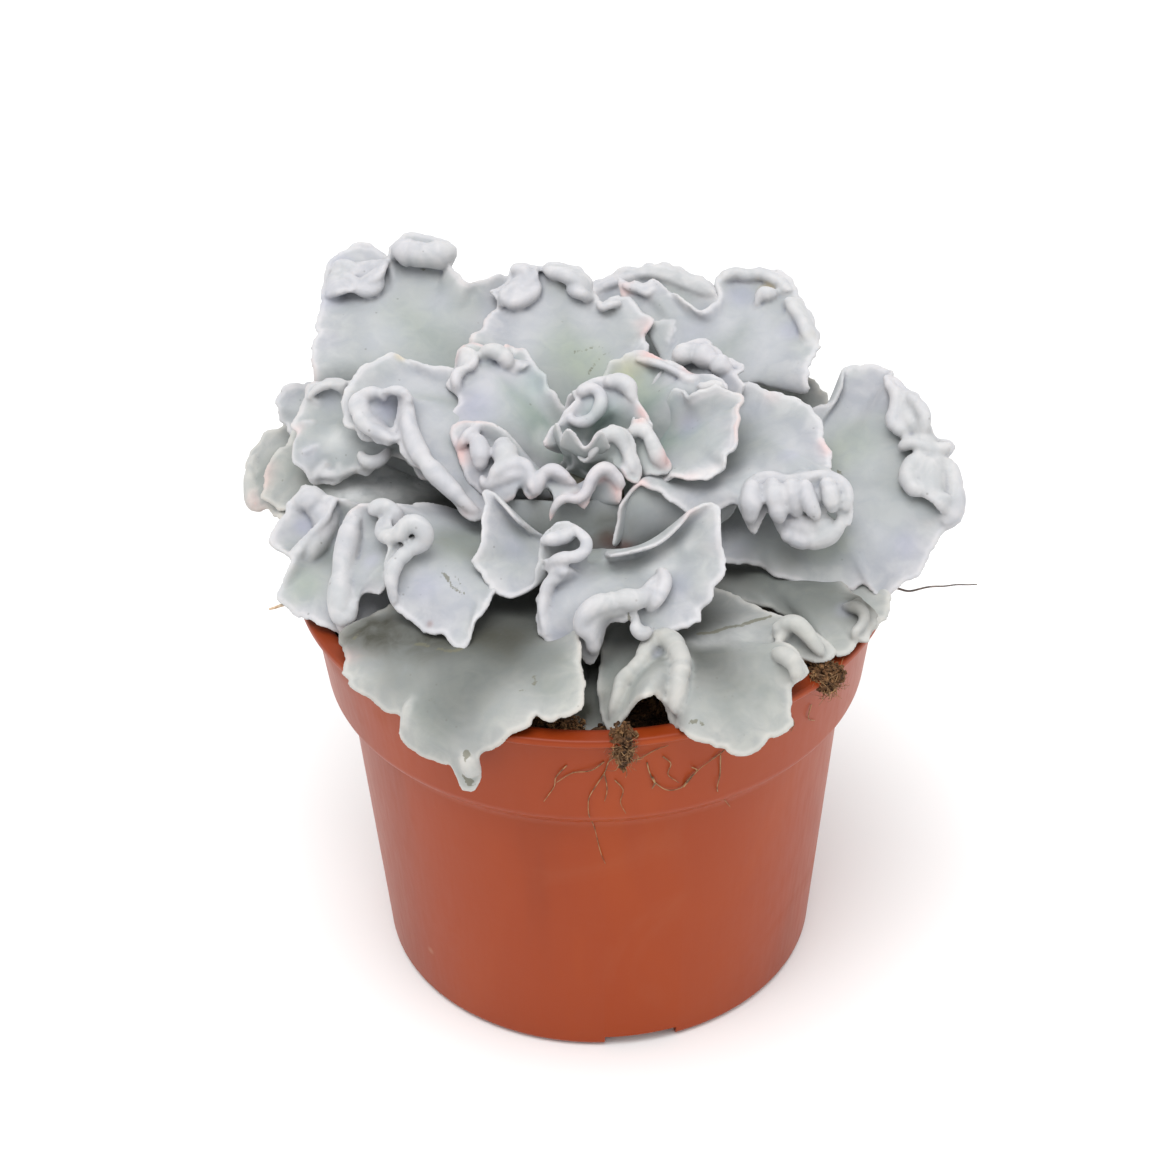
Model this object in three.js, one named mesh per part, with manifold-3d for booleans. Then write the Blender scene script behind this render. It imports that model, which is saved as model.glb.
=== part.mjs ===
// A ruffled rosette succulent standing in its nursery pot.
// Millimetres, +Z up. The origin is the middle of the pot's foot, on the surface it stands on.
import * as THREE from 'three';
import { ConvexGeometry } from 'three/addons/geometries/ConvexGeometry.js';
import { mergeVertices } from 'three/addons/utils/BufferGeometryUtils.js';
import Module from 'manifold-3d';

const wasm = await Module();
wasm.setup();

// Pot: outer radii and heights of its lip, collar, shoulder and foot.
const potHeight = 92;
const lipRadius = 60;
const lipDepth = 1.8;
const collarTopRadius = 57.6;
const collarFootRadius = 55;
const collarFootZ = 69;
const shoulderRadius = 51;
const shoulderZ = 66;
const footRadius = 45.6;
const footChamfer = 1.2;
const potWall = 1.5;
const floorThickness = 2;
const channelDepth = 2.8;       // recessed ring under the floor, between middle disc and foot
const channelInner = 14;
const channelOuter = 41;
const notchCount = 3;
const notchWidth = 15;
const notchTurn = -80;          // degrees: one notch looks just right of the front
const drainCount = 6;
const drainRadius = 3;
const drainRing = 30;
const potSides = 40;

// Soil and stem.
const soilZ = 84;
const soilGap = 0.4;
const stemCentre = [0, 3];
const stemFootZ = 66;
const stemTopZ = 113;
const stemProfile = [[9, 60], [8.5, 95], [6.5, 106], [3.5, 114]];   // radius, height

// Leaves.
const bladeBase = 2.2;          // thickness where a leaf leaves the stem
const bladeEdge = 1.2;            // thickness at its margin
const neckWidth = 9;
const marginStep = 6;           // length of one facet along a margin
const piecesGap = 0.35;
const shortestEdge = 0.25;
const soilSides = 32;

// Peat crumbs that lie on the soil and the rim, a stray root and a dry leaf stalk.
const clumps = {
  peat_clump_left: { at: [-6, -52, 88.5], radii: [4, 4, 3.5], seed: 21 },
  peat_clump_lip: { at: [4.5, -59, 90.5], radii: [3.5, 4, 5], seed: 22 },
  peat_clump_right: { at: [43.5, -41, 91.5], radii: [4.5, 3.5, 3.5], seed: 23 },
};
const strands = {
  stray_root: {
    route: [[50, -14, 83.5], [51, -14, 92], [53.5, -14.5, 94], [62, -15.5, 93.5], [75, -16, 95]],
    radius: 0.45, sides: 6, steps: 16,
  },
  dry_stalk: {
    route: [[-50, -13, 84], [-53, -14.5, 91], [-57.5, -16, 93.5], [-64, -18.5, 94]],
    radius: 0.8, sides: 8, steps: 10,
  },
};

// Young leaves still folded in the heart, joined at their foot.
const budLeaves = [
  { facing: 100, root: 113, rise: 70, length: 8, width: 6, droop: 0, seed: 31, count: 9 },
  { facing: 225, root: 113, rise: 72, length: 7, width: 5, droop: 0, seed: 32, count: 9 },
  { facing: 345, root: 113, rise: 68, length: 7, width: 5, droop: 0, seed: 33, count: 9 },
];


// Each leaf: facing (degrees), height of its root, rise of its midrib, the point where the midrib
// ends, and stations round its margin: x, y, z, then how far the lip tips up and curls (degrees).
const leaves = {
  leaf_front_left_low: {
    facing: -113, root: 86, rise: 35, heart: [-23.5, -48.5, 98], seed: 3,
    margin: [
      [-32, -22.5, 98], [-43.5, -27, 98], [-48, -31, 97], [-47, -36.5, 95], [-46, -42, 93.5],
      [-41, -45.5, 91, -20], [-36.5, -48.5, 90, -20], [-37, -51, 87.5, -20], [-34, -53, 85, -20],
      [-28, -55.5, 83.5, -20], [-24, -59, 82, -20], [-22.5, -58, 87.5, -20], [-17.5, -58.5, 93, -15],
      [-13, -57, 95], [-12, -56, 96], [-8.5, -57.5, 96], [-3.5, -56, 97], [-3, -50.5, 99],
      [-3.5, -42, 101], [-3, -34, 101],
    ],
  },
  leaf_front_right_low: {
    facing: -62, root: 83, rise: 35, heart: [19.5, -45, 99], tip: 9, seed: 4,
    margin: [
      [1.5, -31, 94], [0.5, -44.5, 92], [2.5, -53.5, 90, -30], [6.5, -54.5, 97, -30],
      [9, -57.5, 101, -30], [12, -54, 97, -30], [14, -54, 92.5, -20], [17, -60, 94.5],
      [22, -61, 92, -15], [26, -61, 90, -20], [30.5, -59.5, 91, -15], [32.5, -58, 92], [35.5, -56, 93],
      [35.5, -53, 94], [36, -49, 96], [38, -48, 98, 0, 60], [36.5, -43, 99.5, 0, 100],
      [34.5, -39, 97, 0, 60], [38.5, -39, 96], [41.5, -40.5, 95], [44, -38.5, 96, 0, 40],
      [41, -36.5, 98, 0, 80], [38.5, -33, 99.5, 0, 80], [36, -32, 98.5], [30, -26, 98],
      [23.5, -18.5, 96],
    ],
  },
  leaf_front_under: {
    facing: -91, root: 79.5, rise: 20, heart: [-1, -36, 88], seed: 5,
    margin: [
      [-5, -32, 90], [-6, -42, 88], [-4.5, -47.5, 86.5], [-1.5, -49, 86], [1, -47.5, 86.5],
      [2, -39, 88],
    ],
  },
  leaf_front_upper: {
    facing: -92, root: 97, rise: 35, heart: [3, -30.5, 107.5], spread: 1.5, tip: 20, seed: 6,
    margin: [
      [-14, -19, 113], [-20, -13, 116.5], [-20.5, -18, 113.5], [-21, -22, 110.5], [-23, -24, 108.5],
      [-20.5, -25.5, 106.5], [-20, -27, 105, -15], [-15.5, -29, 103, -20], [-11.5, -29.5, 105, -10],
      [-10, -27, 110, 0, 30], [-8.5, -24, 113, 0, 60], [-4.5, -23, 115.5, 0, 60],
      [-1, -26.5, 113, 0, 60], [-3.5, -28.5, 111, 0, 40], [-9, -28, 110], [-7.5, -29.5, 109.5],
      [-4.5, -31, 110, 0, 40], [-8, -30.5, 108], [-10, -30.5, 105.5], [-10.5, -33.5, 102.5, -20],
      [-9.5, -37.5, 99.5, -20], [-5, -38.5, 98, -20], [-1, -40, 96.5, -20], [1, -38.5, 99.5, -30],
      [2, -37.5, 103.5, -40], [5, -38.5, 105.5, -40], [7.5, -38.5, 106, -30], [7, -38.5, 103.5, -20],
      [9, -39.5, 100.5, -20], [11.5, -39, 101.5, -10], [14.5, -39, 102], [18, -38.5, 103.5],
      [19.5, -36, 105], [21, -35, 107], [23.5, -32.5, 110.5], [24, -30, 112.5], [23, -27.5, 115.5],
      [23, -22, 118], [18.5, -23, 117], [13.5, -26, 114.5], [7.5, -28, 112.5], [2.5, -28, 111.5],
    ],
  },
  leaf_right_front_low: {
    facing: -22, root: 85.5, rise: 35, heart: [40, -21.5, 98], seed: 7,
    margin: [
      [32, -22, 95], [40.5, -29, 94], [45, -36.5, 93.5], [47.5, -36, 94], [49.5, -33.5, 94.5],
      [49, -33, 96, 0, 60], [50.5, -34, 95, 0, 60], [53, -30.5, 96.5, 0, 60], [53, -28, 98, 0, 60],
      [50.5, -26.5, 99, 0, 60], [48.5, -21.5, 98], [42.5, -14.5, 98],
    ],
  },
  leaf_right_under: {
    facing: 8, root: 82.5, rise: 30, heart: [41, -8.5, 96], seed: 8,
    margin: [
      [43.5, -23, 92], [51, -32, 93.5], [54.5, -28, 94], [56, -24, 95], [56.5, -20.5, 96],
      [54, -15.5, 97], [45, -3, 97],
    ],
  },
  leaf_right_low: {
    facing: 3, root: 92, rise: 35, heart: [48, -1.5, 108], curlRadius: 2.6, tip: 13, seed: 9,
    margin: [
      [21, -9.5, 101], [25, -15, 101.5, -25], [32.5, -16, 100.5, -20], [35.5, -18.5, 99.5, -20],
      [40, -19, 99, -20], [47.5, -20, 97.5, -20], [52, -19, 98.5, -10], [54, -20.5, 97, -20],
      [56.5, -20, 95.5, -20], [60.5, -18, 97.5, -10], [65.5, -12.5, 101], [67.5, -9, 103, 0, 30],
      [71, -8, 104.5, 0, 90], [72, -4, 107, 0, 140], [71, 1, 110.5, 0, 150], [69.5, 3, 112.5, 0, 150],
      [71.5, 5.5, 113.5, 0, 130], [67.5, 6, 115, 0, 130], [66.5, 8.5, 117.5, 0, 150],
      [64, 14, 120, 0, 150], [60.5, 16, 121, 0, 100], [59.5, 21, 121.5, 0, 30], [54, 23.5, 121],
      [51.5, 23.5, 120.5], [50.5, 19, 119], [48.5, 16, 117], [42, 17, 113],
    ],
  },
  leaf_back_right_under: {
    facing: 40, root: 85, rise: 35, heart: [41.5, 30, 105], seed: 10,
    margin: [
      [42.5, 18.5, 100], [47.5, 25.5, 105], [49, 31, 108], [47.5, 32.5, 110], [45, 33.5, 111.5],
      [40.5, 36, 112], [36.5, 37, 112], [33.5, 36, 111], [29, 36.5, 106],
    ],
  },
  leaf_back_under: {
    facing: 78, root: 88, rise: 42, heart: [14, 55, 115], seed: 11,
    margin: [
      [29, 52, 114], [28, 56, 118.5], [26, 60, 120, 0, 40], [22, 61.5, 121, 0, 60],
      [16, 65, 122, 0, 60], [12.5, 65.5, 122, 0, 60], [9, 64, 121.5, 0, 60], [4.5, 62.5, 120.5, 0, 60],
      [1, 59.5, 120, 0, 40], [1, 56, 119], [2.5, 52, 112],
    ],
  },
  leaf_back_right: {
    facing: 56, root: 97, rise: 45, heart: [32, 35, 122.5], tip: 11, seed: 12,
    margin: [
      [28.5, 24, 116], [31.5, 23.5, 117.5], [35, 24, 119], [38, 22, 119.5], [40.5, 19, 119, -15],
      [43, 17.5, 120], [43.5, 21, 122], [45.5, 27, 123.5], [46, 33, 124.5, 0, 30],
      [43.5, 40.5, 127, 0, 90], [41.5, 45.5, 128, 0, 140], [36.5, 50, 129, 0, 150],
      [32.5, 49.5, 129, 0, 130], [28.5, 49, 128.5, 0, 130], [26.5, 45.5, 128, 0, 80],
      [27, 42.5, 126.5], [23.5, 39.5, 125], [20, 43, 126], [17, 46.5, 126.5], [14.5, 49, 127.5],
      [12.5, 48, 126.5], [10, 50, 126], [7, 51.5, 126], [7.5, 47.5, 124], [12.5, 41, 122.5],
      [17.5, 38.5, 120.5],
    ],
  },
  leaf_right_upper: {
    facing: -4, root: 100, rise: 45, heart: [34, 3, 117], tip: 16, seed: 13,
    margin: [
      [4, -17, 106.5], [5, -14.5, 110.5, -30], [6, -12, 114, -40], [9, -10.5, 116.5, -60],
      [12.5, -10, 115, -70], [15, -12.5, 113.5, -70], [20.5, -14, 112, -60], [25, -13.5, 113, -60],
      [28, -13, 113.5, -60], [30.5, -17.5, 109.5, -60], [33.5, -13.5, 114, -60],
      [35.5, -18, 110.5, -60], [40.5, -15, 113.5, -60], [43, -18.5, 112, -60], [45.5, -14.5, 116, -50],
      [47.5, -19, 112.5, -40], [49, -16.5, 116.5, -20, 40], [46, -11.5, 118.5, 0, 60],
      [44, -12, 118.5, 0, 20], [46, -6, 119], [44.5, -1, 120], [43.5, 4, 120.5], [41.5, 9, 121],
      [35.5, 12, 122.5], [30, 14, 123],
    ],
  },
  leaf_back_right_inner: {
    facing: 46, root: 103, rise: 50, heart: [21, 17, 121.5], seed: 14,
    margin: [
      [29, 11, 123], [29, 14, 125], [29, 18.5, 125.5, 0, 60], [25.5, 20, 126, 0, 100],
      [24, 24, 126, 0, 120], [21, 26, 126, 0, 120], [18.5, 23.5, 126, 0, 100], [16, 18.5, 125, 0, 40],
      [13, 15.5, 122.5],
    ],
  },
  leaf_right_inner: {
    facing: 10, root: 106, rise: 50, heart: [21.5, 2.5, 120], tip: 5, seed: 15,
    margin: [
      [14, -8.5, 116], [20.5, -11.5, 118], [24, -11, 119.5, 0, 30], [26, -8, 121.5, 0, 40],
      [27.5, -1.5, 123.5, 0, 40], [29, 3.5, 125.5, 0, 30], [26, 5, 126], [23.5, 5, 125.5, 0, 80],
      [20, 5.5, 124.5, 0, 60], [17.5, 8.5, 124.5],
    ],
  },
  leaf_back_right_heart: {
    facing: 58, root: 108, rise: 55, heart: [14.5, 11.5, 123], seed: 16,
    margin: [
      [24.5, 8, 125], [26, 10, 125.5, 0, 60], [22.5, 13.5, 125.5, 0, 100], [20, 14, 125.5, 0, 80],
      [17, 16, 126, 0, 60], [14, 19.5, 125.5], [10, 20.5, 126], [6.5, 20, 125.5], [3.5, 18, 124],
    ],
  },
  leaf_back: {
    facing: 97, root: 101, rise: 48, heart: [-5, 40.5, 122.5], tip: 11, seed: 17,
    margin: [
      [10, 30, 117], [11.5, 33, 120], [10.5, 36, 121], [12.5, 39, 123], [10, 42, 124],
      [7.5, 45.5, 125], [4, 45.5, 125], [2.5, 43, 125], [0.5, 46, 126, 0, 80],
      [0.5, 48, 127.5, 0, 140], [-1.5, 51, 129, 0, 150], [-5.5, 53, 129.5, 0, 150],
      [-9, 52.5, 129.5, 0, 120], [-12, 53, 129.5, 0, 120], [-15.5, 53, 129, 0, 120],
      [-16.5, 49.5, 127, 0, 80], [-19.5, 48.5, 126, 0, 30], [-18.5, 45, 125],
      [-20.5, 41.5, 124, 0, 30], [-21.5, 38, 122.5], [-23.5, 34.5, 122], [-22.5, 30.5, 118],
    ],
  },
  leaf_back_left_inner: {
    facing: 128, root: 107, rise: 55, heart: [-17, 15.5, 121], seed: 18,
    margin: [
      [-7, 15, 120], [-9, 18.5, 122], [-11.5, 23, 123, 0, 60], [-14, 27, 124, 0, 80],
      [-16.5, 28.5, 124.5, 0, 60], [-19, 25, 124], [-21.5, 28.5, 124.5, 0, 60],
      [-24.5, 29.5, 124.5, 0, 60], [-26.5, 26.5, 124, 0, 40], [-26.5, 21.5, 123],
      [-28, 17.5, 122, 0, 40], [-26, 15, 120.5], [-28, 10.5, 118.5, 0, 30], [-26, 7.5, 117],
    ],
  },
  leaf_front_inner: {
    facing: -112, root: 106, rise: 45, heart: [-9.5, -6.5, 115], tip: 15, seed: 19,
    margin: [
      [-18, 3, 121], [-21, 4, 121.5], [-23.5, 5, 121, 0, 40], [-26, 5, 120, 0, 60],
      [-26.5, 2, 117.5, 0, 60], [-24.5, -2.5, 114.5, -20, 30], [-21.5, -5, 113, -40],
      [-19.5, -9.5, 112.5, -60], [-16, -10.5, 113, -60], [-14, -7.5, 116, -50], [-11, -11, 114, -60],
      [-8.5, -7, 116.5, -50], [-6.5, -8.5, 116, -50], [-3, -10.5, 115.5, -40], [-6, -11.5, 114.5, -40],
      [-8.5, -15, 111.5, -60], [-5, -11, 115, -50], [-2, -13.5, 113.5, -60], [1.5, -9, 117.5, -40],
      [5, -11.5, 116, -40], [5, -12.5, 114],
    ],
  },
  leaf_back_left: {
    facing: 122, root: 95, rise: 48, heart: [-38.5, 43, 122], curlRadius: 2.6, tip: 9, seed: 20,
    margin: [
      [-17.5, 35.5, 115], [-16, 45, 121], [-17, 54, 126], [-22.5, 51.5, 126.5],
      [-26, 49.5, 127, 0, 20], [-29.5, 55, 128.5, 0, 60], [-28, 60.5, 129.5, 0, 140],
      [-31.5, 62.5, 130.5, 0, 160], [-35.5, 62, 130.5, 0, 160], [-39, 63.5, 131, 0, 160],
      [-41.5, 60, 130.5, 0, 120], [-42, 57, 129, 0, 40], [-43.5, 61, 129.5, 0, 120],
      [-48, 62, 129, 0, 140], [-51.5, 62, 128.5, 0, 140], [-54, 60, 127, 0, 120],
      [-55, 54, 124.5, 0, 40], [-55.5, 43.5, 122], [-56.5, 32.5, 119], [-55.5, 30, 112.5],
      [-45, 35, 105],
    ],
  },
  leaf_left_inner: {
    facing: 142, root: 104, rise: 50, heart: [-33.5, 16, 120], tip: 8, seed: 21,
    margin: [
      [-22.5, 21, 119], [-27, 21.5, 122.5], [-32.5, 21.5, 123.5], [-36, 23.5, 124.5], [-38.5, 25, 125],
      [-41.5, 22, 125, 0, 20], [-45.5, 19, 124.5, 0, 30], [-48, 16, 123, 0, 40],
      [-48.5, 13, 121, 0, 60], [-46.5, 9, 118, 0, 60], [-42.5, 8, 116, 0, 60],
      [-39.5, 7.5, 117, 0, 40], [-43.5, 9.5, 120.5], [-44.5, 11.5, 123], [-41, 12, 124, 0, 30],
      [-37.5, 12, 124, 0, 60], [-38, 8.5, 120.5, 0, 60], [-37, 4, 117, 0, 60],
      [-32.5, -1.5, 114, 0, 60], [-27.5, -7, 111.5, 0, 60], [-22.5, -11.5, 109.5, 0, 30],
      [-19, -8, 109],
    ],
  },
  leaf_left_upper: {
    facing: 166, root: 98, rise: 45, heart: [-49, 18, 113], tip: 7, seed: 22,
    margin: [
      [-35, 31.5, 113], [-43, 26.5, 119], [-48.5, 23, 120], [-52, 24.5, 120, 0, 30],
      [-55, 24.5, 118.5, 0, 30], [-57.5, 23.5, 116.5], [-59.5, 19.5, 113.5, -20],
      [-59, 16.5, 112, -20], [-60, 15, 110, -30], [-59.5, 12, 108.5, -30], [-56.5, 9.5, 106, -30],
      [-54, 10, 106.5], [-51, 8.5, 106.5, -30], [-47, 8.5, 108.5, -20], [-44, 8, 109, -20],
      [-41.5, 10, 111], [-38.5, 11.5, 111], [-32.5, 6.5, 107],
    ],
  },
  leaf_back_left_under: {
    facing: 152, root: 90, rise: 42, heart: [-56.5, 29.5, 108.5], neck: 7, seed: 23,
    margin: [
      [-52.5, 38, 110.5], [-58, 35.5, 112, 0, 30], [-61, 35, 112, 0, 40], [-63.5, 34, 110.5, 0, 40],
      [-64.5, 32.5, 109], [-63.5, 31, 107], [-62, 29, 106], [-57.5, 25.5, 105],
    ],
  },
  leaf_left_low: {
    facing: 172, root: 84, rise: 35, heart: [-60.5, 24, 100], tip: 5, seed: 24,
    margin: [
      [-56.5, 39, 99], [-63.5, 38.5, 102.5], [-65, 35.5, 101, 0, 30], [-68.5, 34, 99.5, 0, 40],
      [-71, 32, 97.5, 0, 40], [-71.5, 27, 95.5], [-71, 21.5, 93.5], [-69.5, 18, 92.5], [-67, 17, 94.5],
      [-63, 9.5, 96], [-57, 2, 96],
    ],
  },
  leaf_left_middle: {
    facing: 179, root: 87.5, rise: 38, heart: [-50, 11.5, 103], seed: 25,
    margin: [
      [-54.5, 31.5, 106], [-60, 28.5, 107], [-62, 24.5, 105], [-64.5, 21, 103], [-66.5, 19, 100.5],
      [-67, 16, 98.5], [-65, 13, 97.5], [-60.5, 8.5, 98.5], [-52.5, -2.5, 99], [-38.5, -10, 99],
    ],
  },
  leaf_left_front_low: {
    facing: 193, root: 91, rise: 35, heart: [-51, -9.5, 99], tip: 8, seed: 26,
    margin: [
      [-42.5, 2, 103], [-49, -1.5, 107], [-52.5, 0, 108, 0, 40], [-56, 2.5, 108, 0, 50],
      [-58.5, 0.5, 106, 0, 40], [-61, -3, 104], [-63, -7.5, 102], [-60.5, -9.5, 101], [-59, -13, 101],
      [-60.5, -15.5, 98.5], [-61, -16.5, 96.5, -20], [-59, -19.5, 95, -20], [-56, -22, 94.5, -10],
      [-52.5, -24, 94], [-48.5, -25.5, 93], [-38, -20, 94],
    ],
  },
  leaf_left_front: {
    facing: 213, root: 93.5, rise: 40, heart: [-35.5, -19.5, 108], spread: 1.4, tip: 12, seed: 27,
    margin: [
      [-32, -4, 108], [-38.5, -9.5, 111, 0, 30], [-43, -10, 112.5, 0, 90], [-46.5, -10, 110.5, 0, 60],
      [-49, -13, 106.5, 0, 40], [-50, -17.5, 101.5, -20], [-51, -22.5, 97.5, -30],
      [-49, -26.5, 94.5, -30], [-47, -27, 96, -30], [-46, -24.5, 99.5, -40],
      [-43.5, -24.5, 102.5, -30], [-40, -25.5, 104.5, -20], [-39, -22.5, 109],
      [-38, -19.5, 111.5, 0, 30], [-35, -17, 113.5, 0, 70], [-32, -20.5, 112.5, 0, 100],
      [-36.5, -21, 109.5, 0, 90], [-39.5, -25, 107, 0, 60], [-39.5, -26.5, 105],
      [-38.5, -29.5, 102, -10], [-34, -32.5, 101, -20], [-28.5, -36.5, 100, -20],
      [-24.5, -39, 99.5, -20], [-23, -36, 102.5], [-20.5, -32.5, 103.5], [-19.5, -29.5, 104.5],
      [-15.5, -23, 104],
    ],
  },
  heart_leaf_back: {
    facing: 100, root: 112, rise: 75, heart: [1.5, 5, 122.5], neck: 5, seed: 28,
    margin: [
      [11, 1.5, 121], [10, 3.5, 123.5], [8.5, 5.5, 125.5], [7.5, 9, 126.5], [5, 10, 127.5, 0, 60],
      [2, 10, 127, 0, 60], [-1, 9, 126.5, 0, 60], [-3, 7.5, 125.5, 0, 30], [-2.5, 5.5, 125],
      [-5, 3.5, 123, 0, 40], [-7.5, 1, 121], [-9, -1, 119.5],
    ],
  },
  heart_leaf_front: {
    facing: -88, root: 112.5, rise: 70, heart: [2.5, -4.5, 119], neck: 4, tip: 3, seed: 29,
    margin: [
      [-2.5, -4, 119], [-1, -6.5, 119], [1, -5.5, 121.5], [3.5, -3.5, 124.5], [6.5, -4, 123],
      [8, -6.5, 120.5], [9, -9, 117.5], [7, -10.5, 117], [5.5, -8.5, 119],
    ],
  },
  heart_leaf_right: {
    facing: -35, root: 112, rise: 70, heart: [9.5, -3.5, 119.5], neck: 4, tip: 4, seed: 30,
    margin: [
      [6, -4.5, 119], [7.5, -2.5, 122.5], [9.5, -1.5, 125], [11.5, -4, 123.5], [12.5, -6, 121],
      [14.5, -6.5, 118.5], [14, -8, 117.5], [10, -7.5, 117],
    ],
  },
};

// Lower leaves that the ones above cover.
const hiddenLeaves = [
  { facing: 100, root: 82.5, rise: 17, length: 52, width: 38, droop: 0.03, seed: 31 },
  { facing: 128, root: 85, rise: 20, length: 56, width: 36, droop: 0.03, seed: 32 },
  { facing: 58, root: 83.5, rise: 20, length: 50, width: 36, droop: 0.03, seed: 33 },
];

const up = new THREE.Vector3(0, 0, 1);
const radians = THREE.MathUtils.degToRad;
const clamp = THREE.MathUtils.clamp;
const vec = (x, y, z) => new THREE.Vector3(x, y, z);

function seededRandom(seed) {
  let state = seed * 7919 + 17;
  return () => {
    state = (state * 1103515245 + 12345) % 2147483648;
    return state / 2147483648;
  };
}

// Radius at a height, read between the points of a profile.
function readProfile(profile, z) {
  for (let i = 1; i < profile.length; i++) {
    const [r0, z0] = profile[i - 1];
    const [r1, z1] = profile[i];
    if (z <= z1) return r0 + (r1 - r0) * clamp((z - z0) / (z1 - z0), 0, 1);
  }
  return profile[profile.length - 1][0];
}

const stemRadius = (z) => readProfile(stemProfile, z);

// ---- leaf blades -------------------------------------------------------------------------

// Smooth curve through stations; each station is a list of numbers, u their place along it.
function curveThrough(stations, u) {
  const last = stations.length - 1;
  const slope = (i) => {
    const a = Math.max(i - 1, 0);
    const b = Math.min(i + 1, last);
    return stations[a].map((value, k) => (stations[b][k] - value) / (u[b] - u[a]));
  };
  const slopes = stations.map((_, i) => slope(i));
  return (q) => {
    let i = 0;
    while (i < last - 1 && q > u[i + 1]) i++;
    const h = u[i + 1] - u[i];
    const t = (q - u[i]) / h;
    const h00 = 2 * t ** 3 - 3 * t ** 2 + 1;
    const h10 = t ** 3 - 2 * t ** 2 + t;
    const h01 = -2 * t ** 3 + 3 * t ** 2;
    const h11 = t ** 3 - t ** 2;
    return stations[i].map((value, k) =>
      h00 * value + h10 * h * slopes[i][k] + h01 * stations[i + 1][k] + h11 * h * slopes[i + 1][k]);
  };
}

// The body of a blade follows its margin only roughly: folds shorter than this stay at the edge.
const smoothSpan = 0.035;
const smoothTaps = 8;
function smoothed(curve) {
  const ends = [curve(0), curve(1)];
  const extended = (q) => {
    if (q < 0) return curve(-q).map((value, k) => 2 * ends[0][k] - value);
    if (q > 1) return curve(2 - q).map((value, k) => 2 * ends[1][k] - value);
    return curve(q);
  };
  return (q) => {
    const sum = ends[0].map(() => 0);
    let weights = 0;
    for (let tap = -smoothTaps; tap <= smoothTaps; tap++) {
      const offset = 3 * tap / smoothTaps;
      const weight = Math.exp(-offset * offset / 2);
      extended(q + offset * smoothSpan).forEach((value, k) => { sum[k] += value * weight; });
      weights += weight;
    }
    return sum.map((value) => value / weights);
  };
}

// Middle surface of a leaf. u runs round the margin from one side of the neck to the other;
// t runs from the midrib (0) to the margin (1), and from 1 to 2 round the curled lip.
function leafSurface(leaf) {
  const turn = radians(leaf.facing);
  const outward = vec(Math.cos(turn), Math.sin(turn), 0);
  const sideways = vec(-Math.sin(turn), Math.cos(turn), 0);
  const root = vec(stemCentre[0], stemCentre[1], leaf.root)
    .addScaledVector(outward, stemRadius(leaf.root) - 0.5);
  const heart = vec(...leaf.heart);
  const halfNeck = (leaf.neck ?? neckWidth) / 2;
  const neckStation = (side) => {
    const point = root.clone().addScaledVector(sideways, side * halfNeck);
    return [point.x, point.y, point.z, 0, 0];
  };
  const stations = [
    neckStation(-1),
    ...leaf.margin.map(([x, y, z, lip = 0, curl = 0]) => [x, y, z, lip, curl]),
    neckStation(1),
  ];
  const spot = (station) => vec(station[0], station[1], station[2]);
  const u = [0];
  for (let i = 1; i < stations.length; i++) {
    u.push(u[i - 1] + spot(stations[i]).distanceTo(spot(stations[i - 1])) ** 0.8);
  }
  const total = u[u.length - 1];
  u.forEach((_, i) => { u[i] /= total; });

  const reach = stations.map((station) => spot(station).distanceTo(root));
  const tip = u[leaf.tip === undefined ? reach.indexOf(Math.max(...reach)) : leaf.tip + 1];
  const span = heart.clone().sub(root);
  const heading = vec(span.x, span.y, 0).addScaledVector(outward, span.length()).normalize();
  const climb = radians(leaf.rise);
  const knee = root.clone()
    .addScaledVector(heading, 0.5 * span.length() * Math.cos(climb))
    .addScaledVector(up, 0.5 * span.length() * Math.sin(climb));

  const margin = curveThrough(stations, u);
  const body = smoothed(margin);
  const curlRadius = leaf.curlRadius ?? 2.3;

  const point = (q, t) => {
    const away = q < tip ? (tip - q) / tip : (q - tip) / (1 - tip);
    const along = 1 - away ** (leaf.spread ?? 1.8);
    const start = root.clone().multiplyScalar((1 - along) ** 2)
      .addScaledVector(knee, 2 * along * (1 - along))
      .addScaledVector(heart, along ** 2);
    const forward = knee.clone().sub(root).multiplyScalar(1 - along)
      .addScaledVector(heart.clone().sub(knee), along).normalize();
    const cross = up.clone().cross(forward).normalize();
    const normal = forward.clone().cross(cross);

    const [x, y, z, lipDegrees] = body(q);
    const end = vec(x, y, z);
    const [fx, fy, fz] = margin(q);
    const fold = vec(fx, fy, fz).sub(end);
    const rib = end.clone().sub(start);
    const length = rib.length();
    const flat = rib.clone().addScaledVector(normal, -rib.dot(normal)).normalize();
    const near = start.clone().addScaledVector(flat, 0.4 * length);
    const level = end.clone().sub(near).normalize();
    const raised = normal.clone().addScaledVector(level, -normal.dot(level)).normalize();
    const lip = radians(lipDegrees);
    const lipOut = level.clone().multiplyScalar(Math.cos(lip)).addScaledVector(raised, Math.sin(lip));
    const lipUp = level.clone().multiplyScalar(-Math.sin(lip)).addScaledVector(raised, Math.cos(lip));
    const far = end.clone().addScaledVector(lipOut, -0.34 * length);

    const s = Math.min(t, 1);
    const place = start.clone().multiplyScalar((1 - s) ** 3)
      .addScaledVector(near, 3 * s * (1 - s) ** 2)
      .addScaledVector(far, 3 * s * s * (1 - s))
      .addScaledVector(end, s ** 3);
    const edge = clamp((s - 0.35) / 0.65, 0, 1);
    place.addScaledVector(fold, edge ** 2 * (1.6 - 0.6 * edge));
    if (t <= 1) return place;
    const curl = radians(Math.max(body(q)[4], 0)) * (t - 1);
    const turned = Math.max(curl, 0.05);
    const arc = Math.max(curlRadius * curl, 0.5 * (t - 1)) / turned;
    return place.addScaledVector(lipOut, arc * Math.sin(turned))
      .addScaledVector(lipUp, arc * (1 - Math.cos(turned)));
  };
  return { point, u, margin };
}

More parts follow.
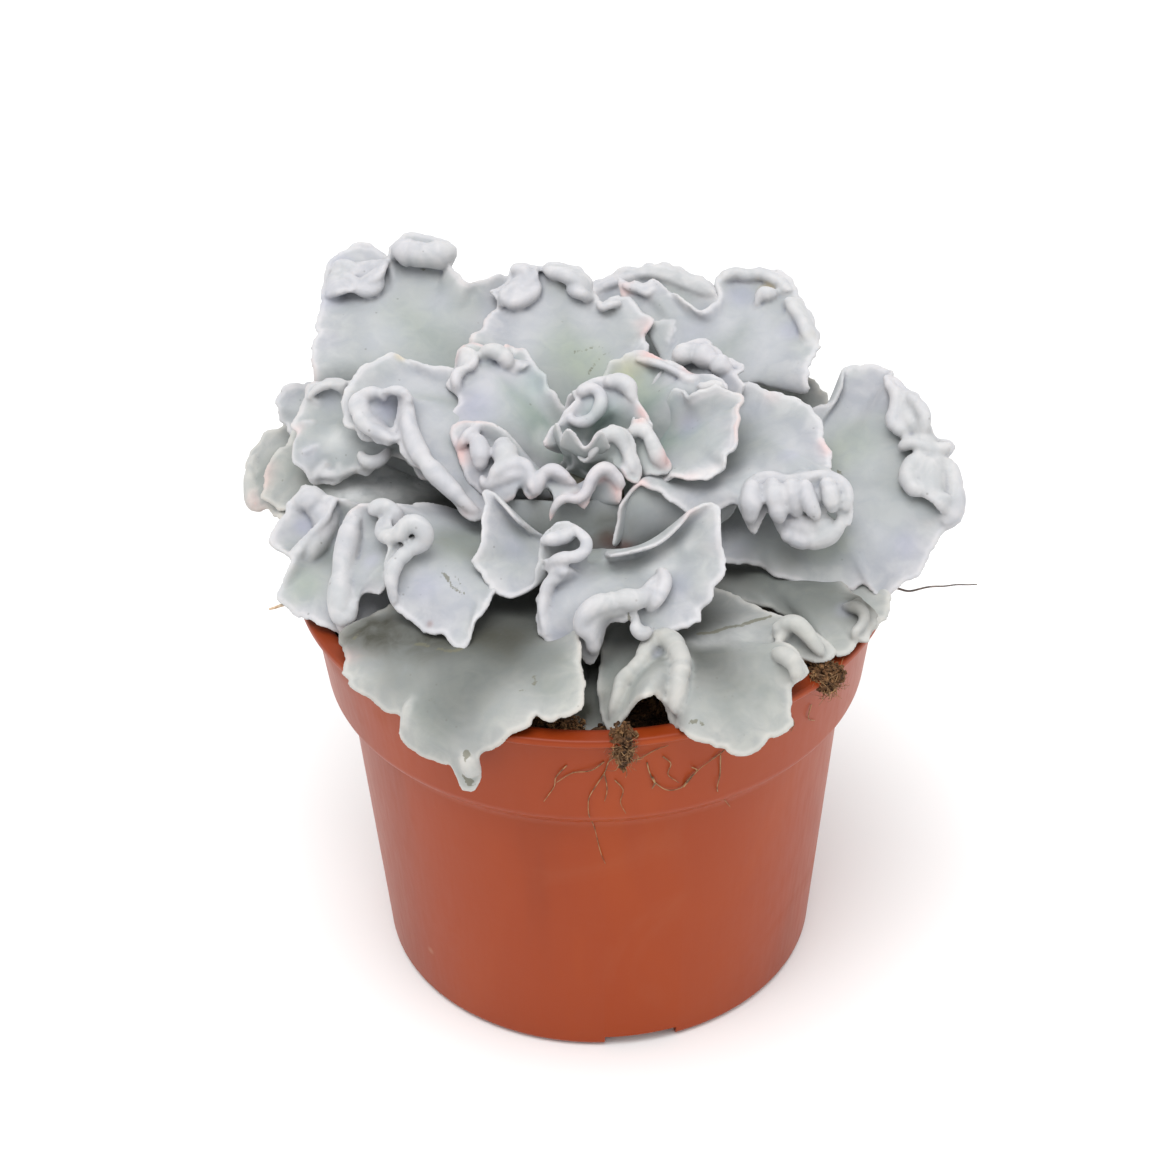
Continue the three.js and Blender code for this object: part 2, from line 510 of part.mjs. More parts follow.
// Places along the margin: each station, and evenly between two that lie far apart.
function marginSamples({ u, margin }, step) {
  const spot = (q) => vec(...margin(q).slice(0, 3));
  const samples = [0];
  for (let i = 1; i < u.length; i++) {
    const length = spot(u[i]).distanceTo(spot(u[i - 1]));
    const pieces = Math.max(1, Math.round(length / step));
    for (let k = 1; k <= pieces; k++) samples.push(u[i - 1] + (u[i] - u[i - 1]) * k / pieces);
  }
  return samples;
}

// Closed blade: rows of points from the lip inwards, alike on both faces, and a rim wall.
function leafBlade(leaf, grow = 0) {
  const surface = leafSurface(leaf);
  const samples = marginSamples(surface, leaf.step ?? marginStep);
  const curled = leaf.margin.some((station) => (station[4] ?? 0) > 0);
  const levels = curled ? [2, 1, 0.65, 0.15] : [1, 0.68, 0.15];
  const coarse = curled ? [1, 1, 2, 4] : [1, 2, 4];
  const top = [];
  const bottom = [];
  const rows = levels.map((t, r) => {
    const row = [];
    samples.forEach((q, i) => {
      if (i % coarse[r] !== 0 && i !== samples.length - 1) return;
      row.push({ q, index: top.length });
      const middle = surface.point(q, t);
      const dq = 0.004;
      const alongMargin = surface.point(Math.min(q + dq, 1), t)
        .sub(surface.point(Math.max(q - dq, 0), t));
      const acrossBlade = surface.point(q, Math.min(t + 0.02, 2))
        .sub(surface.point(q, Math.max(t - 0.02, 0)));
      const normal = acrossBlade.clone().cross(alongMargin).normalize();
      const side = i === 0 ? -1 : Number(i === samples.length - 1);
      if (r === 0) middle.addScaledVector(acrossBlade.normalize(), grow);
      middle.addScaledVector(alongMargin.normalize(), side * grow);
      const spread = Math.min(t, 1);
      const half = (bladeBase + (bladeEdge - bladeBase) * spread) / 2 + grow;
      top.push(middle.clone().addScaledVector(normal, half));
      bottom.push(middle.clone().addScaledVector(normal, -half));
    });
    return row;
  });
  const faces = [];
  for (let r = 1; r < rows.length; r++) stitch(rows[r - 1], rows[r], faces);
  closeMidrib(rows[rows.length - 1], top, faces);
  return joinCells(faces, top, bottom);
}

// Each facet of the middle surface is a wedge from the lower face to the upper one, and the
// blade is all of them joined: where a fold runs into itself, the join has one skin round both.
function joinCells(faces, top, bottom) {
  const wedges = faces.map((face) => solidFrom(
    new ConvexGeometry([...face.map((i) => top[i]), ...face.map((i) => bottom[i])])));
  return largestBody(wasm.Manifold.union(wedges));
}

// Triangles between two rows that run the same way round.
function stitch(outer, inner, faces) {
  let i = 0;
  let j = 0;
  while (i < outer.length - 1 || j < inner.length - 1) {
    const nextOuter = i < outer.length - 1 ? outer[i + 1].q : Infinity;
    const nextInner = j < inner.length - 1 ? inner[j + 1].q : Infinity;
    if (nextOuter <= nextInner) {
      faces.push([outer[i].index, outer[i + 1].index, inner[j].index]);
      i++;
    } else {
      faces.push([outer[i].index, inner[j + 1].index, inner[j].index]);
      j++;
    }
  }
}

// The innermost row closes on itself across the midrib, by the shorter diagonal each time.
function closeMidrib(row, points, faces) {
  let i = 0;
  let j = row.length - 1;
  while (j - i > 1) {
    const left = points[row[i + 1].index].distanceTo(points[row[j].index]);
    const right = points[row[i].index].distanceTo(points[row[j - 1].index]);
    if (left < right) {
      faces.push([row[i].index, row[i + 1].index, row[j].index]);
      i++;
    } else {
      faces.push([row[i].index, row[j - 1].index, row[j].index]);
      j--;
    }
  }
}

// A hidden leaf under the rosette: an even spoon shape with a gently waved margin.
function plainLeaf({ facing, root, rise, length, width, droop, seed, count = 13 }) {
  const random = seededRandom(seed);
  const turn = radians(facing);
  const climb = radians(rise);
  const start = stemRadius(root);
  const place = (along, side, lift) => {
    const out = start + along * length * Math.cos(climb);
    const sideways = side * width / 2;
    return [
      stemCentre[0] + out * Math.cos(turn) - sideways * Math.sin(turn),
      stemCentre[1] + out * Math.sin(turn) + sideways * Math.cos(turn),
      root + length * (along * Math.sin(climb) - droop * along ** 3) + lift,
    ];
  };
  const margin = [];
  for (let k = 0; k < count; k++) {
    const angle = radians(-150 + 300 * k / (count - 1));
    const along = 0.66 + 0.34 * Math.cos(angle) * (1 + 0.1 * (random() - 0.5));
    const side = Math.sin(angle) * (1 + 0.14 * (random() - 0.5)) * (Math.cos(angle) < 0 ? 0.9 : 1);
    const wave = k % 2 ? 1.6 : -1.2;
    margin.push([...place(along, side, 2.5 * Math.abs(side) + wave * (0.6 + 0.6 * random())), 0, 0]);
  }
  return { facing, root, rise, heart: place(0.68, 0, 0), step: 6.5, margin };
}

// ---- solids ------------------------------------------------------------------------------

function geometryFrom(points, triangles) {
  const geometry = new THREE.BufferGeometry();
  geometry.setAttribute('position', new THREE.Float32BufferAttribute(
    points.flatMap((p) => [p.x, p.y, p.z]), 3));
  geometry.setIndex(triangles);
  return geometry;
}

// A closed mesh as a solid; one that is inside out is turned round first.
function solidFrom(geometry) {
  const bare = geometry.clone();
  bare.deleteAttribute('normal');
  bare.deleteAttribute('uv');
  const merged = mergeVertices(bare, 1e-4);
  const build = (triVerts) => new wasm.Manifold(new wasm.Mesh({
    numProp: 3,
    vertProperties: new Float32Array(merged.attributes.position.array),
    triVerts,
  }));
  const corners = Uint32Array.from(merged.index.array);
  const kept = [];
  for (let i = 0; i < corners.length; i += 3) {
    const [a, b, c] = corners.slice(i, i + 3);
    if (a !== b && b !== c && c !== a) kept.push(a, b, c);
  }
  const solid = build(Uint32Array.from(kept));
  if (solid.volume() > 0) return solid;
  const reversed = [];
  for (let i = 0; i < kept.length; i += 3) reversed.push(kept[i], kept[i + 2], kept[i + 1]);
  return build(Uint32Array.from(reversed));
}

function meshFrom(solid) {
  const { numProp, vertProperties, triVerts } = solid.getMesh();
  const points = [];
  for (let i = 0; i < vertProperties.length; i += numProp) {
    points.push(vec(vertProperties[i], vertProperties[i + 1], vertProperties[i + 2]));
  }
  return geometryFrom(points, Array.from(triVerts));
}

// Cuts leave needle-thin facets behind: edges shorter than this are drawn together to a point.
function withoutSlivers(geometry) {
  const points = [];
  const position = geometry.attributes.position;
  for (let i = 0; i < position.count; i++) points.push(vec(0, 0, 0).fromBufferAttribute(position, i));
  const index = Array.from(geometry.index.array);
  let faces = [];
  for (let i = 0; i < index.length; i += 3) faces.push(index.slice(i, i + 3));
  const normalOf = ([a, b, c]) => points[b].clone().sub(points[a])
    .cross(points[c].clone().sub(points[a]));

  for (let changed = true; changed;) {
    changed = false;
    const around = points.map(() => []);
    faces.forEach((face) => face.forEach((corner) => around[corner].push(face)));
    const ring = (corner) => new Set(around[corner].flat().filter((other) => other !== corner));
    const edges = faces.flatMap(([a, b, c]) => [[a, b], [b, c], [c, a]])
      .filter(([a, b]) => a < b && points[a].distanceTo(points[b]) < shortestEdge)
      .sort((p, q) => points[p[0]].distanceTo(points[p[1]]) - points[q[0]].distanceTo(points[q[1]]));
    const settled = new Set();
    for (const [a, b] of edges) {
      const ringA = ring(a);
      const ringB = ring(b);
      const shared = [...ringA].filter((corner) => ringB.has(corner));
      const touched = [a, b, ...ringA, ...ringB];
      if (shared.length !== 2 || touched.some((corner) => settled.has(corner))) continue;
      const kept = [...around[a], ...around[b]].filter((face) => !(face.includes(a) && face.includes(b)));
      const before = kept.map(normalOf);
      const [oldA, oldB] = [points[a].clone(), points[b].clone()];
      const middle = oldA.clone().lerp(oldB, 0.5);
      points[a].copy(middle);
      points[b].copy(middle);
      const flips = kept.some((face, k) => {
        const after = normalOf(face);
        return before[k].length() > 0.01 && after.dot(before[k]) < 0.5 * after.length() * before[k].length();
      });
      if (flips) {
        points[a].copy(oldA);
        points[b].copy(oldB);
        continue;
      }
      kept.forEach((face) => { face.forEach((corner, k) => { if (corner === b) face[k] = a; }); });
      faces = faces.filter((face) => !(face.includes(a) && face.includes(b)) && new Set(face).size === 3);
      touched.forEach((corner) => settled.add(corner));
      changed = true;
    }
  }
  const used = [...new Set(faces.flat())];
  const place = new Map(used.map((corner, k) => [corner, k]));
  return geometryFrom(used.map((corner) => points[corner]), faces.flat().map((c) => place.get(c)));
}

// A cut can leave crumbs: the piece that counts is the largest.
function largestBody(solid) {
  const bodies = solid.decompose();
  return bodies.reduce((best, body) => (body.volume() > best.volume() ? body : best));
}

// Boxes of two solids meet.
function near(a, b) {
  const p = a.boundingBox();
  const q = b.boundingBox();
  return [0, 1, 2].every((k) => p.min[k] <= q.max[k] && q.min[k] <= p.max[k]);
}

function turned(profile, sides) {
  const points = profile.map(([radius, z]) => new THREE.Vector2(radius, z));
  return new THREE.LatheGeometry(points, sides).rotateX(Math.PI / 2);
}

// ---- pot -----------------------------------------------------------------------------------

// The pot's inner wall, as radius and height from its floor to its mouth.
const innerWall = [
  [footRadius - potWall, channelDepth + floorThickness],
  [shoulderRadius - potWall, shoulderZ - potWall],
  [collarFootRadius - potWall, collarFootZ],
  [collarTopRadius - potWall, potHeight],
];

function potProfile(grow = 0) {
  return [
    [0, -grow], [channelInner, -grow], [channelInner + 0.6, channelDepth - grow],
    [channelOuter, channelDepth - grow], [channelOuter + 0.6, -grow],
    [footRadius - footChamfer, -grow], [footRadius + grow, footChamfer],
    [shoulderRadius + grow, shoulderZ], [collarFootRadius + grow, collarFootZ - grow],
    [collarTopRadius + grow, potHeight - lipDepth - grow],
    [lipRadius + grow, potHeight - lipDepth - grow], [lipRadius + grow, potHeight + grow],
    [innerWall[3][0] - grow, potHeight + grow], [innerWall[2][0] - grow, innerWall[2][1]],
    [innerWall[1][0] - grow, innerWall[1][1]], [innerWall[0][0] - grow, innerWall[0][1] + grow],
    [0, innerWall[0][1] + grow],
  ];
}

function buildPot() {
  let pot = solidFrom(turned(potProfile(), potSides));
  const notchHeight = channelDepth;
  for (let k = 0; k < notchCount; k++) {
    const angle = radians(notchTurn + k * 360 / notchCount);
    const box = new THREE.BoxGeometry(12, notchWidth, notchHeight * 2);
    box.rotateZ(angle);
    box.translate(Math.cos(angle) * footRadius, Math.sin(angle) * footRadius, 0);
    pot = pot.subtract(solidFrom(box));
  }
  for (let k = 0; k < drainCount; k++) {
    const angle = radians(notchTurn + (k + 0.5) * 360 / drainCount);
    const hole = new THREE.CylinderGeometry(drainRadius, drainRadius, 12, 12).rotateX(Math.PI / 2);
    hole.translate(Math.cos(angle) * drainRing, Math.sin(angle) * drainRing, 3);
    pot = pot.subtract(solidFrom(hole));
  }
  return largestBody(pot);
}

// ---- soil and stem ---------------------------------------------------------------------------

function soilBump(x, y) {
  return 0.8 * Math.sin(0.31 * x + 1.2) * Math.cos(0.27 * y) + 0.6 * Math.sin(0.7 * x - 0.5 * y)
    + 0.4 * Math.cos(0.9 * y + 0.4 * x);
}

function buildSoil(grow = 0) {
  const edgeZ = soilZ - 1.5;
  const [floor, shoulder, collar] = innerWall;
  const rim = readProfile(innerWall, edgeZ) - soilGap;
  const profile = [
    [0, floor[1] + soilGap], [floor[0] - soilGap, floor[1] + soilGap],
    [shoulder[0] - soilGap, shoulder[1]], [collar[0] - soilGap, collar[1]], [rim, edgeZ],
    [rim - 8, soilZ], [rim - 24, soilZ], [rim - 38, soilZ], [0, soilZ],
  ];
  const geometry = turned(profile, soilSides);
  const position = geometry.attributes.position;
  for (let i = 0; i < position.count; i++) {
    if (position.getZ(i) < soilZ - 0.1) continue;
    const bump = soilBump(position.getX(i), position.getY(i));
    position.setZ(i, soilZ + bump + grow);
  }
  return solidFrom(geometry);
}

function buildStem(grow = 0) {
  const profile = [[0, stemFootZ - grow], [stemProfile[0][0] - 2 + grow, stemFootZ - grow]];
  for (const z of [72, 84, 95, 106, stemTopZ - 1]) profile.push([stemRadius(z) + grow, z]);
  profile.push([stemRadius(stemTopZ) * 0.6 + grow, stemTopZ + grow], [0, stemTopZ + grow]);
  const geometry = turned(profile, 16);
  geometry.translate(stemCentre[0], stemCentre[1], 0);
  return solidFrom(geometry);
}

// A crumb of peat: a ball with a rough surface.
function buildClump({ at, radii, seed }) {
  const geometry = new THREE.IcosahedronGeometry(1, 2);
  const position = geometry.attributes.position;
  for (let i = 0; i < position.count; i++) {
    const p = vec(position.getX(i), position.getY(i), position.getZ(i));
    const rough = 1 + 0.13 * Math.sin(6 * p.x + seed) * Math.cos(5 * p.y - seed)
      + 0.1 * Math.sin(9 * p.z + 2 * p.x + 3 * seed);
    position.setXYZ(i, at[0] + radii[0] * p.x * rough, at[1] + radii[1] * p.y * rough,
      at[2] + radii[2] * p.z * rough);
  }
  return solidFrom(geometry);
}

// A thin round strand along a hand-set route.
function buildStrand({ route, radius, sides, steps }) {
  const curve = new THREE.CatmullRomCurve3(route.map((p) => vec(...p)));
  const section = new THREE.Shape();
  for (let k = 0; k < sides; k++) {
    const angle = 2 * Math.PI * k / sides;
    const [x, y] = [radius * Math.cos(angle), radius * Math.sin(angle)];
    if (k === 0) section.moveTo(x, y);
    else section.lineTo(x, y);
  }
  section.closePath();
  return solidFrom(new THREE.ExtrudeGeometry(section, { steps, extrudePath: curve, bevelEnabled: false }));
}

// ---- assembly ----------------------------------------------------------------------------------

const finishes = {
  terracottaPlastic: { color: '#b0583a', roughness: 0.5, metalness: 0 },
  peat: { color: '#3a2a1f', roughness: 1, metalness: 0 },
  leafWax: { color: '#c3cdd3', roughness: 0.75, metalness: 0 },
  leafShade: { color: '#8b9189', roughness: 0.8, metalness: 0 },
  stemSkin: { color: '#8d8a6c', roughness: 0.9, metalness: 0 },
  dryFibre: { color: '#b79a72', roughness: 0.9, metalness: 0 },
};

const group = new THREE.Group();

function add(name, solid, finish) {
  const mesh = new THREE.Mesh(withoutSlivers(meshFrom(solid)), new THREE.MeshStandardMaterial(finishes[finish]));
  mesh.name = name;
  group.add(mesh);
}

const stem = buildStem();
const stemRoom = buildStem(piecesGap);
const soil = buildSoil().subtract(stemRoom);
const soilRoom = buildSoil(piecesGap);
const pot = buildPot();
const potRoom = solidFrom(turned(potProfile(piecesGap), potSides));
add('pot', pot, 'terracottaPlastic');
add('soil', soil, 'peat');
add('stem', stem, 'stemSkin');

// Leaves from the heart outwards: a lower leaf gives way where it would run through a higher one.
const allLeaves = { ...leaves };
hiddenLeaves.forEach((settings, k) => { allLeaves[`leaf_under_${k + 1}`] = plainLeaf(settings); });
const order = Object.keys(allLeaves).sort((a, b) => allLeaves[b].root - allLeaves[a].root);
const rooms = [stemRoom, soilRoom, potRoom];
const madeWay = (solid) => largestBody(rooms.reduce(
  (rest, room) => (near(rest, room) ? rest.subtract(room) : rest), solid));
for (const name of order) {
  const leaf = allLeaves[name];
  add(name, madeWay(leafBlade(leaf)), leaf.root < 88 ? 'leafShade' : 'leafWax');
  rooms.push(leafBlade(leaf, piecesGap));
}
const bud = wasm.Manifold.union(budLeaves.map((settings) => leafBlade(plainLeaf(settings))));
add('heart_bud', madeWay(bud), 'leafWax');
for (const name of Object.keys(clumps)) add(name, madeWay(buildClump(clumps[name])), 'peat');
for (const name of Object.keys(strands)) add(name, madeWay(buildStrand(strands[name])), 'dryFibre');

export default group;
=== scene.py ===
# Ruffled rosette succulent in its nursery pot: the looks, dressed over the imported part.
# Settings are in millimetres unless a note says otherwise; meshes are built in metres.
import math
import bpy
import numpy as np
from mathutils import Matrix, Vector
from mathutils.kdtree import KDTree


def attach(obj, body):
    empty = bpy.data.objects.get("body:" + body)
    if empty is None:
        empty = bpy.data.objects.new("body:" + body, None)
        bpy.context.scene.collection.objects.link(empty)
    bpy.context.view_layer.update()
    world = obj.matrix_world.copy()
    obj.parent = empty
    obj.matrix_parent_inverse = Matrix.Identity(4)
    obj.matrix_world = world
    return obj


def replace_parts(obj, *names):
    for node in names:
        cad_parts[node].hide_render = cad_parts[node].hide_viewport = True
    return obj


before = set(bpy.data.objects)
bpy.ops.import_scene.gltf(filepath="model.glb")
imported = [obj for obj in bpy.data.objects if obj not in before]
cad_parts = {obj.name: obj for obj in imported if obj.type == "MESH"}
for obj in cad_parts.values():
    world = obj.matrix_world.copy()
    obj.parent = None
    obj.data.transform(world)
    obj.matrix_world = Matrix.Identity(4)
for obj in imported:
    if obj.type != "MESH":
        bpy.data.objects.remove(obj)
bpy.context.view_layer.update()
mm = 0.001
fullTurn = 2 * math.pi
slantWay = [0.31, 0.2, 0.93]    # no strand or roll runs this way, so it gives them a side
hashPrimes = (374761393, 668265263, 1442695041, 974634777)    # for x, y, z and the seed
hashMix, hashMask = 1274126177, 0xffffffff


def unit(v):
    return v / np.maximum(np.linalg.norm(v, axis=-1, keepdims=True), 1e-9)


def smoothStep(low, high, x):
    t = np.clip((x - low) / (high - low), 0, 1)
    return t * t * (3 - 2 * t)


def roundTurns(count):
    return np.linspace(0, fullTurn, count, endpoint=False)


def radiusAt(profile, z):    # profile: radius and height of each point, from the foot up
    radii, heights = zip(*profile)
    return float(np.interp(z, heights, radii))


def latticeValue(i, j, k, seed):    # one draw from -1 to 1 for each whole place
    h = sum(value * prime for value, prime in zip((i, j, k, seed), hashPrimes)) & hashMask
    h = ((h ^ (h >> 13)) * hashMix) & hashMask
    return ((h ^ (h >> 16)) & 0xffff) / 32768 - 1


def softNoise(points, size, seed=0):    # smooth value noise, -1 to 1, one lump about every size
    scaled = np.asarray(points, float) / size
    base = np.floor(scaled).astype(np.int64)
    part = scaled - base
    part = part * part * (3 - 2 * part)
    total = 0
    for dx, dy, dz in np.ndindex(2, 2, 2):
        weight = (np.abs(1 - dx - part[..., 0]) * np.abs(1 - dy - part[..., 1])
                  * np.abs(1 - dz - part[..., 2]))
        total = total + weight * latticeValue(
            base[..., 0] + dx, base[..., 1] + dy, base[..., 2] + dz, seed)
    return total


def lineNoise(run, seed, start=0):    # softNoise along a line, one lump about every unit
    still = np.zeros_like(run)
    return softNoise(np.stack([run, still, still], 1) + start, 1.0, seed)


def crumbleNoise(points, size, seed=0):    # three octaves of softNoise
    return (softNoise(points, size, seed) + 0.5 * softNoise(points, size / 2, seed + 1)
            + 0.25 * softNoise(points, size / 4, seed + 2)) / 1.75


def linked(name, data):    # a new object of this mesh, light or camera, in the scene
    thing = bpy.data.objects.new(name, data)
    bpy.context.scene.collection.objects.link(thing)
    return thing


def makePiece(name, points, faces, slot, material, smooth=True, marks=None):
    mesh = bpy.data.meshes.new(name)
    mesh.from_pydata((np.asarray(points) * mm).tolist(), [], faces)
    for label, values in (marks or {}).items():
        values = np.asarray(values, np.float32)
        kind, field = ('FLOAT', 'value') if values.ndim == 1 else ('FLOAT_COLOR', 'color')
        layer = mesh.attributes.new(label, kind, 'POINT')
        layer.data.foreach_set(field, values.ravel())
    mesh.polygons.foreach_set('use_smooth', [smooth] * len(mesh.polygons))
    mesh.materials.append(material)
    mesh.update()
    piece = linked(name, mesh)
    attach(piece, "root")
    return piece


def joinParts(parts):    # [(points, faces), ...] as one list of points and faces
    points, faces, count = [], [], 0
    for partPoints, partFaces in parts:
        points.append(np.asarray(partPoints))
        faces.extend([tuple(i + count for i in face) for face in partFaces])
        count += len(partPoints)
    return np.concatenate(points), faces


def icoBall(level):
    t = (1 + 5 ** 0.5) / 2
    points = [(-1, t, 0), (1, t, 0), (-1, -t, 0), (1, -t, 0), (0, -1, t), (0, 1, t),
              (0, -1, -t), (0, 1, -t), (t, 0, -1), (t, 0, 1), (-t, 0, -1), (-t, 0, 1)]
    faces = [(0, 11, 5), (0, 5, 1), (0, 1, 7), (0, 7, 10), (0, 10, 11), (1, 5, 9), (5, 11, 4),
             (11, 10, 2), (10, 7, 6), (7, 1, 8), (3, 9, 4), (3, 4, 2), (3, 2, 6), (3, 6, 8),
             (3, 8, 9), (4, 9, 5), (2, 4, 11), (6, 2, 10), (8, 6, 7), (9, 8, 1)]
    points = [unit(np.array(p, float)) for p in points]
    for _ in range(level):
        middles, finer = {}, []

        def middle(a, b):
            key = (min(a, b), max(a, b))
            if key not in middles:
                middles[key] = len(points)
                points.append(unit(points[a] + points[b]))
            return middles[key]

        for a, b, c in faces:
            ab, bc, ca = middle(a, b), middle(b, c), middle(c, a)
            finer += [(a, ab, ca), (b, bc, ab), (c, ca, bc), (ab, bc, ca)]
        faces = finer
    return np.array(points), faces


def tubeFaces(count, sides):    # rings of points joined into a closed tube
    index = np.arange(count * sides).reshape(count, sides)
    a, b = index[:-1], index[1:]
    faces = np.stack([a, np.roll(a, -1, 1), np.roll(b, -1, 1), b], -1).reshape(-1, 4).tolist()
    return faces + [index[0][::-1].tolist(), index[-1].tolist()]


def strandParts(route, radius, sides=5, steps=24, taper=0.35, wobble=0.0, seed=0):
    route = np.array(route, float)
    at = np.linspace(0, 1, steps)
    centre = hermite(route, np.linspace(0, 1, len(route)), at)
    centre = centre + wobble * np.stack(
        [softNoise(centre + 50 * axis, 3.0, seed + axis) for axis in range(3)], 1)
    ahead = unit(np.gradient(centre, axis=0))
    side = unit(np.cross(ahead, slantWay))
    other = np.cross(ahead, side)
    size = radius * (1 - (1 - taper) * at)
    rings = [centre + size[:, None] * (math.cos(a) * side + math.sin(a) * other)
             for a in roundTurns(sides)]
    return np.stack(rings, 1).reshape(-1, 3), tubeFaces(steps, sides)


def hermite(values, u, q):    # smooth curve through stations: u is each station's place, q is asked
    values, u = np.asarray(values, float), np.asarray(u, float)
    count = len(u)
    before = np.maximum(np.arange(count) - 1, 0)
    after = np.minimum(np.arange(count) + 1, count - 1)
    slopes = (values[after] - values[before]) / (u[after] - u[before])[:, None]
    i = np.clip(np.searchsorted(u, q, side='left') - 1, 0, count - 2)
    span = (u[i + 1] - u[i])[:, None]
    t = ((q - u[i]) / (u[i + 1] - u[i]))[:, None]
    return ((2 * t ** 3 - 3 * t ** 2 + 1) * values[i] + (t ** 3 - 2 * t ** 2 + t) * span * slopes[i]
            + (-2 * t ** 3 + 3 * t ** 2) * values[i + 1] + (t ** 3 - t ** 2) * span * slopes[i + 1])


def newMaterial(name, roughness, sockets=None):
    material = bpy.data.materials.new(name)
    material.use_nodes = True
    shader = material.node_tree.nodes['Principled BSDF']
    shader.inputs['Roughness'].default_value = roughness
    for label, value in (sockets or {}).items():
        shader.inputs[label].default_value = value
    return material, material.node_tree, shader


def plug(tree, kind, inputs=None, **settings):    # a node with its settings and what feeds it
    node = tree.nodes.new(kind)
    for label, value in settings.items():
        setattr(node, label, value)
    for label, value in (inputs or {}).items():
        if isinstance(value, bpy.types.NodeSocket):
            tree.links.new(value, node.inputs[label])
        else:
            node.inputs[label].default_value = value
    return node


def ramp(tree, fac, *stops):    # stops: place and colour
    node = plug(tree, 'ShaderNodeValToRGB', {'Fac': fac})
    node.color_ramp.interpolation = 'EASE'
    while len(node.color_ramp.elements) < len(stops):
        node.color_ramp.elements.new(0.5)
    for stop, (place, colour) in zip(node.color_ramp.elements, stops):
        stop.position = place
        stop.color = (*colour[:3], 1)
    return node.outputs['Color']


def grade(tree, fac, low, high):    # 0 to 1 between two places of a value
    node = plug(tree, 'ShaderNodeMapRange', {'Value': fac, 'From Min': low, 'From Max': high},
                interpolation_type='SMOOTHSTEP')
    return node.outputs['Result']


def calc(tree, operation, a, b):
    return plug(tree, 'ShaderNodeMath', {0: a, 1: b}, operation=operation).outputs['Value']


def plus(tree, a, b):
    return calc(tree, 'ADD', a, b)


def less(tree, a, b):
    return calc(tree, 'SUBTRACT', a, b)


def times(tree, a, b):
    return calc(tree, 'MULTIPLY', a, b)


def blend(tree, fac, a, b, kind='MIX'):
    node = plug(tree, 'ShaderNodeMix', {0: fac, 6: a, 7: b}, data_type='RGBA', blend_type=kind)
    return node.outputs[2]


def lay(tree, colour, tone, share, *covers):    # a tone over the colour: its share, where the covers are
    for cover in covers:
        share = times(tree, cover, share)
    return blend(tree, share, colour, rgb(*tone))


def objectPlace(tree):
    return plug(tree, 'ShaderNodeTexCoord').outputs['Object']


def grain(tree, scale, detail=3.0, distortion=0.0, stretch=None):    # noise in object space
    place = objectPlace(tree)
    if stretch:
        place = plug(tree, 'ShaderNodeMapping', {'Vector': place, 'Scale': stretch}).outputs[0]
    node = plug(tree, 'ShaderNodeTexNoise', {'Vector': place, 'Scale': scale, 'Detail': detail,
                                             'Distortion': distortion})
    return node.outputs['Fac']


def cellDots(tree, place, scale, span):    # a round dot in the middle of each cell
    cells = plug(tree, 'ShaderNodeTexVoronoi', {'Vector': place, 'Scale': scale, 'Randomness': 1.0})
    return less(tree, 1.0, grade(tree, cells.outputs['Distance'], *span))


def mark(tree, label):
    return plug(tree, 'ShaderNodeAttribute', attribute_name=label).outputs['Fac']


def bump(tree, shader, height, strength, distance):
    node = plug(tree, 'ShaderNodeBump', {'Height': height, 'Strength': strength,
                                         'Distance': distance})
    tree.links.new(node.outputs['Normal'], shader.inputs['Normal'])


def rgb(red, green, blue):    # a colour given in screen values, 0-255, as the shader wants it
    def linear(value):
        value = value / 255
        return value / 12.92 if value <= 0.04045 else ((value + 0.055) / 1.055) ** 2.4
    return (linear(red), linear(green), linear(blue), 1)


leafLooks = {
    "outer": dict(body=(160, 162, 166), deep=(147, 151, 151), heart=(134, 140, 137), rim=(197, 195, 197),
                  hollowShade=(114, 117, 128), blush=(190, 168, 163), blushShare=0.2, heartSpan=(0.1, 0.8)),
    "inner": dict(body=(163, 164, 169), deep=(148, 153, 152), heart=(128, 142, 134), rim=(198, 195, 197),
                  hollowShade=(118, 120, 132), blush=(198, 152, 145), blushShare=0.3, heartSpan=(0.1, 0.8)),
    # the low leaves' near-black heart colour is painted shade towards their base, under the leaves above
    "low": dict(body=(156, 158, 156), deep=(136, 140, 136), heart=(66, 68, 64), rim=(190, 188, 184),
                hollowShade=(106, 109, 109), blush=(176, 160, 146), blushShare=0.2, heartSpan=(0.3, 1.25)),
}
leafWax = dict(scar=(96, 94, 76), speckTone=(88, 86, 76), roughness=0.6, roughShare=0.16, broad=55,
               mottle=260, blushPatch=42, tear=900, speck=420, speckPatch=210, bloomBump=900,
               bloomShare=0.35, waveBump=160, bumpStrength=0.28, bumpDepth=0.0006)
leafSockets = {'Sheen Weight': 0.08, 'Sheen Roughness': 0.6, 'Subsurface Weight': 0.18,
               'Subsurface Radius': (1.0, 0.85, 0.7), 'Subsurface Scale': 0.0018,
               'Specular IOR Level': 0.28}
# Where a layer begins and is full, on its own mark or noise; then how much of the layer shows.
leafSpans = dict(body=(0.35, 0.65), rimShade=(0.55, 0.95), rimShadePatch=(0.42, 0.6), rim=(0.7, 1.3),
                 ridgeHighlight=(0.08, 0.6), creaseShade=(0.1, 0.6), blushPatch=(0.55, 0.64), blushRim=(1.0, 1.4),
                 blushRidge=(0.0, -0.3), torn=(0.3, 0.52), scar=(0.02, 0.2), dot=(0.06, 0.15),
                 speckPatch=(0.56, 0.66))
leafShares = dict(heart=0.9, reach=0.35, hollowShade=0.35, ragged=0.3, rim=0.6, ridgeHighlight=0.4, creaseShade=0.8,
                  under=0.55, tear=1.3, scar=0.75, speck=0.4)


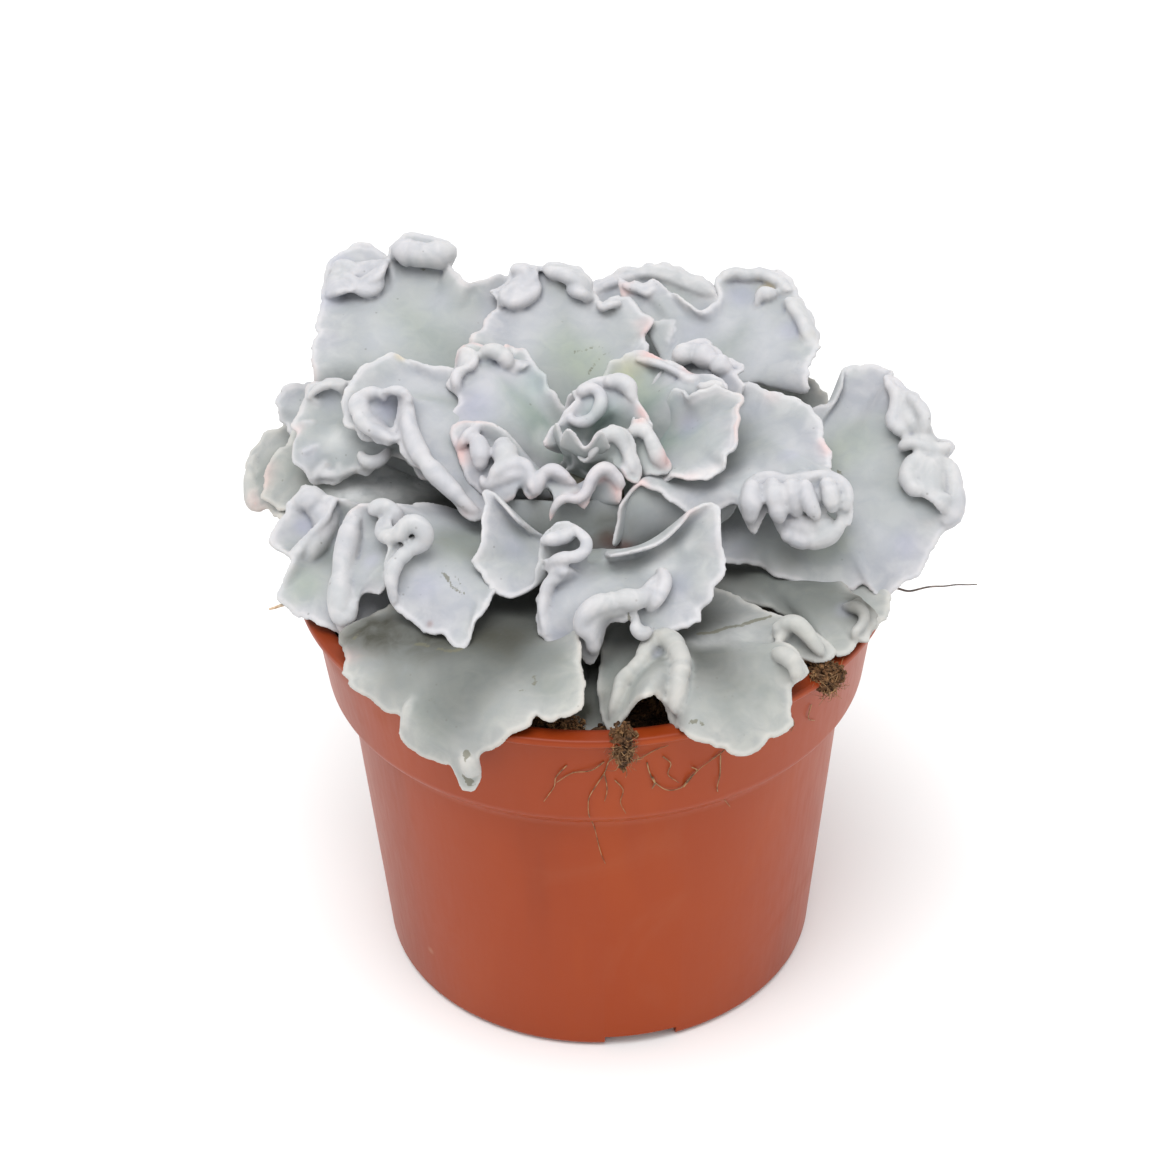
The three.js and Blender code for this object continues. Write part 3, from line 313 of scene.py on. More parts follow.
def leafMaterial(name, look):
    wax, share = leafWax, leafShares
    material, tree, shader = newMaterial(name, wax['roughness'], leafSockets)
    rim, reach, under, crease, scar = [
        mark(tree, label) for label in ('rim', 'reach', 'under', 'crease', 'scar')]
    broad, fine = grain(tree, wax['broad'], 2), grain(tree, wax['mottle'], 4, 0.6)

    def span(value, label):
        return grade(tree, value, *leafSpans[label])

    colour = blend(tree, span(broad, 'body'), rgb(*look['deep']), rgb(*look['body']))
    # towards the stem the heart colour: greener on the upper leaves, and on the low leaves near-black painted
    # shade
    outward = grade(tree, plus(tree, rim, times(tree, reach, share['reach'])), *look['heartSpan'])
    colour = lay(tree, colour, look['heart'], share['heart'], less(tree, 1.0, outward))
    # painted shade: the lavender-grey tone in broad patches towards the margin
    colour = lay(tree, colour, look['hollowShade'], share['hollowShade'], span(rim, 'rimShade'),
                 span(broad, 'rimShadePatch'))
    ragged = plus(tree, rim, times(tree, less(tree, fine, 0.5), share['ragged']))
    colour = lay(tree, colour, look['rim'], share['rim'], span(ragged, 'rim'))
    # painted highlight: the rim colour over the ridges, where the skin bulges out
    colour = lay(tree, colour, look['rim'], share['ridgeHighlight'], span(times(tree, crease, -1.0), 'ridgeHighlight'))
    # painted shade in the creases: the lavender-grey tone where the skin sits in a hollow
    colour = lay(tree, colour, look['hollowShade'], share['creaseShade'], span(crease, 'creaseShade'))
    colour = lay(tree, colour, look['blush'], look['blushShare'], span(rim, 'blushRim'),
                 span(grain(tree, wax['blushPatch'], 1), 'blushPatch'), span(crease, 'blushRidge'))
    colour = lay(tree, colour, look['deep'], share['under'], under)
    # the patches' colour and cover: the leaf's own colours, painted shade and painted light
    tint = plug(tree, 'ShaderNodeAttribute', attribute_name='tint')
    brushed = times(tree, tint.outputs['Alpha'], plus(tree, fine, 0.5))
    colour = blend(tree, brushed, colour, tint.outputs['Color'])
    tear = less(tree, grain(tree, wax['tear'], 4, 0.8), 0.5)
    torn = plus(tree, scar, times(tree, tear, share['tear']))
    colour = lay(tree, colour, wax['scar'], share['scar'], span(torn, 'torn'), span(scar, 'scar'))
    cloud = ramp(tree, fine, (0.3, (0.93, 0.94, 0.95)), (0.7, (1.04, 1.03, 1.02)))
    colour = blend(tree, 1.0, colour, cloud, 'MULTIPLY')
    colour = lay(tree, colour, wax['speckTone'], share['speck'],
                 cellDots(tree, objectPlace(tree), wax['speck'], leafSpans['dot']),
                 span(grain(tree, wax['speckPatch'], 1), 'speckPatch'))
    tree.links.new(colour, shader.inputs['Base Color'])
    rough = plus(tree, times(tree, fine, wax['roughShare']), wax['roughness'] - 0.06)
    tree.links.new(rough, shader.inputs['Roughness'])
    powder = times(tree, grain(tree, wax['bloomBump'], 3), wax['bloomShare'])
    relief = plus(tree, powder, grain(tree, wax['waveBump'], 2, 0.4))
    bump(tree, shader, relief, wax['bumpStrength'], wax['bumpDepth'])
    return material


stemCentre = np.array([0, 3, 0])
stemProfile = [(9, 60), (8.5, 95), (6.5, 106), (3.5, 114)]    # radius, height
# Thickness at the stem and at the rim, neck and curl sizes, then how the rim tears and waves.
blade = dict(base=2.1, edge=0.8, curlBead=0.3, beadStart=0.82, uneven=0.08, neck=9, rootDepth=0.5,
             curlRadius=1.6, pinch=0.22, pinchSize=6.0, spread=1.8, smoothSpan=0.035, smoothTaps=8,
             nearHandle=0.4, farHandle=0.34, foldStart=0.35, foldSwing=(1.6, 0.6), column=1.05,
             fewest=34, most=118, rollClear=(4, 9), teeth=((4.6, 1.2), (1.5, 0.6)), teethStart=0.86,
             waveTurns=(7, 12, 19), undulate=0.4, heartRuffle=0.5)
bodyRows = [0, 0.07, 0.15, 0.24, 0.34, 0.44, 0.54, 0.63, 0.71, 0.785, 0.85, 0.905, 0.955, 1.0]
curlRows = [1.17, 1.34, 1.5, 1.67, 1.84, 2.0]
plainRows = [1.5, 2.0]


def leafFrame(leaf):    # stations with their places along the margin, and the midrib's three points
    turn = math.radians(leaf['facing'])
    outward = np.array([math.cos(turn), math.sin(turn), 0])
    sideways = np.array([-math.sin(turn), math.cos(turn), 0])
    root = stemCentre + np.array([0, 0, leaf['root']], float)
    root = root + outward * (radiusAt(stemProfile, leaf['root']) - blade['rootDepth'])
    heart = np.array(leaf['heart'], float)
    halfNeck = leaf.get('neck', blade['neck']) / 2
    rows = [(*(root - sideways * halfNeck), 0, 0)]
    rows += [tuple(station) + (0,) * (5 - len(station)) for station in leaf['margin']]
    rows.append((*(root + sideways * halfNeck), 0, 0))
    stations = np.array(rows, float)
    gaps = np.linalg.norm(np.diff(stations[:, :3], axis=0), axis=1)
    u = np.concatenate([[0], np.cumsum(gaps ** 0.8)])
    u /= u[-1]
    reach = np.linalg.norm(stations[:, :3] - root, axis=1)
    tip = u[leaf['tip'] + 1 if 'tip' in leaf else int(np.argmax(reach))]
    span = heart - root
    length = np.linalg.norm(span)
    heading = unit(np.array([span[0], span[1], 0]) + outward * length)
    climb = math.radians(leaf['rise'])
    rising = math.cos(climb) * heading + math.sin(climb) * np.array([0, 0, 1])
    rollPoints = [point[:3] for route in leaf.get('rolls', []) for point in route]
    return dict(stations=stations, u=u, tip=tip, root=root, knee=root + 0.5 * length * rising,
                heart=heart, run=gaps.sum(), rolls=np.array(rollPoints, float).reshape(-1, 3))


def smoothedMargin(shape, q):    # the blade's body follows the margin only roughly
    def margin(at):
        return hermite(shape['stations'], shape['u'], at)
    ends = margin(np.array([0.0, 1.0]))
    total, weights, taps = 0, 0, blade['smoothTaps']
    for tap in range(-taps, taps + 1):
        offset = 3 * tap / taps
        at = q + offset * blade['smoothSpan']
        value = margin(np.abs(np.where(at > 1, 2 - at, at)))
        value = np.where((at < 0)[:, None], 2 * ends[0] - value, value)
        value = np.where((at > 1)[:, None], 2 * ends[1] - value, value)
        weight = math.exp(-offset * offset / 2)
        total, weights = total + value * weight, weights + weight
    return total / weights, margin(q)


def leafSurface(leaf, shape, q, rows):    # middle surface: columns round the margin, rows outwards
    away = np.where(q < shape['tip'], (shape['tip'] - q) / shape['tip'],
                    (q - shape['tip']) / (1 - shape['tip']))
    along = (1 - away ** leaf.get('spread', blade['spread']))[:, None]
    root, knee, heart = shape['root'], shape['knee'], shape['heart']
    start = (1 - along) ** 2 * root + 2 * along * (1 - along) * knee + along ** 2 * heart
    forward = unit((1 - along) * (knee - root) + along * (heart - knee))
    normal = np.cross(forward, unit(np.cross([0, 0, 1], forward)))
    body, true = smoothedMargin(shape, q)
    end = body[:, :3]
    fold = true[:, :3] - end + edgeWaves(leaf, q, away, normal)
    rib = end - start
    length = np.linalg.norm(rib, axis=1, keepdims=True)
    flat = unit(rib - (rib * normal).sum(1, keepdims=True) * normal)
    near = start + blade['nearHandle'] * length * flat
    level = unit(end - near)
    raised = unit(normal - (normal * level).sum(1, keepdims=True) * level)
    lip = np.radians(body[:, 3])[:, None]
    lipOut = level * np.cos(lip) + raised * np.sin(lip)
    lipUp = -level * np.sin(lip) + raised * np.cos(lip)
    far = end - blade['farHandle'] * length * lipOut
    curlAll = (np.radians(np.maximum(body[:, 4], 0)) * freeOfRolls(shape, true[:, :3]))[:, None]
    radius = blade['curlRadius'] * (
        1 + blade['pinch'] * softNoise(end, blade['pinchSize'], leaf['seed'])[:, None])
    foldStart, (swing, settle) = blade['foldStart'], blade['foldSwing']
    layers = []
    for t in rows:
        s = min(t, 1)
        place = ((1 - s) ** 3 * start + 3 * s * (1 - s) ** 2 * near + 3 * s * s * (1 - s) * far
                 + s ** 3 * end)
        edge = min(max((s - foldStart) / (1 - foldStart), 0), 1)
        place = place + fold * edge ** 2 * (swing - settle * edge)
        if t > 1:
            curl = curlAll * (t - 1)
            turned = np.maximum(curl, 0.05)
            arc = np.maximum(radius * curl, 0.5 * (t - 1)) / turned
            place = place + lipOut * arc * np.sin(turned) + lipUp * arc * (1 - np.cos(turned))
        layers.append(place)
    grid = np.stack(layers, 1)
    teeth = leaf.get('ruffle', 1) * marginTeeth(shape, q, leaf['seed'])[:, None, None]
    weight = smoothStep(blade['teethStart'], 1.0, np.minimum(rows, 1))[None, :, None]
    return grid + teeth * weight * lipOut[:, None] * (length[:, None] > 3), along[:, 0]


def freeOfRolls(shape, margin):    # 0 beside a roll, 1 away from all of them
    if not len(shape['rolls']):
        return np.ones(len(margin))
    gap = np.linalg.norm(margin[:, None] - shape['rolls'][None], axis=2).min(1)
    return smoothStep(*blade['rollClear'], gap)


def edgeWaves(leaf, q, away, normal):
    phase = np.random.default_rng(leaf['seed']).uniform(0, fullTurn, 3)
    fade = np.clip((1 - away) * 3, 0, 1)
    wave = sum(math.sqrt(blade['waveTurns'][0] / turns) * np.sin(fullTurn * turns * q + shift)
               for turns, shift in zip(blade['waveTurns'], phase))
    return (blade['undulate'] * leaf.get('ruffle', 1) * wave * fade)[:, None] * normal


def marginTeeth(shape, q, seed):    # small uneven points along the margin
    return sum(size * (np.abs(lineNoise(q * shape['run'] / step, seed)) - 0.3)
               for step, size in blade['teeth'])


def leafMesh(leaf):
    shape = leafFrame(leaf)
    half = int(np.clip(shape['run'] / 2 / blade['column'], blade['fewest'], blade['most']))
    away = np.linspace(1, 0, half)
    q = np.concatenate([shape['tip'] * (1 - away),
                        shape['tip'] + (1 - shape['tip']) * away[::-1][1:]])
    curled = any(len(station) > 4 and station[4] > 0 for station in leaf['margin'])
    rows = np.array(bodyRows + (curlRows if curled else plainRows))
    grid, along = leafSurface(leaf, shape, q, rows)
    columns, depth = grid.shape[:2]
    curls = hermite(shape['stations'], shape['u'], q)[:, 4]
    index = np.arange(columns * depth).reshape(columns, depth)
    index[:, 0] = index[np.minimum(np.arange(columns), columns - 1 - np.arange(columns)), 0]
    flat = grid.reshape(-1, 3)
    quads = np.stack([index[:-1, :-1], index[:-1, 1:], index[1:, 1:], index[1:, :-1]], -1).reshape(-1, 4)
    level = np.tile(np.minimum(rows, 1), columns)
    bead = blade['curlBead'] * np.clip(curls / 60, 0, 1)
    thick = blade['base'] + (blade['edge'] - blade['base']) * level
    thick = thick + np.repeat(bead, depth) * smoothStep(blade['beadStart'], 1.0, level)
    thick = thick * (1 + blade['uneven'] * softNoise(flat, 5.0, leaf['seed'] + 7))
    offset = outwardOf(flat, quads) * thick[:, None] / 2
    rim = index[:, -1]
    outward = unit(flat[rim] - flat[index[:, -2]])
    caps = [flat[rim] + offset[rim] * math.cos(a)
            + outward * (thick[rim] / 2 * math.sin(a))[:, None] for a in np.radians([36, 72, 108, 144])]
    total = len(flat)
    points = np.concatenate([flat + offset, flat - offset, *caps])
    top, bottom = index, index + total
    capIndex = [2 * total + k * columns + np.arange(columns) for k in range(len(caps))]
    around = [top[:, -1], *capIndex, bottom[:, -1]]
    faces = [quads, (quads + total)[:, ::-1]]
    for a, b in zip(around[:-1], around[1:]):
        faces.append(np.stack([a[:-1], b[:-1], b[1:], a[1:]], -1))
    ends = ((0, -1), (columns - 1, 1))    # the two sides of the neck, and which way their faces look
    for column, order in ends:
        strip = [top[column, :-1], top[column, 1:], bottom[column, 1:], bottom[column, :-1]]
        faces.append(np.stack(strip, -1)[:, ::order])
    faceList = np.concatenate(faces).tolist()
    for column, order in ends:
        faceList.append([int(ring[column]) for ring in around][::order])
    rimMark = np.concatenate([np.tile(rows, columns)] * 2 + [np.full(columns, rows[-1])] * len(caps))
    reachMark = np.concatenate([np.repeat(along, depth)] * 2 + [along] * len(caps))
    underMark = np.concatenate([np.zeros(total), np.ones(total)]
                               + [np.full(columns, k / 5) for k in range(1, 5)])
    return compact(points, faceList, dict(rim=rimMark, reach=reachMark, under=underMark))


def compact(points, faces, marks):    # leave out points that no face uses
    used = np.unique(np.concatenate([np.array(face) for face in faces]))
    place = np.full(len(points), -1)
    place[used] = np.arange(len(used))
    faces = [tuple(int(place[i]) for i in face) for face in faces]
    return points[used], faces, {label: values[used] for label, values in marks.items()}


roll = dict(step=0.45, sides=14, crease=0.2, creaseEvery=4.0, creaseSharp=3.5, swell=0.16, swellEvery=6)
web = dict(step=0.7, rows=8, rise=0.42, most=3.4, thick=1.1, towards=np.array([0, -0.82, 0.57]))
skin = dict(voxel=0.42, heartVoxel=0.34, soften=3, markPasses=5, markKeep=0.4, creaseSpan=12)


def rollParts(route, seed):    # a rolled-up stretch of margin: round ends, pinched crosswise
    line, run = evenRoute(route, roll['step'], 12)
    centre, sides = line[:, :3], roll['sides']
    at = run / roll['creaseEvery']
    crease = np.clip(1 - roll['creaseSharp'] * np.abs(lineNoise(at, seed)), 0, 1)
    swell = 1 + roll['swell'] * lineNoise(at * roll['creaseEvery'] / roll['swellEvery'], seed, 40)
    toEnd = np.clip(np.minimum(run, run[-1] - run) / line[:, 3].mean(), 0.02, 1)
    size = line[:, 3] * swell * (1 - roll['crease'] * crease) * np.sqrt(1 - (1 - toEnd) ** 2)
    ahead = unit(np.gradient(centre, axis=0))
    side = unit(np.cross(ahead[0], slantWay))
    rings, turns = [], roundTurns(sides)[:, None]
    for place, way, radius in zip(centre, ahead, size):
        side = unit(side - (side @ way) * way)
        other = np.cross(way, side)
        rings.append(place + radius * (np.cos(turns) * side + np.sin(turns) * other))
    return np.concatenate(rings), tubeFaces(len(line), sides)


def softSkin(points, faces, marks, voxel):    # one soft closed skin over the blade and its rolls
    mesh = bpy.data.meshes.new('rough')
    mesh.from_pydata((points * mm).tolist(), [], faces)
    rough = linked('rough', mesh)
    wrap = rough.modifiers.new('wrap', 'REMESH')
    wrap.mode, wrap.voxel_size = 'VOXEL', voxel * mm
    soften = rough.modifiers.new('soften', 'SMOOTH')
    soften.factor, soften.iterations = 0.5, skin['soften']
    skinned = bpy.data.meshes.new_from_object(rough.evaluated_get(bpy.context.evaluated_depsgraph_get()))
    spots = np.empty(len(skinned.vertices) * 3, np.float32)
    skinned.vertices.foreach_get('co', spots)
    spots = spots.reshape(-1, 3) / mm
    quads = [tuple(polygon.vertices) for polygon in skinned.polygons]
    edges = np.empty(len(skinned.edges) * 2, np.int32)
    skinned.edges.foreach_get('vertices', edges)
    edges = edges.reshape(-1, 2)
    bpy.data.objects.remove(rough)
    bpy.data.meshes.remove(mesh)
    bpy.data.meshes.remove(skinned)
    tree = KDTree(len(points))
    for i, place in enumerate(points):
        tree.insert(place, i)
    tree.balance()
    nearest = np.array([tree.find(spot)[1] for spot in spots])
    ends, others = np.concatenate([edges, edges[:, ::-1]]).T
    degree = np.bincount(ends, minlength=len(spots))

    def neighbours(values):    # what the points beside each point have, on average
        return np.bincount(ends, values[others], len(spots)) / degree

    for label, values in marks.items():
        values = values[nearest].astype(float)
        for _ in range(skin['markPasses']):
            values = skin['markKeep'] * values + (1 - skin['markKeep']) * neighbours(values)
        marks[label] = values
    even = spots.copy()
    for _ in range(skin['creaseSpan']):
        even = np.stack([neighbours(even[:, axis]) for axis in range(3)], 1)
    marks['crease'] = ((even - spots) * outwardOf(spots, quads)).sum(1)
    return spots, quads, marks


def outwardOf(points, quads):    # the normal at each point, from the faces round it
    a, b, c, d = points[np.array(quads)].transpose(1, 0, 2)
    across = np.cross(c - a, d - b)
    total = np.zeros(points.shape)
    for corner in np.array(quads).T:
        np.add.at(total, corner, across)
    return unit(total)


def thickSheet(grid, thick):    # a grid of points as a thin closed sheet
    count, rows = grid.shape[:2]
    normal = unit(np.cross(np.gradient(grid, axis=0), np.gradient(grid, axis=1))).reshape(-1, 3)
    top = np.arange(count * rows).reshape(count, rows)
    faces = [np.stack([g[:-1, :-1], g[1:, :-1], g[1:, 1:], g[:-1, 1:]], -1).reshape(-1, 4)[:, ::way]
             for g, way in ((top, 1), (top + count * rows, -1))]
    loop = np.concatenate([top[0, :-1], top[:-1, -1], top[-1, :0:-1], top[:0:-1, 0]])
    ahead = np.roll(loop, -1)
    faces.append(np.stack([loop, ahead, ahead + count * rows, loop + count * rows], -1))
    flat, half = grid.reshape(-1, 3), normal * thick / 2
    return np.concatenate([flat + half, flat - half]), np.concatenate(faces).tolist()


def evenRoute(route, step, fewest):    # a smooth line of even steps through a route's points
    route = np.array(route, float)
    run = np.concatenate([[0], np.cumsum(np.linalg.norm(np.diff(route[:, :3], axis=0), axis=1))])
    count = max(fewest, int(run[-1] / step))
    return hermite(route, run / run[-1], np.linspace(0, 1, count)), np.linspace(0, run[-1], count)


def webParts(route, margin):    # the stretch of blade that turns over from the margin to the roll
    edge = evenRoute(route, web['step'], 8)[0][:, :3]
    brim = margin[np.linalg.norm(margin[None] - edge[:, None], axis=2).argmin(1)]
    for _ in range(3):
        brim = (brim + np.concatenate([brim[:1], brim[:-1]]) + np.concatenate([brim[1:], brim[-1:]])) / 3
    gap = np.linalg.norm(brim - edge, axis=1, keepdims=True)
    rise = np.minimum(web['rise'] * gap, web['most'])
    arch = [math.sin(math.pi * min(v + 0.12, 1)) for v in np.linspace(0, 1, web['rows'])]
    grid = np.stack([brim + (edge - brim) * v + rise * lift * web['towards']
                     for v, lift in zip(np.linspace(0, 1, web['rows']), arch)], 1)
    return thickSheet(grid, web['thick'])


def scarMark(name, points):    # 1 along an old scar, falling off to either side
    total = np.zeros(len(points))
    for route, width, strength in scars.get(name, ()):
        line = evenRoute(route, 0.3, 6)[0]
        away = np.linalg.norm(points[:, None] - line[None], axis=2).min(1)
        total = np.maximum(total, strength * (1 - smoothStep(0.3 * width, 2.2 * width, away)))
    return total


tintReach = dict(pink=1.5, straw=1.1)    # how much wider than its row says
# the two grey-green darks are painted shade and the pale grey is painted light; the rest are the leaf's own
# colours
tintAndShadeColours = dict(pink=(206, 168, 164), green=(142, 154, 134), teal=(122, 148, 142),
                   lavender=(146, 148, 167), rust=(112, 60, 48), straw=(196, 178, 134),
                   shade=(104, 108, 105), pale=(190, 192, 193), dusk=(58, 58, 50))


def tintedAndShaded(name, points, marks):    # patches of colour, painted shade and painted light laid over the leaf: linear colour and cover
    colour, cover = np.zeros((len(points), 3)), np.zeros(len(points))
    for kind, x, y, z, radius, strength in tintsAndShades.get(name, ()):
        radius = radius * tintReach.get(kind, 1)
        away = np.linalg.norm(points - np.array([x, y, z]), axis=1)
        weight = strength * (1 - smoothStep(0.1 * radius, 1.3 * radius, away))
        if kind == 'pink':    # keeps to the margin
            weight = weight * smoothStep(0.75, 1.15, marks['rim'])
        tone = np.array(rgb(*tintAndShadeColours[kind])[:3])
        colour = colour * (1 - weight)[:, None] + weight[:, None] * tone
        cover = 1 - (1 - cover) * (1 - weight)
    return dict(marks, tint=np.column_stack([colour / np.maximum(cover, 1e-6)[:, None], cover]))


def rolledLeaf(name, leaf):
    leaf = dict(leaf, rolls=rolls.get(name, []))
    voxel = skin['voxel']
    if name.startswith('heart'):
        leaf['ruffle'], voxel = blade['heartRuffle'], skin['heartVoxel']
    points, faces, marks = leafMesh(leaf)
    margin = smoothedMargin(leafFrame(leaf), np.linspace(0, 1, 240))[1][:, :3]
    parts = [(points, faces)]
    for k, route in enumerate(leaf['rolls']):
        parts.append(rollParts(route, leaf['seed'] * 10 + k))
        if k not in openRolls.get(name, ()):
            parts.append(webParts(route, margin))
    points, faces = joinParts(parts)
    added = len(points) - len(marks['rim'])
    for label, value in (('rim', 1.1), ('reach', 1.0), ('under', 0.0)):
        marks[label] = np.concatenate([marks[label], np.full(added, value)])
    points, faces, marks = softSkin(points, faces, marks, voxel)
    return points, faces, dict(tintedAndShaded(name, points, marks), scar=scarMark(name, points))


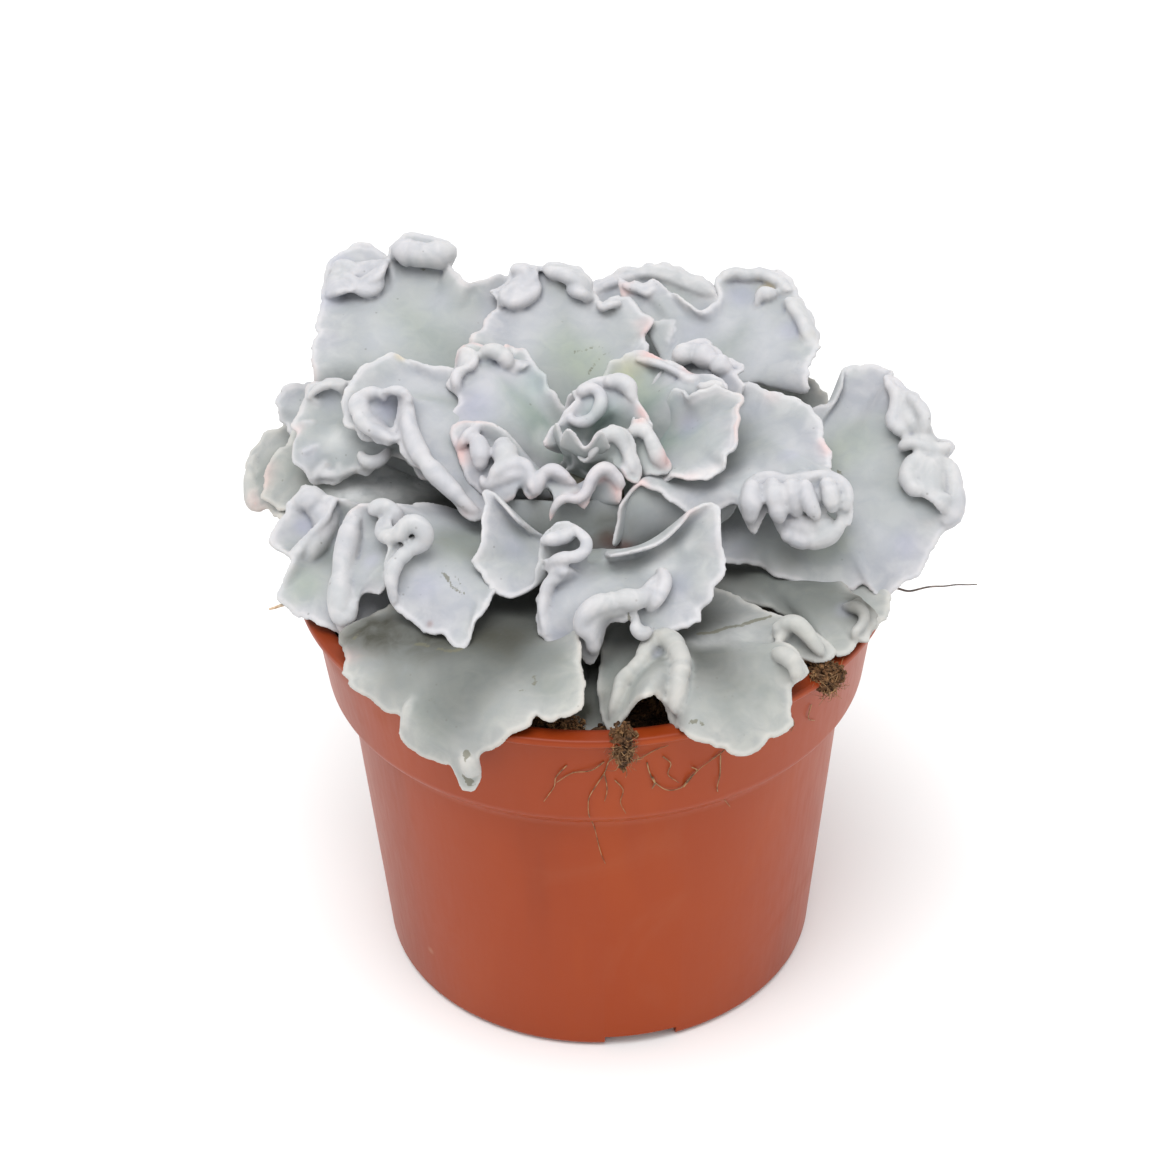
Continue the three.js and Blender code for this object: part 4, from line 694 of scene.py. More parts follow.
# Each leaf: facing (degrees), height of its root, rise of its midrib, the point where the midrib
# ends, and stations round its margin: x, y, z, then how far the lip tips up and curls (degrees).
leafTable = {
    "leaf_front_left_low": dict(
        facing=-113, root=86, rise=35, heart=(-23.5, -48.5, 98), seed=3, margin=[
        (-32, -22.5, 98), (-43.5, -27, 98), (-48, -31, 97), (-47, -36.5, 95), (-46, -42, 93.5),
        (-41, -45.5, 91, -20), (-36.5, -48.5, 90, -20), (-37, -51, 87.5, -20), (-34, -53, 85, -20),
        (-28, -55.5, 84.3, -20), (-26.4, -57.4, 83.2, -20), (-25.5, -58.8, 82.2, -20),
        (-22.9, -59, 82.1, -20), (-22.1, -58.8, 84.4, -20), (-22.5, -58, 87.3, -20), (-17.5, -58.5, 93, -15),
        (-13, -57, 95), (-12, -56, 96), (-8.5, -57.5, 96), (-3.5, -56, 97), (-3, -50.5, 99), (-3.5, -42, 101),
        (-3, -34, 101)]),
    "leaf_front_right_low": dict(
        facing=-62, root=83, rise=35, heart=(19.5, -45, 99), tip=9, seed=4, margin=[
        (1.5, -31, 94), (0.5, -44.5, 92), (2.5, -53.5, 90, -30), (6.5, -54.5, 97, -30), (9, -57.5, 101, -30),
        (12, -54, 97, -30), (14, -54, 92.5, -20), (17, -60, 94.5), (22, -61, 92, -15), (26, -61, 90, -20),
        (30.5, -59.5, 91, -15), (32.5, -58, 92), (35.5, -56, 93), (35.5, -53, 94), (36, -49, 96),
        (38, -48, 98, 0, 60), (36.5, -43, 99.5, 0, 100), (34.5, -39, 97, 0, 60), (38.5, -39, 96),
        (41.5, -40.5, 95), (44, -38.5, 96, 0, 40), (41, -36.5, 98, 0, 80), (38.5, -33, 99.5, 0, 80),
        (36, -32, 98.5), (30, -26, 98), (23.5, -18.5, 96)]),
    "leaf_front_under": dict(
        facing=-91, root=79.5, rise=20, heart=(-1, -36, 88), seed=5, margin=[
        (-5, -32, 90), (-6, -42, 88), (-4.5, -47.5, 86.5), (-1.5, -49, 86), (1, -47.5, 86.5), (2, -39, 88)]),
    "leaf_front_upper": dict(
        facing=-92, root=97, rise=35, heart=(3, -30.5, 107.5), spread=1.5, tip=20, seed=6, margin=[
        (-14, -19, 113), (-20, -13, 116.5), (-20.5, -18, 113.5), (-21, -22, 110.5), (-23, -24, 108.5),
        (-20.5, -25.5, 106.5), (-20, -27, 105, -15), (-15.5, -29, 103, -20), (-11.5, -29.5, 105, -10),
        (-10, -27, 110, 0, 30), (-8.5, -24, 113, 0, 60), (-4.5, -23, 115.5, 0, 60), (-1, -26.5, 113, 0, 60),
        (-3.5, -28.5, 111, 0, 40), (-9, -28, 110), (-7.5, -29.5, 109.5), (-4.5, -31, 110, 0, 40),
        (-8, -30.5, 108), (-10, -30.5, 105.5), (-10.5, -33.5, 102.5, -20), (-9.5, -37.5, 99.5, -20),
        (-5, -38.5, 98, -20), (-1, -40, 96.5, -20), (1, -38.5, 99.5, -30), (2, -37.5, 103.5, -40),
        (5, -38.5, 105.5, -40), (7.5, -38.5, 106, -30), (7, -38.5, 103.5, -20), (9, -39.5, 100.5, -20),
        (11.5, -39, 101.5, -10), (14.5, -39, 102), (18, -38.5, 103.5), (19.5, -36, 105), (21, -35, 107),
        (23.5, -32.5, 110.5), (24, -30, 112.5), (23, -27.5, 115.5), (23, -22, 118), (18.5, -23, 117),
        (13.5, -26, 114.5), (7.5, -28, 112.5), (2.5, -28, 111.5)]),
    "leaf_right_front_low": dict(
        facing=-22, root=85.5, rise=35, heart=(40, -21.5, 98), seed=7, margin=[
        (32, -22, 95), (40.5, -29, 94), (45, -36.5, 93.5), (47.5, -36, 94), (49.5, -33.5, 94.5),
        (49, -33, 96, 0, 60), (50.5, -34, 95, 0, 60), (53, -30.5, 96.5, 0, 60), (53, -28, 98, 0, 60),
        (50.5, -26.5, 99, 0, 60), (48.5, -21.5, 98), (42.5, -14.5, 98)]),
    "leaf_right_under": dict(
        facing=8, root=82.5, rise=30, heart=(41, -8.5, 96), seed=8, margin=[
        (43.5, -23, 92), (51, -32, 93.5), (54.5, -28, 94), (56, -24, 95), (56.5, -20.5, 96), (54, -15.5, 97),
        (45, -3, 97)]),
    "leaf_right_low": dict(
        facing=3, root=92, rise=35, heart=(48, -1.5, 108), curlRadius=2.6, tip=13, seed=9, margin=[
        (21, -9.5, 101), (25, -15, 101.5, -25), (32.5, -16, 100.5, -20), (35.5, -18.5, 99.5, -20),
        (40, -19, 99, -20), (47.5, -20, 97.5, -20), (52, -19, 98.5, -10), (54, -20.5, 97, -20),
        (56.5, -20, 95.5, -20), (60.5, -18, 97.5, -10), (65.5, -12.5, 101), (67.5, -9, 103, 0, 30),
        (71, -8, 104.5, 0, 90), (72, -4, 107, 0, 140), (71, 1, 110.5, 0, 150), (69.5, 3, 112.5, 0, 150),
        (71.5, 5.5, 113.5, 0, 130), (67.5, 6, 115, 0, 130), (66.5, 8.5, 117.5, 0, 150), (64, 14, 120, 0, 150),
        (60.5, 16, 121, 0, 100), (59.5, 21, 121.5, 0, 30), (54, 23.5, 121), (51.5, 23.5, 120.5),
        (50.5, 19, 119), (48.5, 16, 117), (42, 17, 113)]),
    "leaf_back_right_under": dict(
        facing=40, root=85, rise=35, heart=(41.5, 30, 105), seed=10, margin=[
        (42.5, 18.5, 100), (47.5, 25.5, 105), (49, 31, 108), (47.5, 32.5, 110), (45, 33.5, 111.5),
        (40.5, 36, 112), (36.5, 37, 112), (33.5, 36, 111), (29, 36.5, 106)]),
    "leaf_back_under": dict(
        facing=78, root=88, rise=42, heart=(14, 55, 115), seed=11, margin=[
        (29, 52, 114), (28, 56, 118.5), (26, 60, 120, 0, 40), (22, 61.5, 121, 0, 60), (16, 65, 122, 0, 60),
        (12.5, 65.5, 122, 0, 60), (9, 64, 121.5, 0, 60), (4.5, 62.5, 120.5, 0, 60), (1, 59.5, 120, 0, 40),
        (1, 56, 119), (2.5, 52, 112)]),
    "leaf_back_right": dict(
        facing=56, root=97, rise=45, heart=(32, 35, 122.5), tip=11, seed=12, margin=[
        (28.5, 24, 116), (31.5, 23.5, 117.5), (35, 24, 119), (38, 22, 119.5), (40.5, 19, 119, -15),
        (43, 17.5, 120), (43.5, 21, 122), (45.5, 27, 123.5), (46, 33, 124.5, 0, 30), (43.5, 40.5, 127, 0, 90),
        (41.5, 45.5, 128, 0, 140), (36.5, 50, 129, 0, 150), (32.5, 49.5, 129, 0, 130),
        (28.5, 49, 128.5, 0, 130), (26.5, 45.5, 128, 0, 80), (27, 42.5, 126.5), (23.5, 39.5, 125),
        (20, 43, 126), (17, 46.5, 126.5), (14.5, 49, 127.5), (12.5, 48, 126.5), (10, 50, 126), (7, 51.5, 126),
        (7.5, 47.5, 124), (12.5, 41, 122.5), (17.5, 38.5, 120.5)]),
    "leaf_right_upper": dict(
        facing=-4, root=100, rise=45, heart=(34, 3, 117), tip=16, seed=13, margin=[
        (4, -17, 106.5), (5, -14.5, 110.5, -30), (6, -12, 114, -40), (9, -10.5, 116.5, -60),
        (12.5, -10, 115, -70), (15, -12.5, 113.5, -70), (20.5, -14, 112, -60), (25, -13.5, 113, -60),
        (28, -13, 113.5, -60), (30.5, -17.5, 109.5, -60), (33.5, -13.5, 114, -60), (35.5, -18, 110.5, -60),
        (40.5, -15, 113.5, -60), (43, -18.5, 112, -60), (45.5, -14.5, 116, -50), (47.5, -19, 112.5, -40),
        (49, -16.5, 116.5, -20, 40), (46, -11.5, 118.5, 0, 60), (44, -12, 118.5, 0, 20), (46, -6, 119),
        (44.5, -1, 120), (43.5, 4, 120.5), (41.5, 9, 121), (35.5, 12, 122.5), (30, 14, 123)]),
    "leaf_back_right_inner": dict(
        facing=46, root=103, rise=50, heart=(21, 17, 121.5), seed=14, margin=[
        (29, 11, 123), (29, 14, 125), (29, 18.5, 125.5, 0, 60), (25.5, 20, 126, 0, 100),
        (24, 24, 126, 0, 120), (21, 26, 126, 0, 120), (18.5, 23.5, 126, 0, 100), (16, 18.5, 125, 0, 40),
        (13, 15.5, 122.5)]),
    "leaf_right_inner": dict(
        facing=10, root=106, rise=50, heart=(21.5, 2.5, 120), tip=5, seed=15, margin=[
        (14, -8.5, 116), (20.5, -11.5, 118), (24, -11, 119.5, 0, 30), (26, -8, 121.5, 0, 40),
        (27.5, -1.5, 123.5, 0, 40), (29, 3.5, 125.5, 0, 30), (26, 5, 126), (23.5, 5, 125.5, 0, 80),
        (20, 5.5, 124.5, 0, 60), (17.5, 8.5, 124.5)]),
    "leaf_back_right_heart": dict(
        facing=58, root=108, rise=55, heart=(14.5, 11.5, 123), seed=16, margin=[
        (24.5, 8, 125), (26, 10, 125.5, 0, 60), (22.5, 13.5, 125.5, 0, 100), (20, 14, 125.5, 0, 80),
        (17, 16, 126, 0, 60), (14, 19.5, 125.5), (10, 20.5, 126), (6.5, 20, 125.5), (3.5, 18, 124)]),
    "leaf_back": dict(
        facing=97, root=101, rise=48, heart=(-5, 40.5, 122.5), tip=11, seed=17, margin=[
        (10, 30, 117), (11.5, 33, 120), (10.5, 36, 121), (12.5, 39, 123), (10, 42, 124), (7.5, 45.5, 125),
        (4, 45.5, 125), (2.5, 43, 125), (0.5, 46, 126, 0, 80), (0.5, 48, 127.5, 0, 140),
        (-1.5, 51, 129, 0, 150), (-5.5, 53, 129.5, 0, 150), (-9, 52.5, 129.5, 0, 120),
        (-12, 53, 129.5, 0, 120), (-15.5, 53, 129, 0, 120), (-16.5, 49.5, 127, 0, 80),
        (-19.5, 48.5, 126, 0, 30), (-18.5, 45, 125), (-20.5, 41.5, 124, 0, 30), (-21.5, 38, 122.5),
        (-23.5, 34.5, 122), (-22.5, 30.5, 118)]),
    "leaf_back_left_inner": dict(
        facing=128, root=107, rise=55, heart=(-17, 15.5, 121), seed=18, margin=[
        (-7, 15, 120), (-9, 18.5, 122), (-11.5, 23, 123, 0, 60), (-14, 27, 124, 0, 80),
        (-16.5, 28.5, 124.5, 0, 60), (-19, 25, 124), (-21.5, 28.5, 124.5, 0, 60), (-24.5, 29.5, 124.5, 0, 60),
        (-26.5, 26.5, 124, 0, 40), (-26.5, 21.5, 123), (-28, 17.5, 122, 0, 40), (-26, 15, 120.5),
        (-28, 10.5, 118.5, 0, 30), (-26, 7.5, 117)]),
    "leaf_front_inner": dict(
        facing=-112, root=106, rise=45, heart=(-9.5, -6.5, 115), tip=15, seed=19, margin=[
        (-18, 3, 121), (-21, 4, 121.5), (-23.5, 5, 121, 0, 40), (-26, 5, 120, 0, 60),
        (-26.5, 2, 117.5, 0, 60), (-24.5, -2.5, 114.5, -20, 30), (-21.5, -5, 113, -40),
        (-19.5, -9.5, 112.5, -60), (-16, -10.5, 113, -60), (-14, -7.5, 116, -50), (-11, -11, 114, -60),
        (-8.5, -7, 116.5, -50), (-6.5, -8.5, 116, -50), (-3, -10.5, 115.5, -40), (-6, -11.5, 114.5, -40),
        (-8.5, -15, 111.5, -60), (-5, -11, 115, -50), (-2, -13.5, 113.5, -60), (1.5, -9, 117.5, -40),
        (5, -11.5, 116, -40), (5, -12.5, 114)]),
    "leaf_back_left": dict(
        facing=122, root=95, rise=48, heart=(-38.5, 43, 122), curlRadius=2.6, tip=9, seed=20, margin=[
        (-17.5, 35.5, 115), (-16, 45, 121), (-17, 54, 126), (-22.5, 51.5, 126.5), (-26, 49.5, 127, 0, 20),
        (-29.5, 55, 128.5, 0, 60), (-28, 60.5, 129.5, 0, 140), (-31.5, 62.5, 130.5, 0, 160),
        (-35.5, 62, 130.5, 0, 160), (-39, 63.5, 131, 0, 160), (-41.5, 60, 130.5, 0, 120),
        (-42, 57, 129, 0, 40), (-43.5, 61, 129.5, 0, 120), (-48, 62, 129, 0, 140), (-51.5, 62, 128.5, 0, 140),
        (-54, 60, 127, 0, 120), (-55, 54, 124.5, 0, 40), (-55.5, 43.5, 122), (-56.5, 32.5, 119),
        (-55.5, 30, 112.5), (-45, 35, 105)]),
    "leaf_left_inner": dict(
        facing=142, root=104, rise=50, heart=(-33.5, 16, 120), tip=8, seed=21, margin=[
        (-22.5, 21, 119), (-27, 21.5, 122.5), (-32.5, 21.5, 123.5), (-36, 23.5, 124.5), (-38.5, 25, 125),
        (-41.5, 22, 125, 0, 20), (-45.5, 19, 124.5, 0, 30), (-48, 16, 123, 0, 40), (-48.5, 13, 121, 0, 60),
        (-46.5, 9, 118, 0, 60), (-42.5, 8, 116, 0, 60), (-39.5, 7.5, 117, 0, 40), (-43.5, 9.5, 120.5),
        (-44.5, 11.5, 123), (-41, 12, 124, 0, 30), (-37.5, 12, 124, 0, 60), (-38, 8.5, 120.5, 0, 60),
        (-37, 4, 117, 0, 60), (-32.5, -1.5, 114, 0, 60), (-27.5, -7, 111.5, 0, 60),
        (-22.5, -11.5, 109.5, 0, 30), (-19, -8, 109)]),
    "leaf_left_upper": dict(
        facing=166, root=98, rise=45, heart=(-49, 18, 113), tip=7, seed=22, margin=[
        (-35, 31.5, 113), (-43, 26.5, 119), (-48.5, 23, 120), (-52, 24.5, 120, 0, 30),
        (-55, 24.5, 118.5, 0, 30), (-57.5, 23.5, 116.5), (-59.5, 19.5, 113.5, -20), (-59, 16.5, 112, -20),
        (-60, 15, 110, -30), (-59.5, 12, 108.5, -30), (-56.5, 9.5, 106, -30), (-54, 10, 106.5),
        (-51, 8.5, 106.5, -30), (-47, 8.5, 108.5, -20), (-44, 8, 109, -20), (-41.5, 10, 111),
        (-38.5, 11.5, 111), (-32.5, 6.5, 107)]),
    "leaf_back_left_under": dict(
        facing=152, root=90, rise=42, heart=(-56.5, 29.5, 108.5), neck=7, seed=23, margin=[
        (-52.5, 38, 110.5), (-58, 35.5, 112, 0, 30), (-61, 35, 112, 0, 40), (-63.5, 34, 110.5, 0, 40),
        (-64.5, 32.5, 109), (-63.5, 31, 107), (-62, 29, 106), (-57.5, 25.5, 105)]),
    "leaf_left_low": dict(
        facing=172, root=84, rise=35, heart=(-60.5, 24, 100), tip=5, seed=24, margin=[
        (-56.5, 39, 99), (-63.5, 38.5, 102.5), (-65, 35.5, 101, 0, 30), (-68.5, 34, 99.5, 0, 40),
        (-71, 32, 97.5, 0, 40), (-71.5, 27, 95.5), (-71, 21.5, 93.5), (-69.5, 18, 92.5), (-67, 17, 94.5),
        (-63, 9.5, 96), (-57, 2, 96)]),
    "leaf_left_middle": dict(
        facing=179, root=87.5, rise=38, heart=(-50, 11.5, 103), seed=25, margin=[
        (-54.5, 31.5, 106), (-60, 28.5, 107), (-62, 24.5, 105), (-64.5, 21, 103), (-66.5, 19, 100.5),
        (-67, 16, 98.5), (-65, 13, 97.5), (-60.5, 8.5, 98.5), (-52.5, -2.5, 99), (-38.5, -10, 99)]),
    "leaf_left_front_low": dict(
        facing=193, root=91, rise=35, heart=(-51, -9.5, 99), tip=8, seed=26, margin=[
        (-42.5, 2, 103), (-49, -1.5, 107), (-52.5, 0, 108, 0, 40), (-56, 2.5, 108, 0, 50),
        (-58.5, 0.5, 106, 0, 40), (-61, -3, 104), (-63, -7.5, 102), (-60.5, -9.5, 101), (-59, -13, 101),
        (-60.5, -15.5, 98.5), (-61, -16.5, 96.5, -20), (-59, -19.5, 95, -20), (-56, -22, 94.5, -10),
        (-52.5, -24, 94), (-48.5, -25.5, 93), (-38, -20, 94)]),
    "leaf_left_front": dict(
        facing=213, root=93.5, rise=40, heart=(-35.5, -19.5, 108), spread=1.4, tip=12, seed=27, margin=[
        (-32, -4, 108), (-38.5, -9.5, 111, 0, 30), (-43, -10, 112.5, 0, 90), (-46.5, -10, 110.5, 0, 60),
        (-49, -13, 106.5, 0, 40), (-50, -17.5, 101.5, -20), (-51, -22.5, 97.5, -30), (-49, -26.5, 94.5, -30),
        (-47, -27, 96, -30), (-46, -24.5, 99.5, -40), (-43.5, -24.5, 102.5, -30), (-40, -25.5, 104.5, -20),
        (-39, -22.5, 109), (-38, -19.5, 111.5, 0, 30), (-35, -17, 113.5, 0, 70), (-32, -20.5, 112.5, 0, 100),
        (-36.5, -21, 109.5, 0, 90), (-39.5, -25, 107, 0, 60), (-39.5, -26.5, 105), (-38.5, -29.5, 102, -10),
        (-34, -32.5, 101, -20), (-28.5, -36.5, 100, -20), (-24.5, -39, 99.5, -20), (-23, -36, 102.5),
        (-20.5, -32.5, 103.5), (-19.5, -29.5, 104.5), (-15.5, -23, 104)]),
    "heart_leaf_back": dict(
        facing=100, root=112, rise=75, heart=(1.5, 5, 122.5), neck=5, seed=28, margin=[
        (11, 1.5, 121), (10, 3.5, 123.5), (8.5, 5.5, 125.5), (7.5, 9, 126.5), (5, 10, 127.5, 0, 60),
        (2, 10, 127, 0, 60), (-1, 9, 126.5, 0, 60), (-3, 7.5, 125.5, 0, 30), (-2.5, 5.5, 125),
        (-5, 3.5, 123, 0, 40), (-7.5, 1, 121), (-9, -1, 119.5)]),
    "heart_leaf_front": dict(
        facing=-88, root=112.5, rise=70, heart=(2.5, -4.5, 119), neck=4, tip=3, seed=29, margin=[
        (-2.5, -4, 119), (-1, -6.5, 119), (1, -5.5, 121.5), (3.5, -3.5, 124.5), (6.5, -4, 123),
        (8, -6.5, 120.5), (9, -9, 117.5), (7, -10.5, 117), (5.5, -8.5, 119)]),
    "heart_leaf_right": dict(
        facing=-35, root=112, rise=70, heart=(9.5, -3.5, 119.5), neck=4, tip=4, seed=30, margin=[
        (6, -4.5, 119), (7.5, -2.5, 122.5), (9.5, -1.5, 125), (11.5, -4, 123.5), (12.5, -6, 121),
        (14.5, -6.5, 118.5), (14, -8, 117.5), (10, -7.5, 117)]),
}
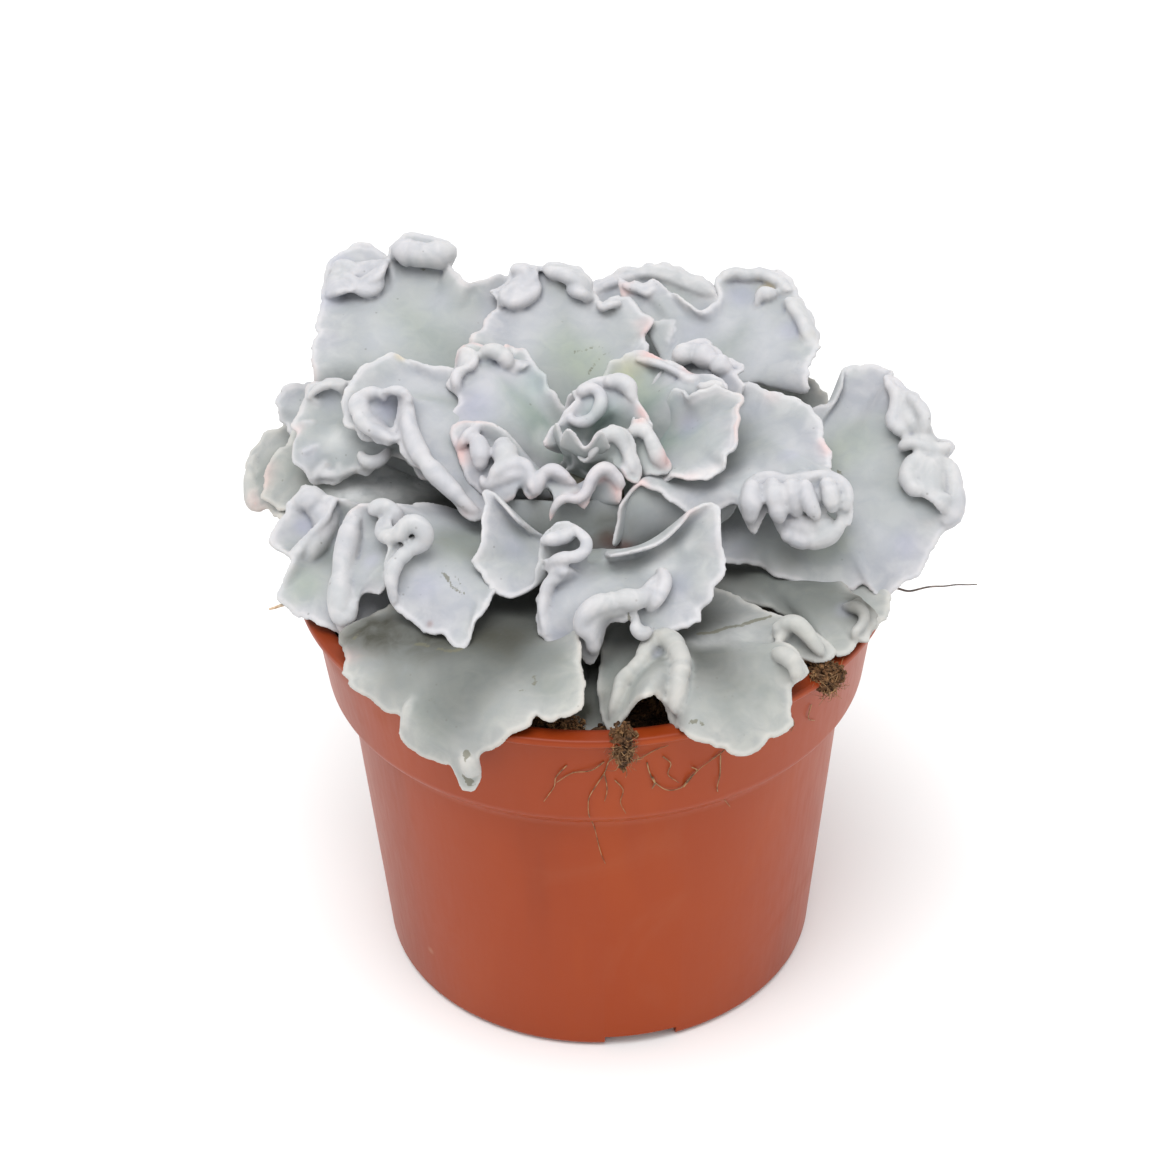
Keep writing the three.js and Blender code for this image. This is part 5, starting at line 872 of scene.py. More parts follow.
# Stretches of margin that roll up into thick folds: x, y, z and half the thickness.
rolls = {
    "leaf_back_left": [
        [(-40.7, 57.7, 129.3, 1.1), (-39.5, 57.2, 131.4, 2.4), (-37.4, 56.2, 131.6, 3),
         (-35.1, 55.9, 131.3, 2.6), (-33.3, 55.9, 131.1, 2.5), (-31.1, 56.2, 131.1, 2.9),
         (-29.1, 56.8, 131.2, 2.5), (-28, 57.6, 130.9, 1.5)],
        [(-38.2, 60.4, 131, 1.1), (-36.8, 58, 132.1, 1.4), (-35.7, 59.6, 130.7, 1.1)],
        [(-53.8, 57.6, 127.1, 0.8), (-52.9, 57.7, 128.1, 1.6), (-51.1, 57, 128.1, 2.1),
         (-48.7, 55.8, 127.4, 2.3), (-46.2, 55.3, 127.1, 1.9), (-44.2, 56, 127.7, 1.3)],
        [(-53.4, 56.6, 127.3, 0.8), (-51.9, 54.5, 127.5, 1.1), (-50.2, 52.8, 127.6, 1.2),
         (-48.7, 50.9, 127.4, 1.3), (-47.3, 49.2, 126.8, 1.3), (-45.6, 48.8, 126.6, 1.1),
         (-44.1, 49.9, 127, 1.1), (-43.6, 51.6, 127.6, 0.9), (-44.5, 53.2, 128, 0.9),
         (-45.8, 53.9, 127.7, 0.8), (-46.6, 54.1, 126.7, 0.6)]],
    "leaf_back": [
        [(-15.4, 50.6, 128.7, 0.8), (-15.1, 50.7, 129.9, 1.2), (-13.4, 50.2, 130.1, 1.3),
         (-12.7, 48.7, 129.3, 1.2), (-13.9, 47.3, 128.7, 1), (-15.5, 46.2, 128.4, 1.2),
         (-16.9, 45.2, 127.8, 1.3), (-17.7, 44.2, 127.2, 1.2), (-16.4, 43.1, 126.6, 1.3),
         (-14.5, 43.1, 126.6, 1.3), (-12.8, 44, 127, 1.3), (-11.3, 45.5, 127.5, 1.3),
         (-10.8, 47.5, 128.2, 1.2), (-11.8, 49.1, 128.3, 0.8)],
        [(-9.3, 51.1, 129.7, 0.9), (-7.3, 49.2, 130.1, 1.6), (-5.1, 47.9, 130.2, 1.8),
         (-2.9, 46.7, 129.6, 1.8), (-1.2, 45.9, 128.3, 1.4), (0.1, 45.7, 126.5, 1)],
        [(-4.1, 47.3, 127.6, 0.8), (-2.9, 44.9, 127.9, 1.2), (-1.2, 44, 127.7, 1.2), (0.2, 44.6, 125.9, 0.9)],
        [(2, 43.9, 126.1, 0.8), (2.8, 41.6, 125.8, 1), (4.3, 41.9, 126.2, 1), (6.7, 44, 125.4, 0.8)]],
    "leaf_back_left_inner": [
        [(-26.1, 15.8, 121.9, 0.7), (-26.9, 16.4, 123.3, 1.4), (-26.6, 18, 124.5, 1.5), (-25, 19.4, 125, 1.2),
         (-23.7, 20.6, 125.2, 1.2), (-23.2, 22.3, 125.7, 1.1), (-24, 23.9, 126.1, 1.1),
         (-25.5, 24.7, 126, 1.1), (-26.4, 24.8, 124.7, 0.9)],
        [(-22.2, 23.4, 124.2, 0.7), (-21.6, 23.8, 125.9, 1.3), (-19.8, 23.8, 126.5, 1.5),
         (-17.8, 22.9, 126, 1.6), (-16.7, 22, 124.9, 1.4), (-17.6, 21.7, 123.5, 1)],
        [(-17.3, 22.6, 123.7, 0.6), (-15.9, 22.2, 123.3, 1), (-14.4, 21.7, 122.6, 0.9)]],
    "leaf_left_inner": [
        [(-38.7, 3.9, 117.9, 0.9), (-40.3, 4.8, 118.3, 1.2), (-42.2, 6.1, 118.7, 1.5), (-44.1, 7, 119.4, 1.6),
         (-45.5, 8.2, 120.4, 1.6), (-46.3, 9.6, 121.4, 1.5), (-46.8, 11, 122.3, 1.4), (-46, 12.1, 123.3, 1.2),
         (-44.1, 12, 124.2, 1.2), (-42.4, 11.3, 124.8, 1.1), (-41.1, 10.9, 124.3, 0.9),
         (-41, 11, 122.6, 0.5)],
        [(-41.2, 10.7, 125.1, 0.7), (-39.2, 9.8, 126.1, 1.1), (-37.4, 9.4, 126, 1.2), (-36.2, 9, 125, 1.2),
         (-36.3, 8.6, 123.6, 1.1), (-37.1, 8.5, 121.4, 0.9)],
        [(-36, 11.3, 124, 0.7), (-36.2, 7.4, 121.8, 1.5), (-35.5, 3.6, 119.6, 1.8), (-33.9, -0.3, 117.7, 1.9),
         (-31.3, -3.9, 116, 1.9), (-28.3, -7, 114.3, 1.8), (-25, -9.7, 112.1, 1.5), (-22, -11.1, 109.7, 0.8)],
        [(-43.3, 6.1, 116.8, 0.7), (-41.4, 5.4, 117.2, 1), (-39.4, 4.2, 117.2, 0.9)]],
    "leaf_left_upper": [
        [(-46.7, 9.7, 112.1, 0.7), (-45.7, 7.7, 111.6, 1.2), (-44.3, 6.6, 111.3, 1.5),
         (-42.5, 6.9, 111.5, 1.5), (-41.2, 8.2, 112, 1.2), (-40.8, 9.9, 112.4, 0.7)],
        [(-57.2, 22.2, 116.7, 0.5), (-56, 22.1, 118.6, 0.9), (-54.3, 22.2, 119.8, 1), (-52.4, 22.2, 120.1, 1),
         (-50.7, 22, 119.5, 0.9), (-49.6, 21.9, 118, 0.6)],
        [(-53, 10.9, 109.5, 0.5), (-54.6, 9.9, 107.6, 0.9), (-56, 8.9, 105.8, 0.6)],
        [(-50.7, 9.7, 109.4, 0.5), (-50.7, 8.7, 107.4, 1), (-51.1, 7.8, 105.5, 0.6)],
        [(-55, 12.8, 111.7, 0.5), (-56.7, 12.4, 110.9, 0.9), (-58.5, 12, 110.2, 0.6)],
        [(-55.5, 17.8, 113.7, 0.5), (-57.4, 18.2, 113.7, 0.9), (-59.1, 18.5, 113.6, 0.6)],
        [(-54.6, 21.4, 115.7, 0.5), (-56, 22.3, 116.6, 0.9), (-57.2, 23, 117.3, 0.6)],
        [(-55.6, 9.5, 107.3, 0.6), (-53.4, 9, 107, 0.9), (-51, 8.4, 107.3, 0.9), (-48.7, 8.2, 108.3, 0.9),
         (-47, 8.3, 109.3, 0.7)]],
    "leaf_front_inner": [
        [(-25.7, 1, 117.7, 0.6), (-25, 0.9, 119.8, 1), (-23.8, 1.9, 120.8, 1.1), (-22.1, 3.3, 120.2, 0.9)],
        [(-22.7, 2.2, 119.9, 1.3), (-22.1, -1.1, 119.6, 2.2), (-21.8, -3.3, 118.2, 2.2),
         (-22.1, -3.5, 115.6, 1.3)],
        [(-18.1, 0.8, 119.2, 1.3), (-17.1, -2.3, 119.3, 2.2), (-16.9, -4.7, 118.1, 2.1),
         (-17.7, -5.2, 116, 1.3)],
        [(-21.8, -4.6, 115.1, 0.6), (-21, -7, 114.7, 1.1), (-19.7, -7.9, 115, 1.3), (-18.9, -7.2, 116.7, 1.5),
         (-17.3, -6.4, 117.7, 1.7), (-15.1, -6, 118.1, 1.8), (-13.1, -6.5, 118, 1.5),
         (-11.9, -8.3, 117.1, 1.2), (-11.8, -10.3, 115.8, 1), (-11.2, -11.2, 114.6, 0.8)],
        [(-10.8, -10.7, 114.6, 0.6), (-10.3, -9.7, 116.2, 1.1), (-9.5, -8.3, 117.5, 1.3),
         (-7.6, -8.4, 118.4, 1.3), (-5.7, -9.6, 118, 1.1), (-4.1, -10.2, 116.8, 0.8),
         (-3.1, -10, 115.5, 0.5)],
        [(-8.4, -15, 112.1, 0.4), (-7.6, -14.6, 113.6, 0.7), (-6.6, -14, 114.8, 1), (-4.9, -13.8, 115.4, 1.1),
         (-2.9, -14.2, 115.4, 1.2), (-1.4, -13.3, 116.4, 1.1), (-0.6, -11.9, 117.8, 1.1),
         (0.6, -10.7, 119.1, 1.2), (2.4, -10.2, 119.8, 1.3), (4.2, -10.7, 118.9, 1.1),
         (5.4, -11.5, 117.4, 0.9), (5.9, -11.9, 116, 0.6)]],
    "leaf_left_low": [
        [(-70.5, 30.8, 98.6, 0.9), (-71, 27.9, 97, 1.4), (-70.9, 23.6, 95, 1.6), (-70.2, 19.8, 93.6, 1.6),
         (-68.7, 18, 93.2, 1)]],
    "leaf_back_right": [
        [(27.6, 46.2, 128.4, 0.8), (28.4, 47.3, 129.4, 1.2), (30.6, 48.1, 129.8, 1.3),
         (32.9, 47.7, 129.4, 1.4), (35.7, 47.2, 129.9, 1.4), (38.5, 45.5, 129.6, 1.6),
         (40.5, 43.7, 128.9, 1.4), (39.8, 42.3, 127.9, 1.3)],
        [(38.7, 42.9, 128.4, 1.2), (37.4, 41.8, 128.1, 1.7), (36, 42, 128.3, 1.6), (35, 41.2, 127.2, 1),
         (34.4, 40.4, 125.6, 0.5)],
        [(40.7, 40.5, 127.9, 1), (42, 37.8, 127.1, 1.5), (43.2, 34.7, 126.4, 1.5), (44.2, 31.1, 125.1, 1.3),
         (44.5, 28.3, 123.2, 0.8)],
        [(7, 50.4, 126.5, 0.5), (8.3, 49.1, 126.4, 0.9), (10.3, 47.8, 126.6, 0.9), (12.3, 46.5, 126.3, 0.9),
         (14.1, 47.1, 127.2, 0.7)]],
    "leaf_back_under": [
        [(1.4, 58.8, 119.5, 0.6), (3.2, 60.1, 120.3, 1), (6.3, 61.6, 120.8, 1.2), (9.6, 62.9, 121.3, 1.2),
         (12.8, 63.5, 121.5, 1.2), (16, 62.8, 121.2, 1.2), (18.7, 61.3, 120.6, 1.1), (21.7, 59.7, 120, 1.1),
         (24.5, 58.5, 119.4, 0.9), (26.7, 57.5, 118.7, 0.6)]],
    "leaf_right_low": [
        [(59.4, 18.6, 122.2, 0.7), (59.6, 15.1, 121.9, 1.2), (60.8, 12, 121.3, 1.4), (60.4, 9.5, 119.6, 1.4),
         (59.7, 7.6, 118.2, 1.6), (60.7, 6, 117.3, 1.6), (62.8, 5.5, 116.8, 1.3), (64.1, 6.6, 117.5, 1.1),
         (63.6, 8.4, 118, 0.8)],
        [(62.5, 13.5, 120.9, 0.6), (63.3, 11.1, 121.4, 1.4), (64.7, 8.1, 121.3, 1.7), (65.7, 5.8, 120.3, 1.5),
         (65.5, 4.8, 118.7, 1.3), (64.8, 4.6, 116.8, 1.2), (65.6, 4.9, 115.1, 0.9)],
        [(61.1, 4, 113.5, 0.8), (61.8, 3.2, 115.1, 1.5), (63.4, 2.7, 115.9, 1.7), (65, 2.1, 115.7, 1.7),
         (67, 1.7, 114.9, 1.5), (69.3, 2.4, 114.9, 1.2), (71.2, 3.7, 114.8, 0.6)],
        [(68.3, 1.1, 111.8, 0.6), (66.2, 0.2, 112.9, 1.5), (63.6, -0.4, 113.5, 1.7), (62.1, -2.5, 112.5, 1.7),
         (62.1, -4.7, 111.1, 1.7), (63.8, -5.7, 110.4, 1.5), (66.2, -5.7, 110.2, 1.4),
         (68.1, -6.2, 108.7, 1.2), (69.1, -6.4, 106.7, 0.6)],
        [(69.3, 2, 112.6, 0.8), (70.3, 0.4, 111.8, 1.7), (71.1, -2, 110.1, 2.1), (71.4, -4.5, 108.2, 2.1),
         (71, -6.8, 106.3, 1.8), (69.7, -8.2, 104.9, 1.3), (67.9, -8.1, 105.2, 0.6)]],
    "leaf_right_upper": [
        [(31.1, -12.4, 117.6, 1.4), (30.4, -15.2, 116.8, 1.9), (30.2, -17.5, 114.8, 2),
         (29.9, -18.1, 111.4, 1.3)],
        [(34.2, -12.8, 118.2, 1.6), (34.7, -15.9, 117.2, 2), (35.1, -18.1, 115.1, 1.9),
         (36, -18.6, 111.8, 1.1)],
        [(37.6, -14, 118.6, 1.6), (38.3, -16.5, 117.5, 1.9), (38.8, -17.7, 115, 1.7),
         (39.2, -17.3, 112.4, 0.9)],
        [(40.3, -14.9, 119.1, 1.6), (40.7, -17.8, 117.9, 1.9), (41.6, -19.4, 115.9, 1.7),
         (43.1, -19.5, 113.2, 1.1)],
        [(44.3, -14.4, 119, 1.5), (45.2, -17.1, 118.1, 1.7), (45.5, -18.4, 116.4, 1.6),
         (45.8, -18.3, 113.9, 1)],
        [(29.4, -11.1, 116, 0.6), (31.6, -10.7, 117.2, 0.9), (34.7, -11.2, 117.8, 1),
         (37.6, -12.3, 117.8, 0.9), (40.6, -12.7, 118.6, 1), (43.9, -13.1, 119.1, 1.1),
         (46.7, -14.2, 119, 1.1), (48.3, -15.8, 118.1, 1.2), (48.7, -17.4, 116.3, 1.2),
         (47.7, -18.6, 114.2, 0.9)],
        [(32.2, -13.6, 115.7, 1.4), (35, -14.2, 115.5, 1.9), (38.3, -15, 115.6, 2), (41.6, -15.6, 115.7, 2.1),
         (45, -15.8, 116, 1.9), (47.4, -15.9, 116.5, 1.2)],
        [(35.8, -18.1, 109.8, 0.9), (38.2, -19.2, 108.8, 1.6), (41, -20, 108.6, 1.9),
         (43.9, -20.1, 109.2, 1.9), (46.3, -19.7, 110.6, 1.6), (47.9, -18.6, 112.7, 1.1)],
        [(36.8, -17.4, 111.2, 1.5), (39.7, -17.9, 110.5, 2.5), (43, -18.2, 110.6, 2.7),
         (45.9, -17.8, 112, 2)]],
    "leaf_back_right_inner": [
        [(17.5, 19.6, 124.4, 1.2), (18.7, 20.5, 126.5, 2.4), (20.6, 21.4, 126.8, 1.8),
         (22.6, 19.9, 126.7, 2.5), (24.4, 18.2, 126.4, 1.8), (26.3, 16, 126.4, 2.2), (28.3, 15.4, 125.4, 1)]],
    "leaf_back_right_heart": [
        [(9, 19.4, 126.2, 0.5), (11.9, 17.9, 126.7, 0.9), (14.9, 15.7, 126.8, 0.9), (17.7, 13.1, 126.6, 1),
         (19.6, 11.2, 126.2, 1.1), (21.4, 11.4, 126.4, 0.8)],
        [(21.4, 9.6, 126.5, 0.7), (22.4, 8, 126.3, 1.1), (24.4, 7.8, 127, 1.1), (25.7, 7.6, 126.4, 0.8),
         (24, 7.8, 125.4, 0.6)]],
    "heart_leaf_back": [
        [(-3.6, 3.5, 123.8, 0.5), (-4.1, 2.7, 123, 0.9), (-2.4, 2.3, 122.4, 1.2), (-0.6, 2.5, 122.7, 1.3),
         (1.1, 3.3, 124, 1.4), (2, 4.6, 125.6, 1.5), (1.5, 6.2, 126.9, 1.4), (-0.2, 7, 127.4, 1.3),
         (-1.8, 6.8, 126.7, 1.2), (-2.4, 6.4, 125.6, 0.7)],
        [(2.5, 8.4, 126.7, 0.8), (3.9, 8.7, 127.6, 1.6), (5.6, 8.6, 127.8, 1.7), (7.2, 7.6, 127.3, 1.7),
         (8, 6, 126.1, 1.4), (8.4, 4.6, 124.9, 0.8)],
        [(-5.3, 2.6, 113.9, 0.7), (-3.9, 3, 115.7, 1.4), (-2.1, 3.7, 115.8, 1.5), (-0.4, 4.4, 114.3, 0.9)]],
    "heart_leaf_front": [
        [(-0.6, -7.3, 120.1, 0.8), (0.3, -6.2, 121.7, 1.3), (1.7, -5.1, 123.2, 1.5), (3.4, -4.5, 123.9, 1.6),
         (5.1, -4.6, 123.5, 1.7), (6.3, -5.6, 121.9, 1.7), (7.1, -7.3, 119.9, 1.6), (7.7, -8.7, 118.4, 1.4),
         (8.4, -9.6, 117.4, 0.8)]],
    "heart_leaf_right": [
        [(7.3, -3.8, 121.7, 0.9), (7.9, -3, 123.1, 1.5), (9.2, -2.9, 123.8, 1.7), (10.8, -4, 123.3, 1.7),
         (12, -5.8, 121.4, 1.7), (13, -7.2, 119.4, 1.5), (13.8, -8.2, 117.8, 0.7)]],
    "leaf_front_upper": [
        [(-10.2, -25.4, 113.3, 0.8), (-8.6, -26.4, 114.3, 1.3), (-6.6, -26.5, 114.7, 1.4),
         (-4.7, -25.8, 114.9, 1.2), (-4.2, -23.8, 115.4, 0.6)],
        [(-4.1, -24.4, 116.1, 0.5), (-2.8, -26.6, 116, 1), (-1.5, -28.7, 115.3, 1.2), (-1.7, -30, 114.3, 1.2),
         (-3.3, -30.8, 113.5, 1.2), (-5.4, -30.6, 113, 1.3), (-7.4, -29.7, 111.7, 1.2),
         (-8.9, -28.5, 109.7, 0.8)],
        [(-9.1, -27.6, 108.9, 0.6), (-7.5, -30.3, 109.7, 1), (-5.8, -31.4, 110.6, 1.1),
         (-4.5, -31, 110.6, 0.7)],
        [(-5.4, -31.4, 109.5, 0.5), (-7.1, -31.4, 108.9, 1.1), (-8.5, -31.2, 107.8, 1.2),
         (-9.4, -32, 105.9, 1.2), (-9.9, -33.8, 103.7, 1.1), (-9.7, -36, 101.7, 1), (-9, -37.6, 100.1, 0.7)],
        [(-1.1, -40.8, 97.8, 0.8), (-0.6, -41.2, 100.5, 1.7), (-1.4, -40.9, 102.8, 2),
         (-2.7, -40.5, 104, 1.9), (-2.2, -39.7, 105.9, 2), (0.2, -38.8, 107.6, 2.2), (3, -38.3, 108, 2.2),
         (5.1, -37.4, 107.8, 1.9)],
        [(3.4, -37.2, 107.4, 1.5), (5.5, -38.1, 108.4, 2.1), (8, -37.6, 108.1, 1.9), (9.6, -35.8, 108.1, 1.5),
         (10.9, -33.1, 108.4, 1.2), (11.8, -30.4, 108.3, 0.7)],
        [(9.5, -37, 104.7, 0.7), (11.1, -36.9, 106.9, 1.3), (12.5, -35.3, 108.2, 1.4), (13.2, -33, 109, 1.4),
         (12.6, -30.5, 109.4, 1.1), (11.4, -29.2, 108.2, 0.6)],
        [(8, -38.7, 104.9, 0.6), (7.4, -41.1, 104.2, 1.3), (8.6, -41.4, 102.9, 1.4),
         (10.2, -39.4, 102.4, 0.9)]],
    "leaf_front_right_low": [
        [(2, -52.4, 91.2, 0.6), (3.3, -51.2, 93.9, 1.3), (4.2, -49.5, 95.9, 1.6), (4.7, -48.1, 97, 1.6),
         (6.5, -47.1, 98.2, 1.7), (8.1, -45.7, 98.9, 1.7), (9.1, -43.2, 99.6, 1.7), (10, -40.7, 99.7, 1.8),
         (11.9, -39.5, 100.6, 2), (14.1, -41.2, 100.8, 2), (15.2, -44.8, 101, 1.9), (15.7, -48.5, 100.6, 1.9),
         (15.1, -51.3, 99.6, 1.9), (14.7, -53.3, 97.9, 1.9), (14.4, -54.6, 96.3, 1.7),
         (14.8, -55.3, 94.2, 0.9)],
        [(33.7, -35.9, 98.3, 0.7), (34.5, -36.3, 99.6, 1.7), (35.9, -36.2, 100.7, 1.9),
         (37.8, -36.8, 101.1, 2), (39.4, -38.1, 100.3, 1.9), (40.7, -39.3, 99, 1.7), (42, -40.1, 97.4, 1.4),
         (43, -40, 96, 0.8)],
        [(33, -44, 100, 0.6), (33.8, -45.6, 100.7, 1.5), (35.2, -47.1, 101.2, 1.9), (36.5, -48.6, 100.7, 1.9),
         (36.9, -49.6, 99.3, 1.6), (36.1, -49.4, 97.4, 0.8)]],
    "leaf_right_front_low": [
        [(47.3, -27.6, 98.5, 0.5), (48.7, -28.9, 99, 1.2), (50.2, -29.9, 99.4, 1.4), (51.3, -31.3, 98.9, 1.3),
         (50.6, -32.9, 97.8, 1.2), (49.5, -33.8, 96.9, 1.1), (49, -34, 95.2, 0.8)]],
    "leaf_left_front_low": [
        [(-58.9, -1.4, 105.4, 1.1), (-57.7, -0.6, 106.5, 2.3), (-55.7, -0.2, 106.8, 2.7),
         (-53.7, -1.5, 105.3, 2.7), (-53.1, -3.7, 103.3, 2.5), (-54, -6.3, 101.7, 2.3),
         (-55.7, -9, 100.8, 2.1), (-57.4, -11.2, 100, 1.3)]],
    "leaf_left_front": [
        [(-45.4, -11.5, 110.2, 1), (-47, -13, 109, 2.3), (-47.9, -15.3, 106.6, 2.7),
         (-48.6, -18.3, 104.2, 2.9), (-48.9, -21.5, 102, 2.9), (-49, -24.7, 99.7, 2.8),
         (-48.5, -26.9, 97.8, 2.4), (-47.2, -27.1, 98.5, 1.8), (-46, -25.7, 100.9, 1)],
        [(-43.3, -11.1, 110.9, 0.8), (-42.6, -11.6, 112, 1.6), (-40.9, -11.6, 112.9, 1.8),
         (-39, -12.3, 112.1, 1.9), (-38.8, -13.4, 110.4, 1.8), (-40.7, -14.6, 110.1, 1.6),
         (-41, -17.3, 110.5, 1.4), (-39, -20.5, 111.6, 1.6), (-36.9, -21.5, 113.2, 1.6),
         (-35.6, -20.8, 114.7, 1.7), (-33.8, -21, 114.8, 1.7), (-32.3, -21.8, 113.3, 1.7),
         (-32.7, -22.2, 111.4, 1.7), (-34.8, -22.8, 110.4, 1.7), (-36.6, -24.3, 109.7, 1.7),
         (-38, -26, 108.8, 1.7), (-38.7, -27.7, 107.1, 1.5), (-38.5, -29, 105.2, 1.3),
         (-37.7, -29.8, 103, 0.8)]],
    "leaf_front_left_low": [
        [(-25.4, -58.3, 88.5, 0.6), (-24.7, -58.9, 87.1, 1.3), (-24, -59.5, 85.3, 1.5),
         (-23.8, -59.8, 83.9, 1.3)],
        [(-34.3, -48.2, 94, 0.4), (-35.5, -48.9, 92.6, 0.8), (-36, -50.1, 91, 0.8),
         (-36.1, -51.3, 89.4, 0.6)]],
}
# Rolls that stand free of the margin, with no blade turned over between the two.
openRolls = { "leaf_back_left": (1,), "leaf_left_upper": (2, 3, 4, 5, 6), "leaf_front_inner": (1, 2),
    "leaf_back_right": (1,), "leaf_right_upper": (0, 1, 2, 3, 4, 6, 7, 8), "leaf_back_right_inner": (0,),
    "heart_leaf_back": (0, 1, 2), "leaf_front_upper": (1, 5, 6), "leaf_front_right_low": (0,)}
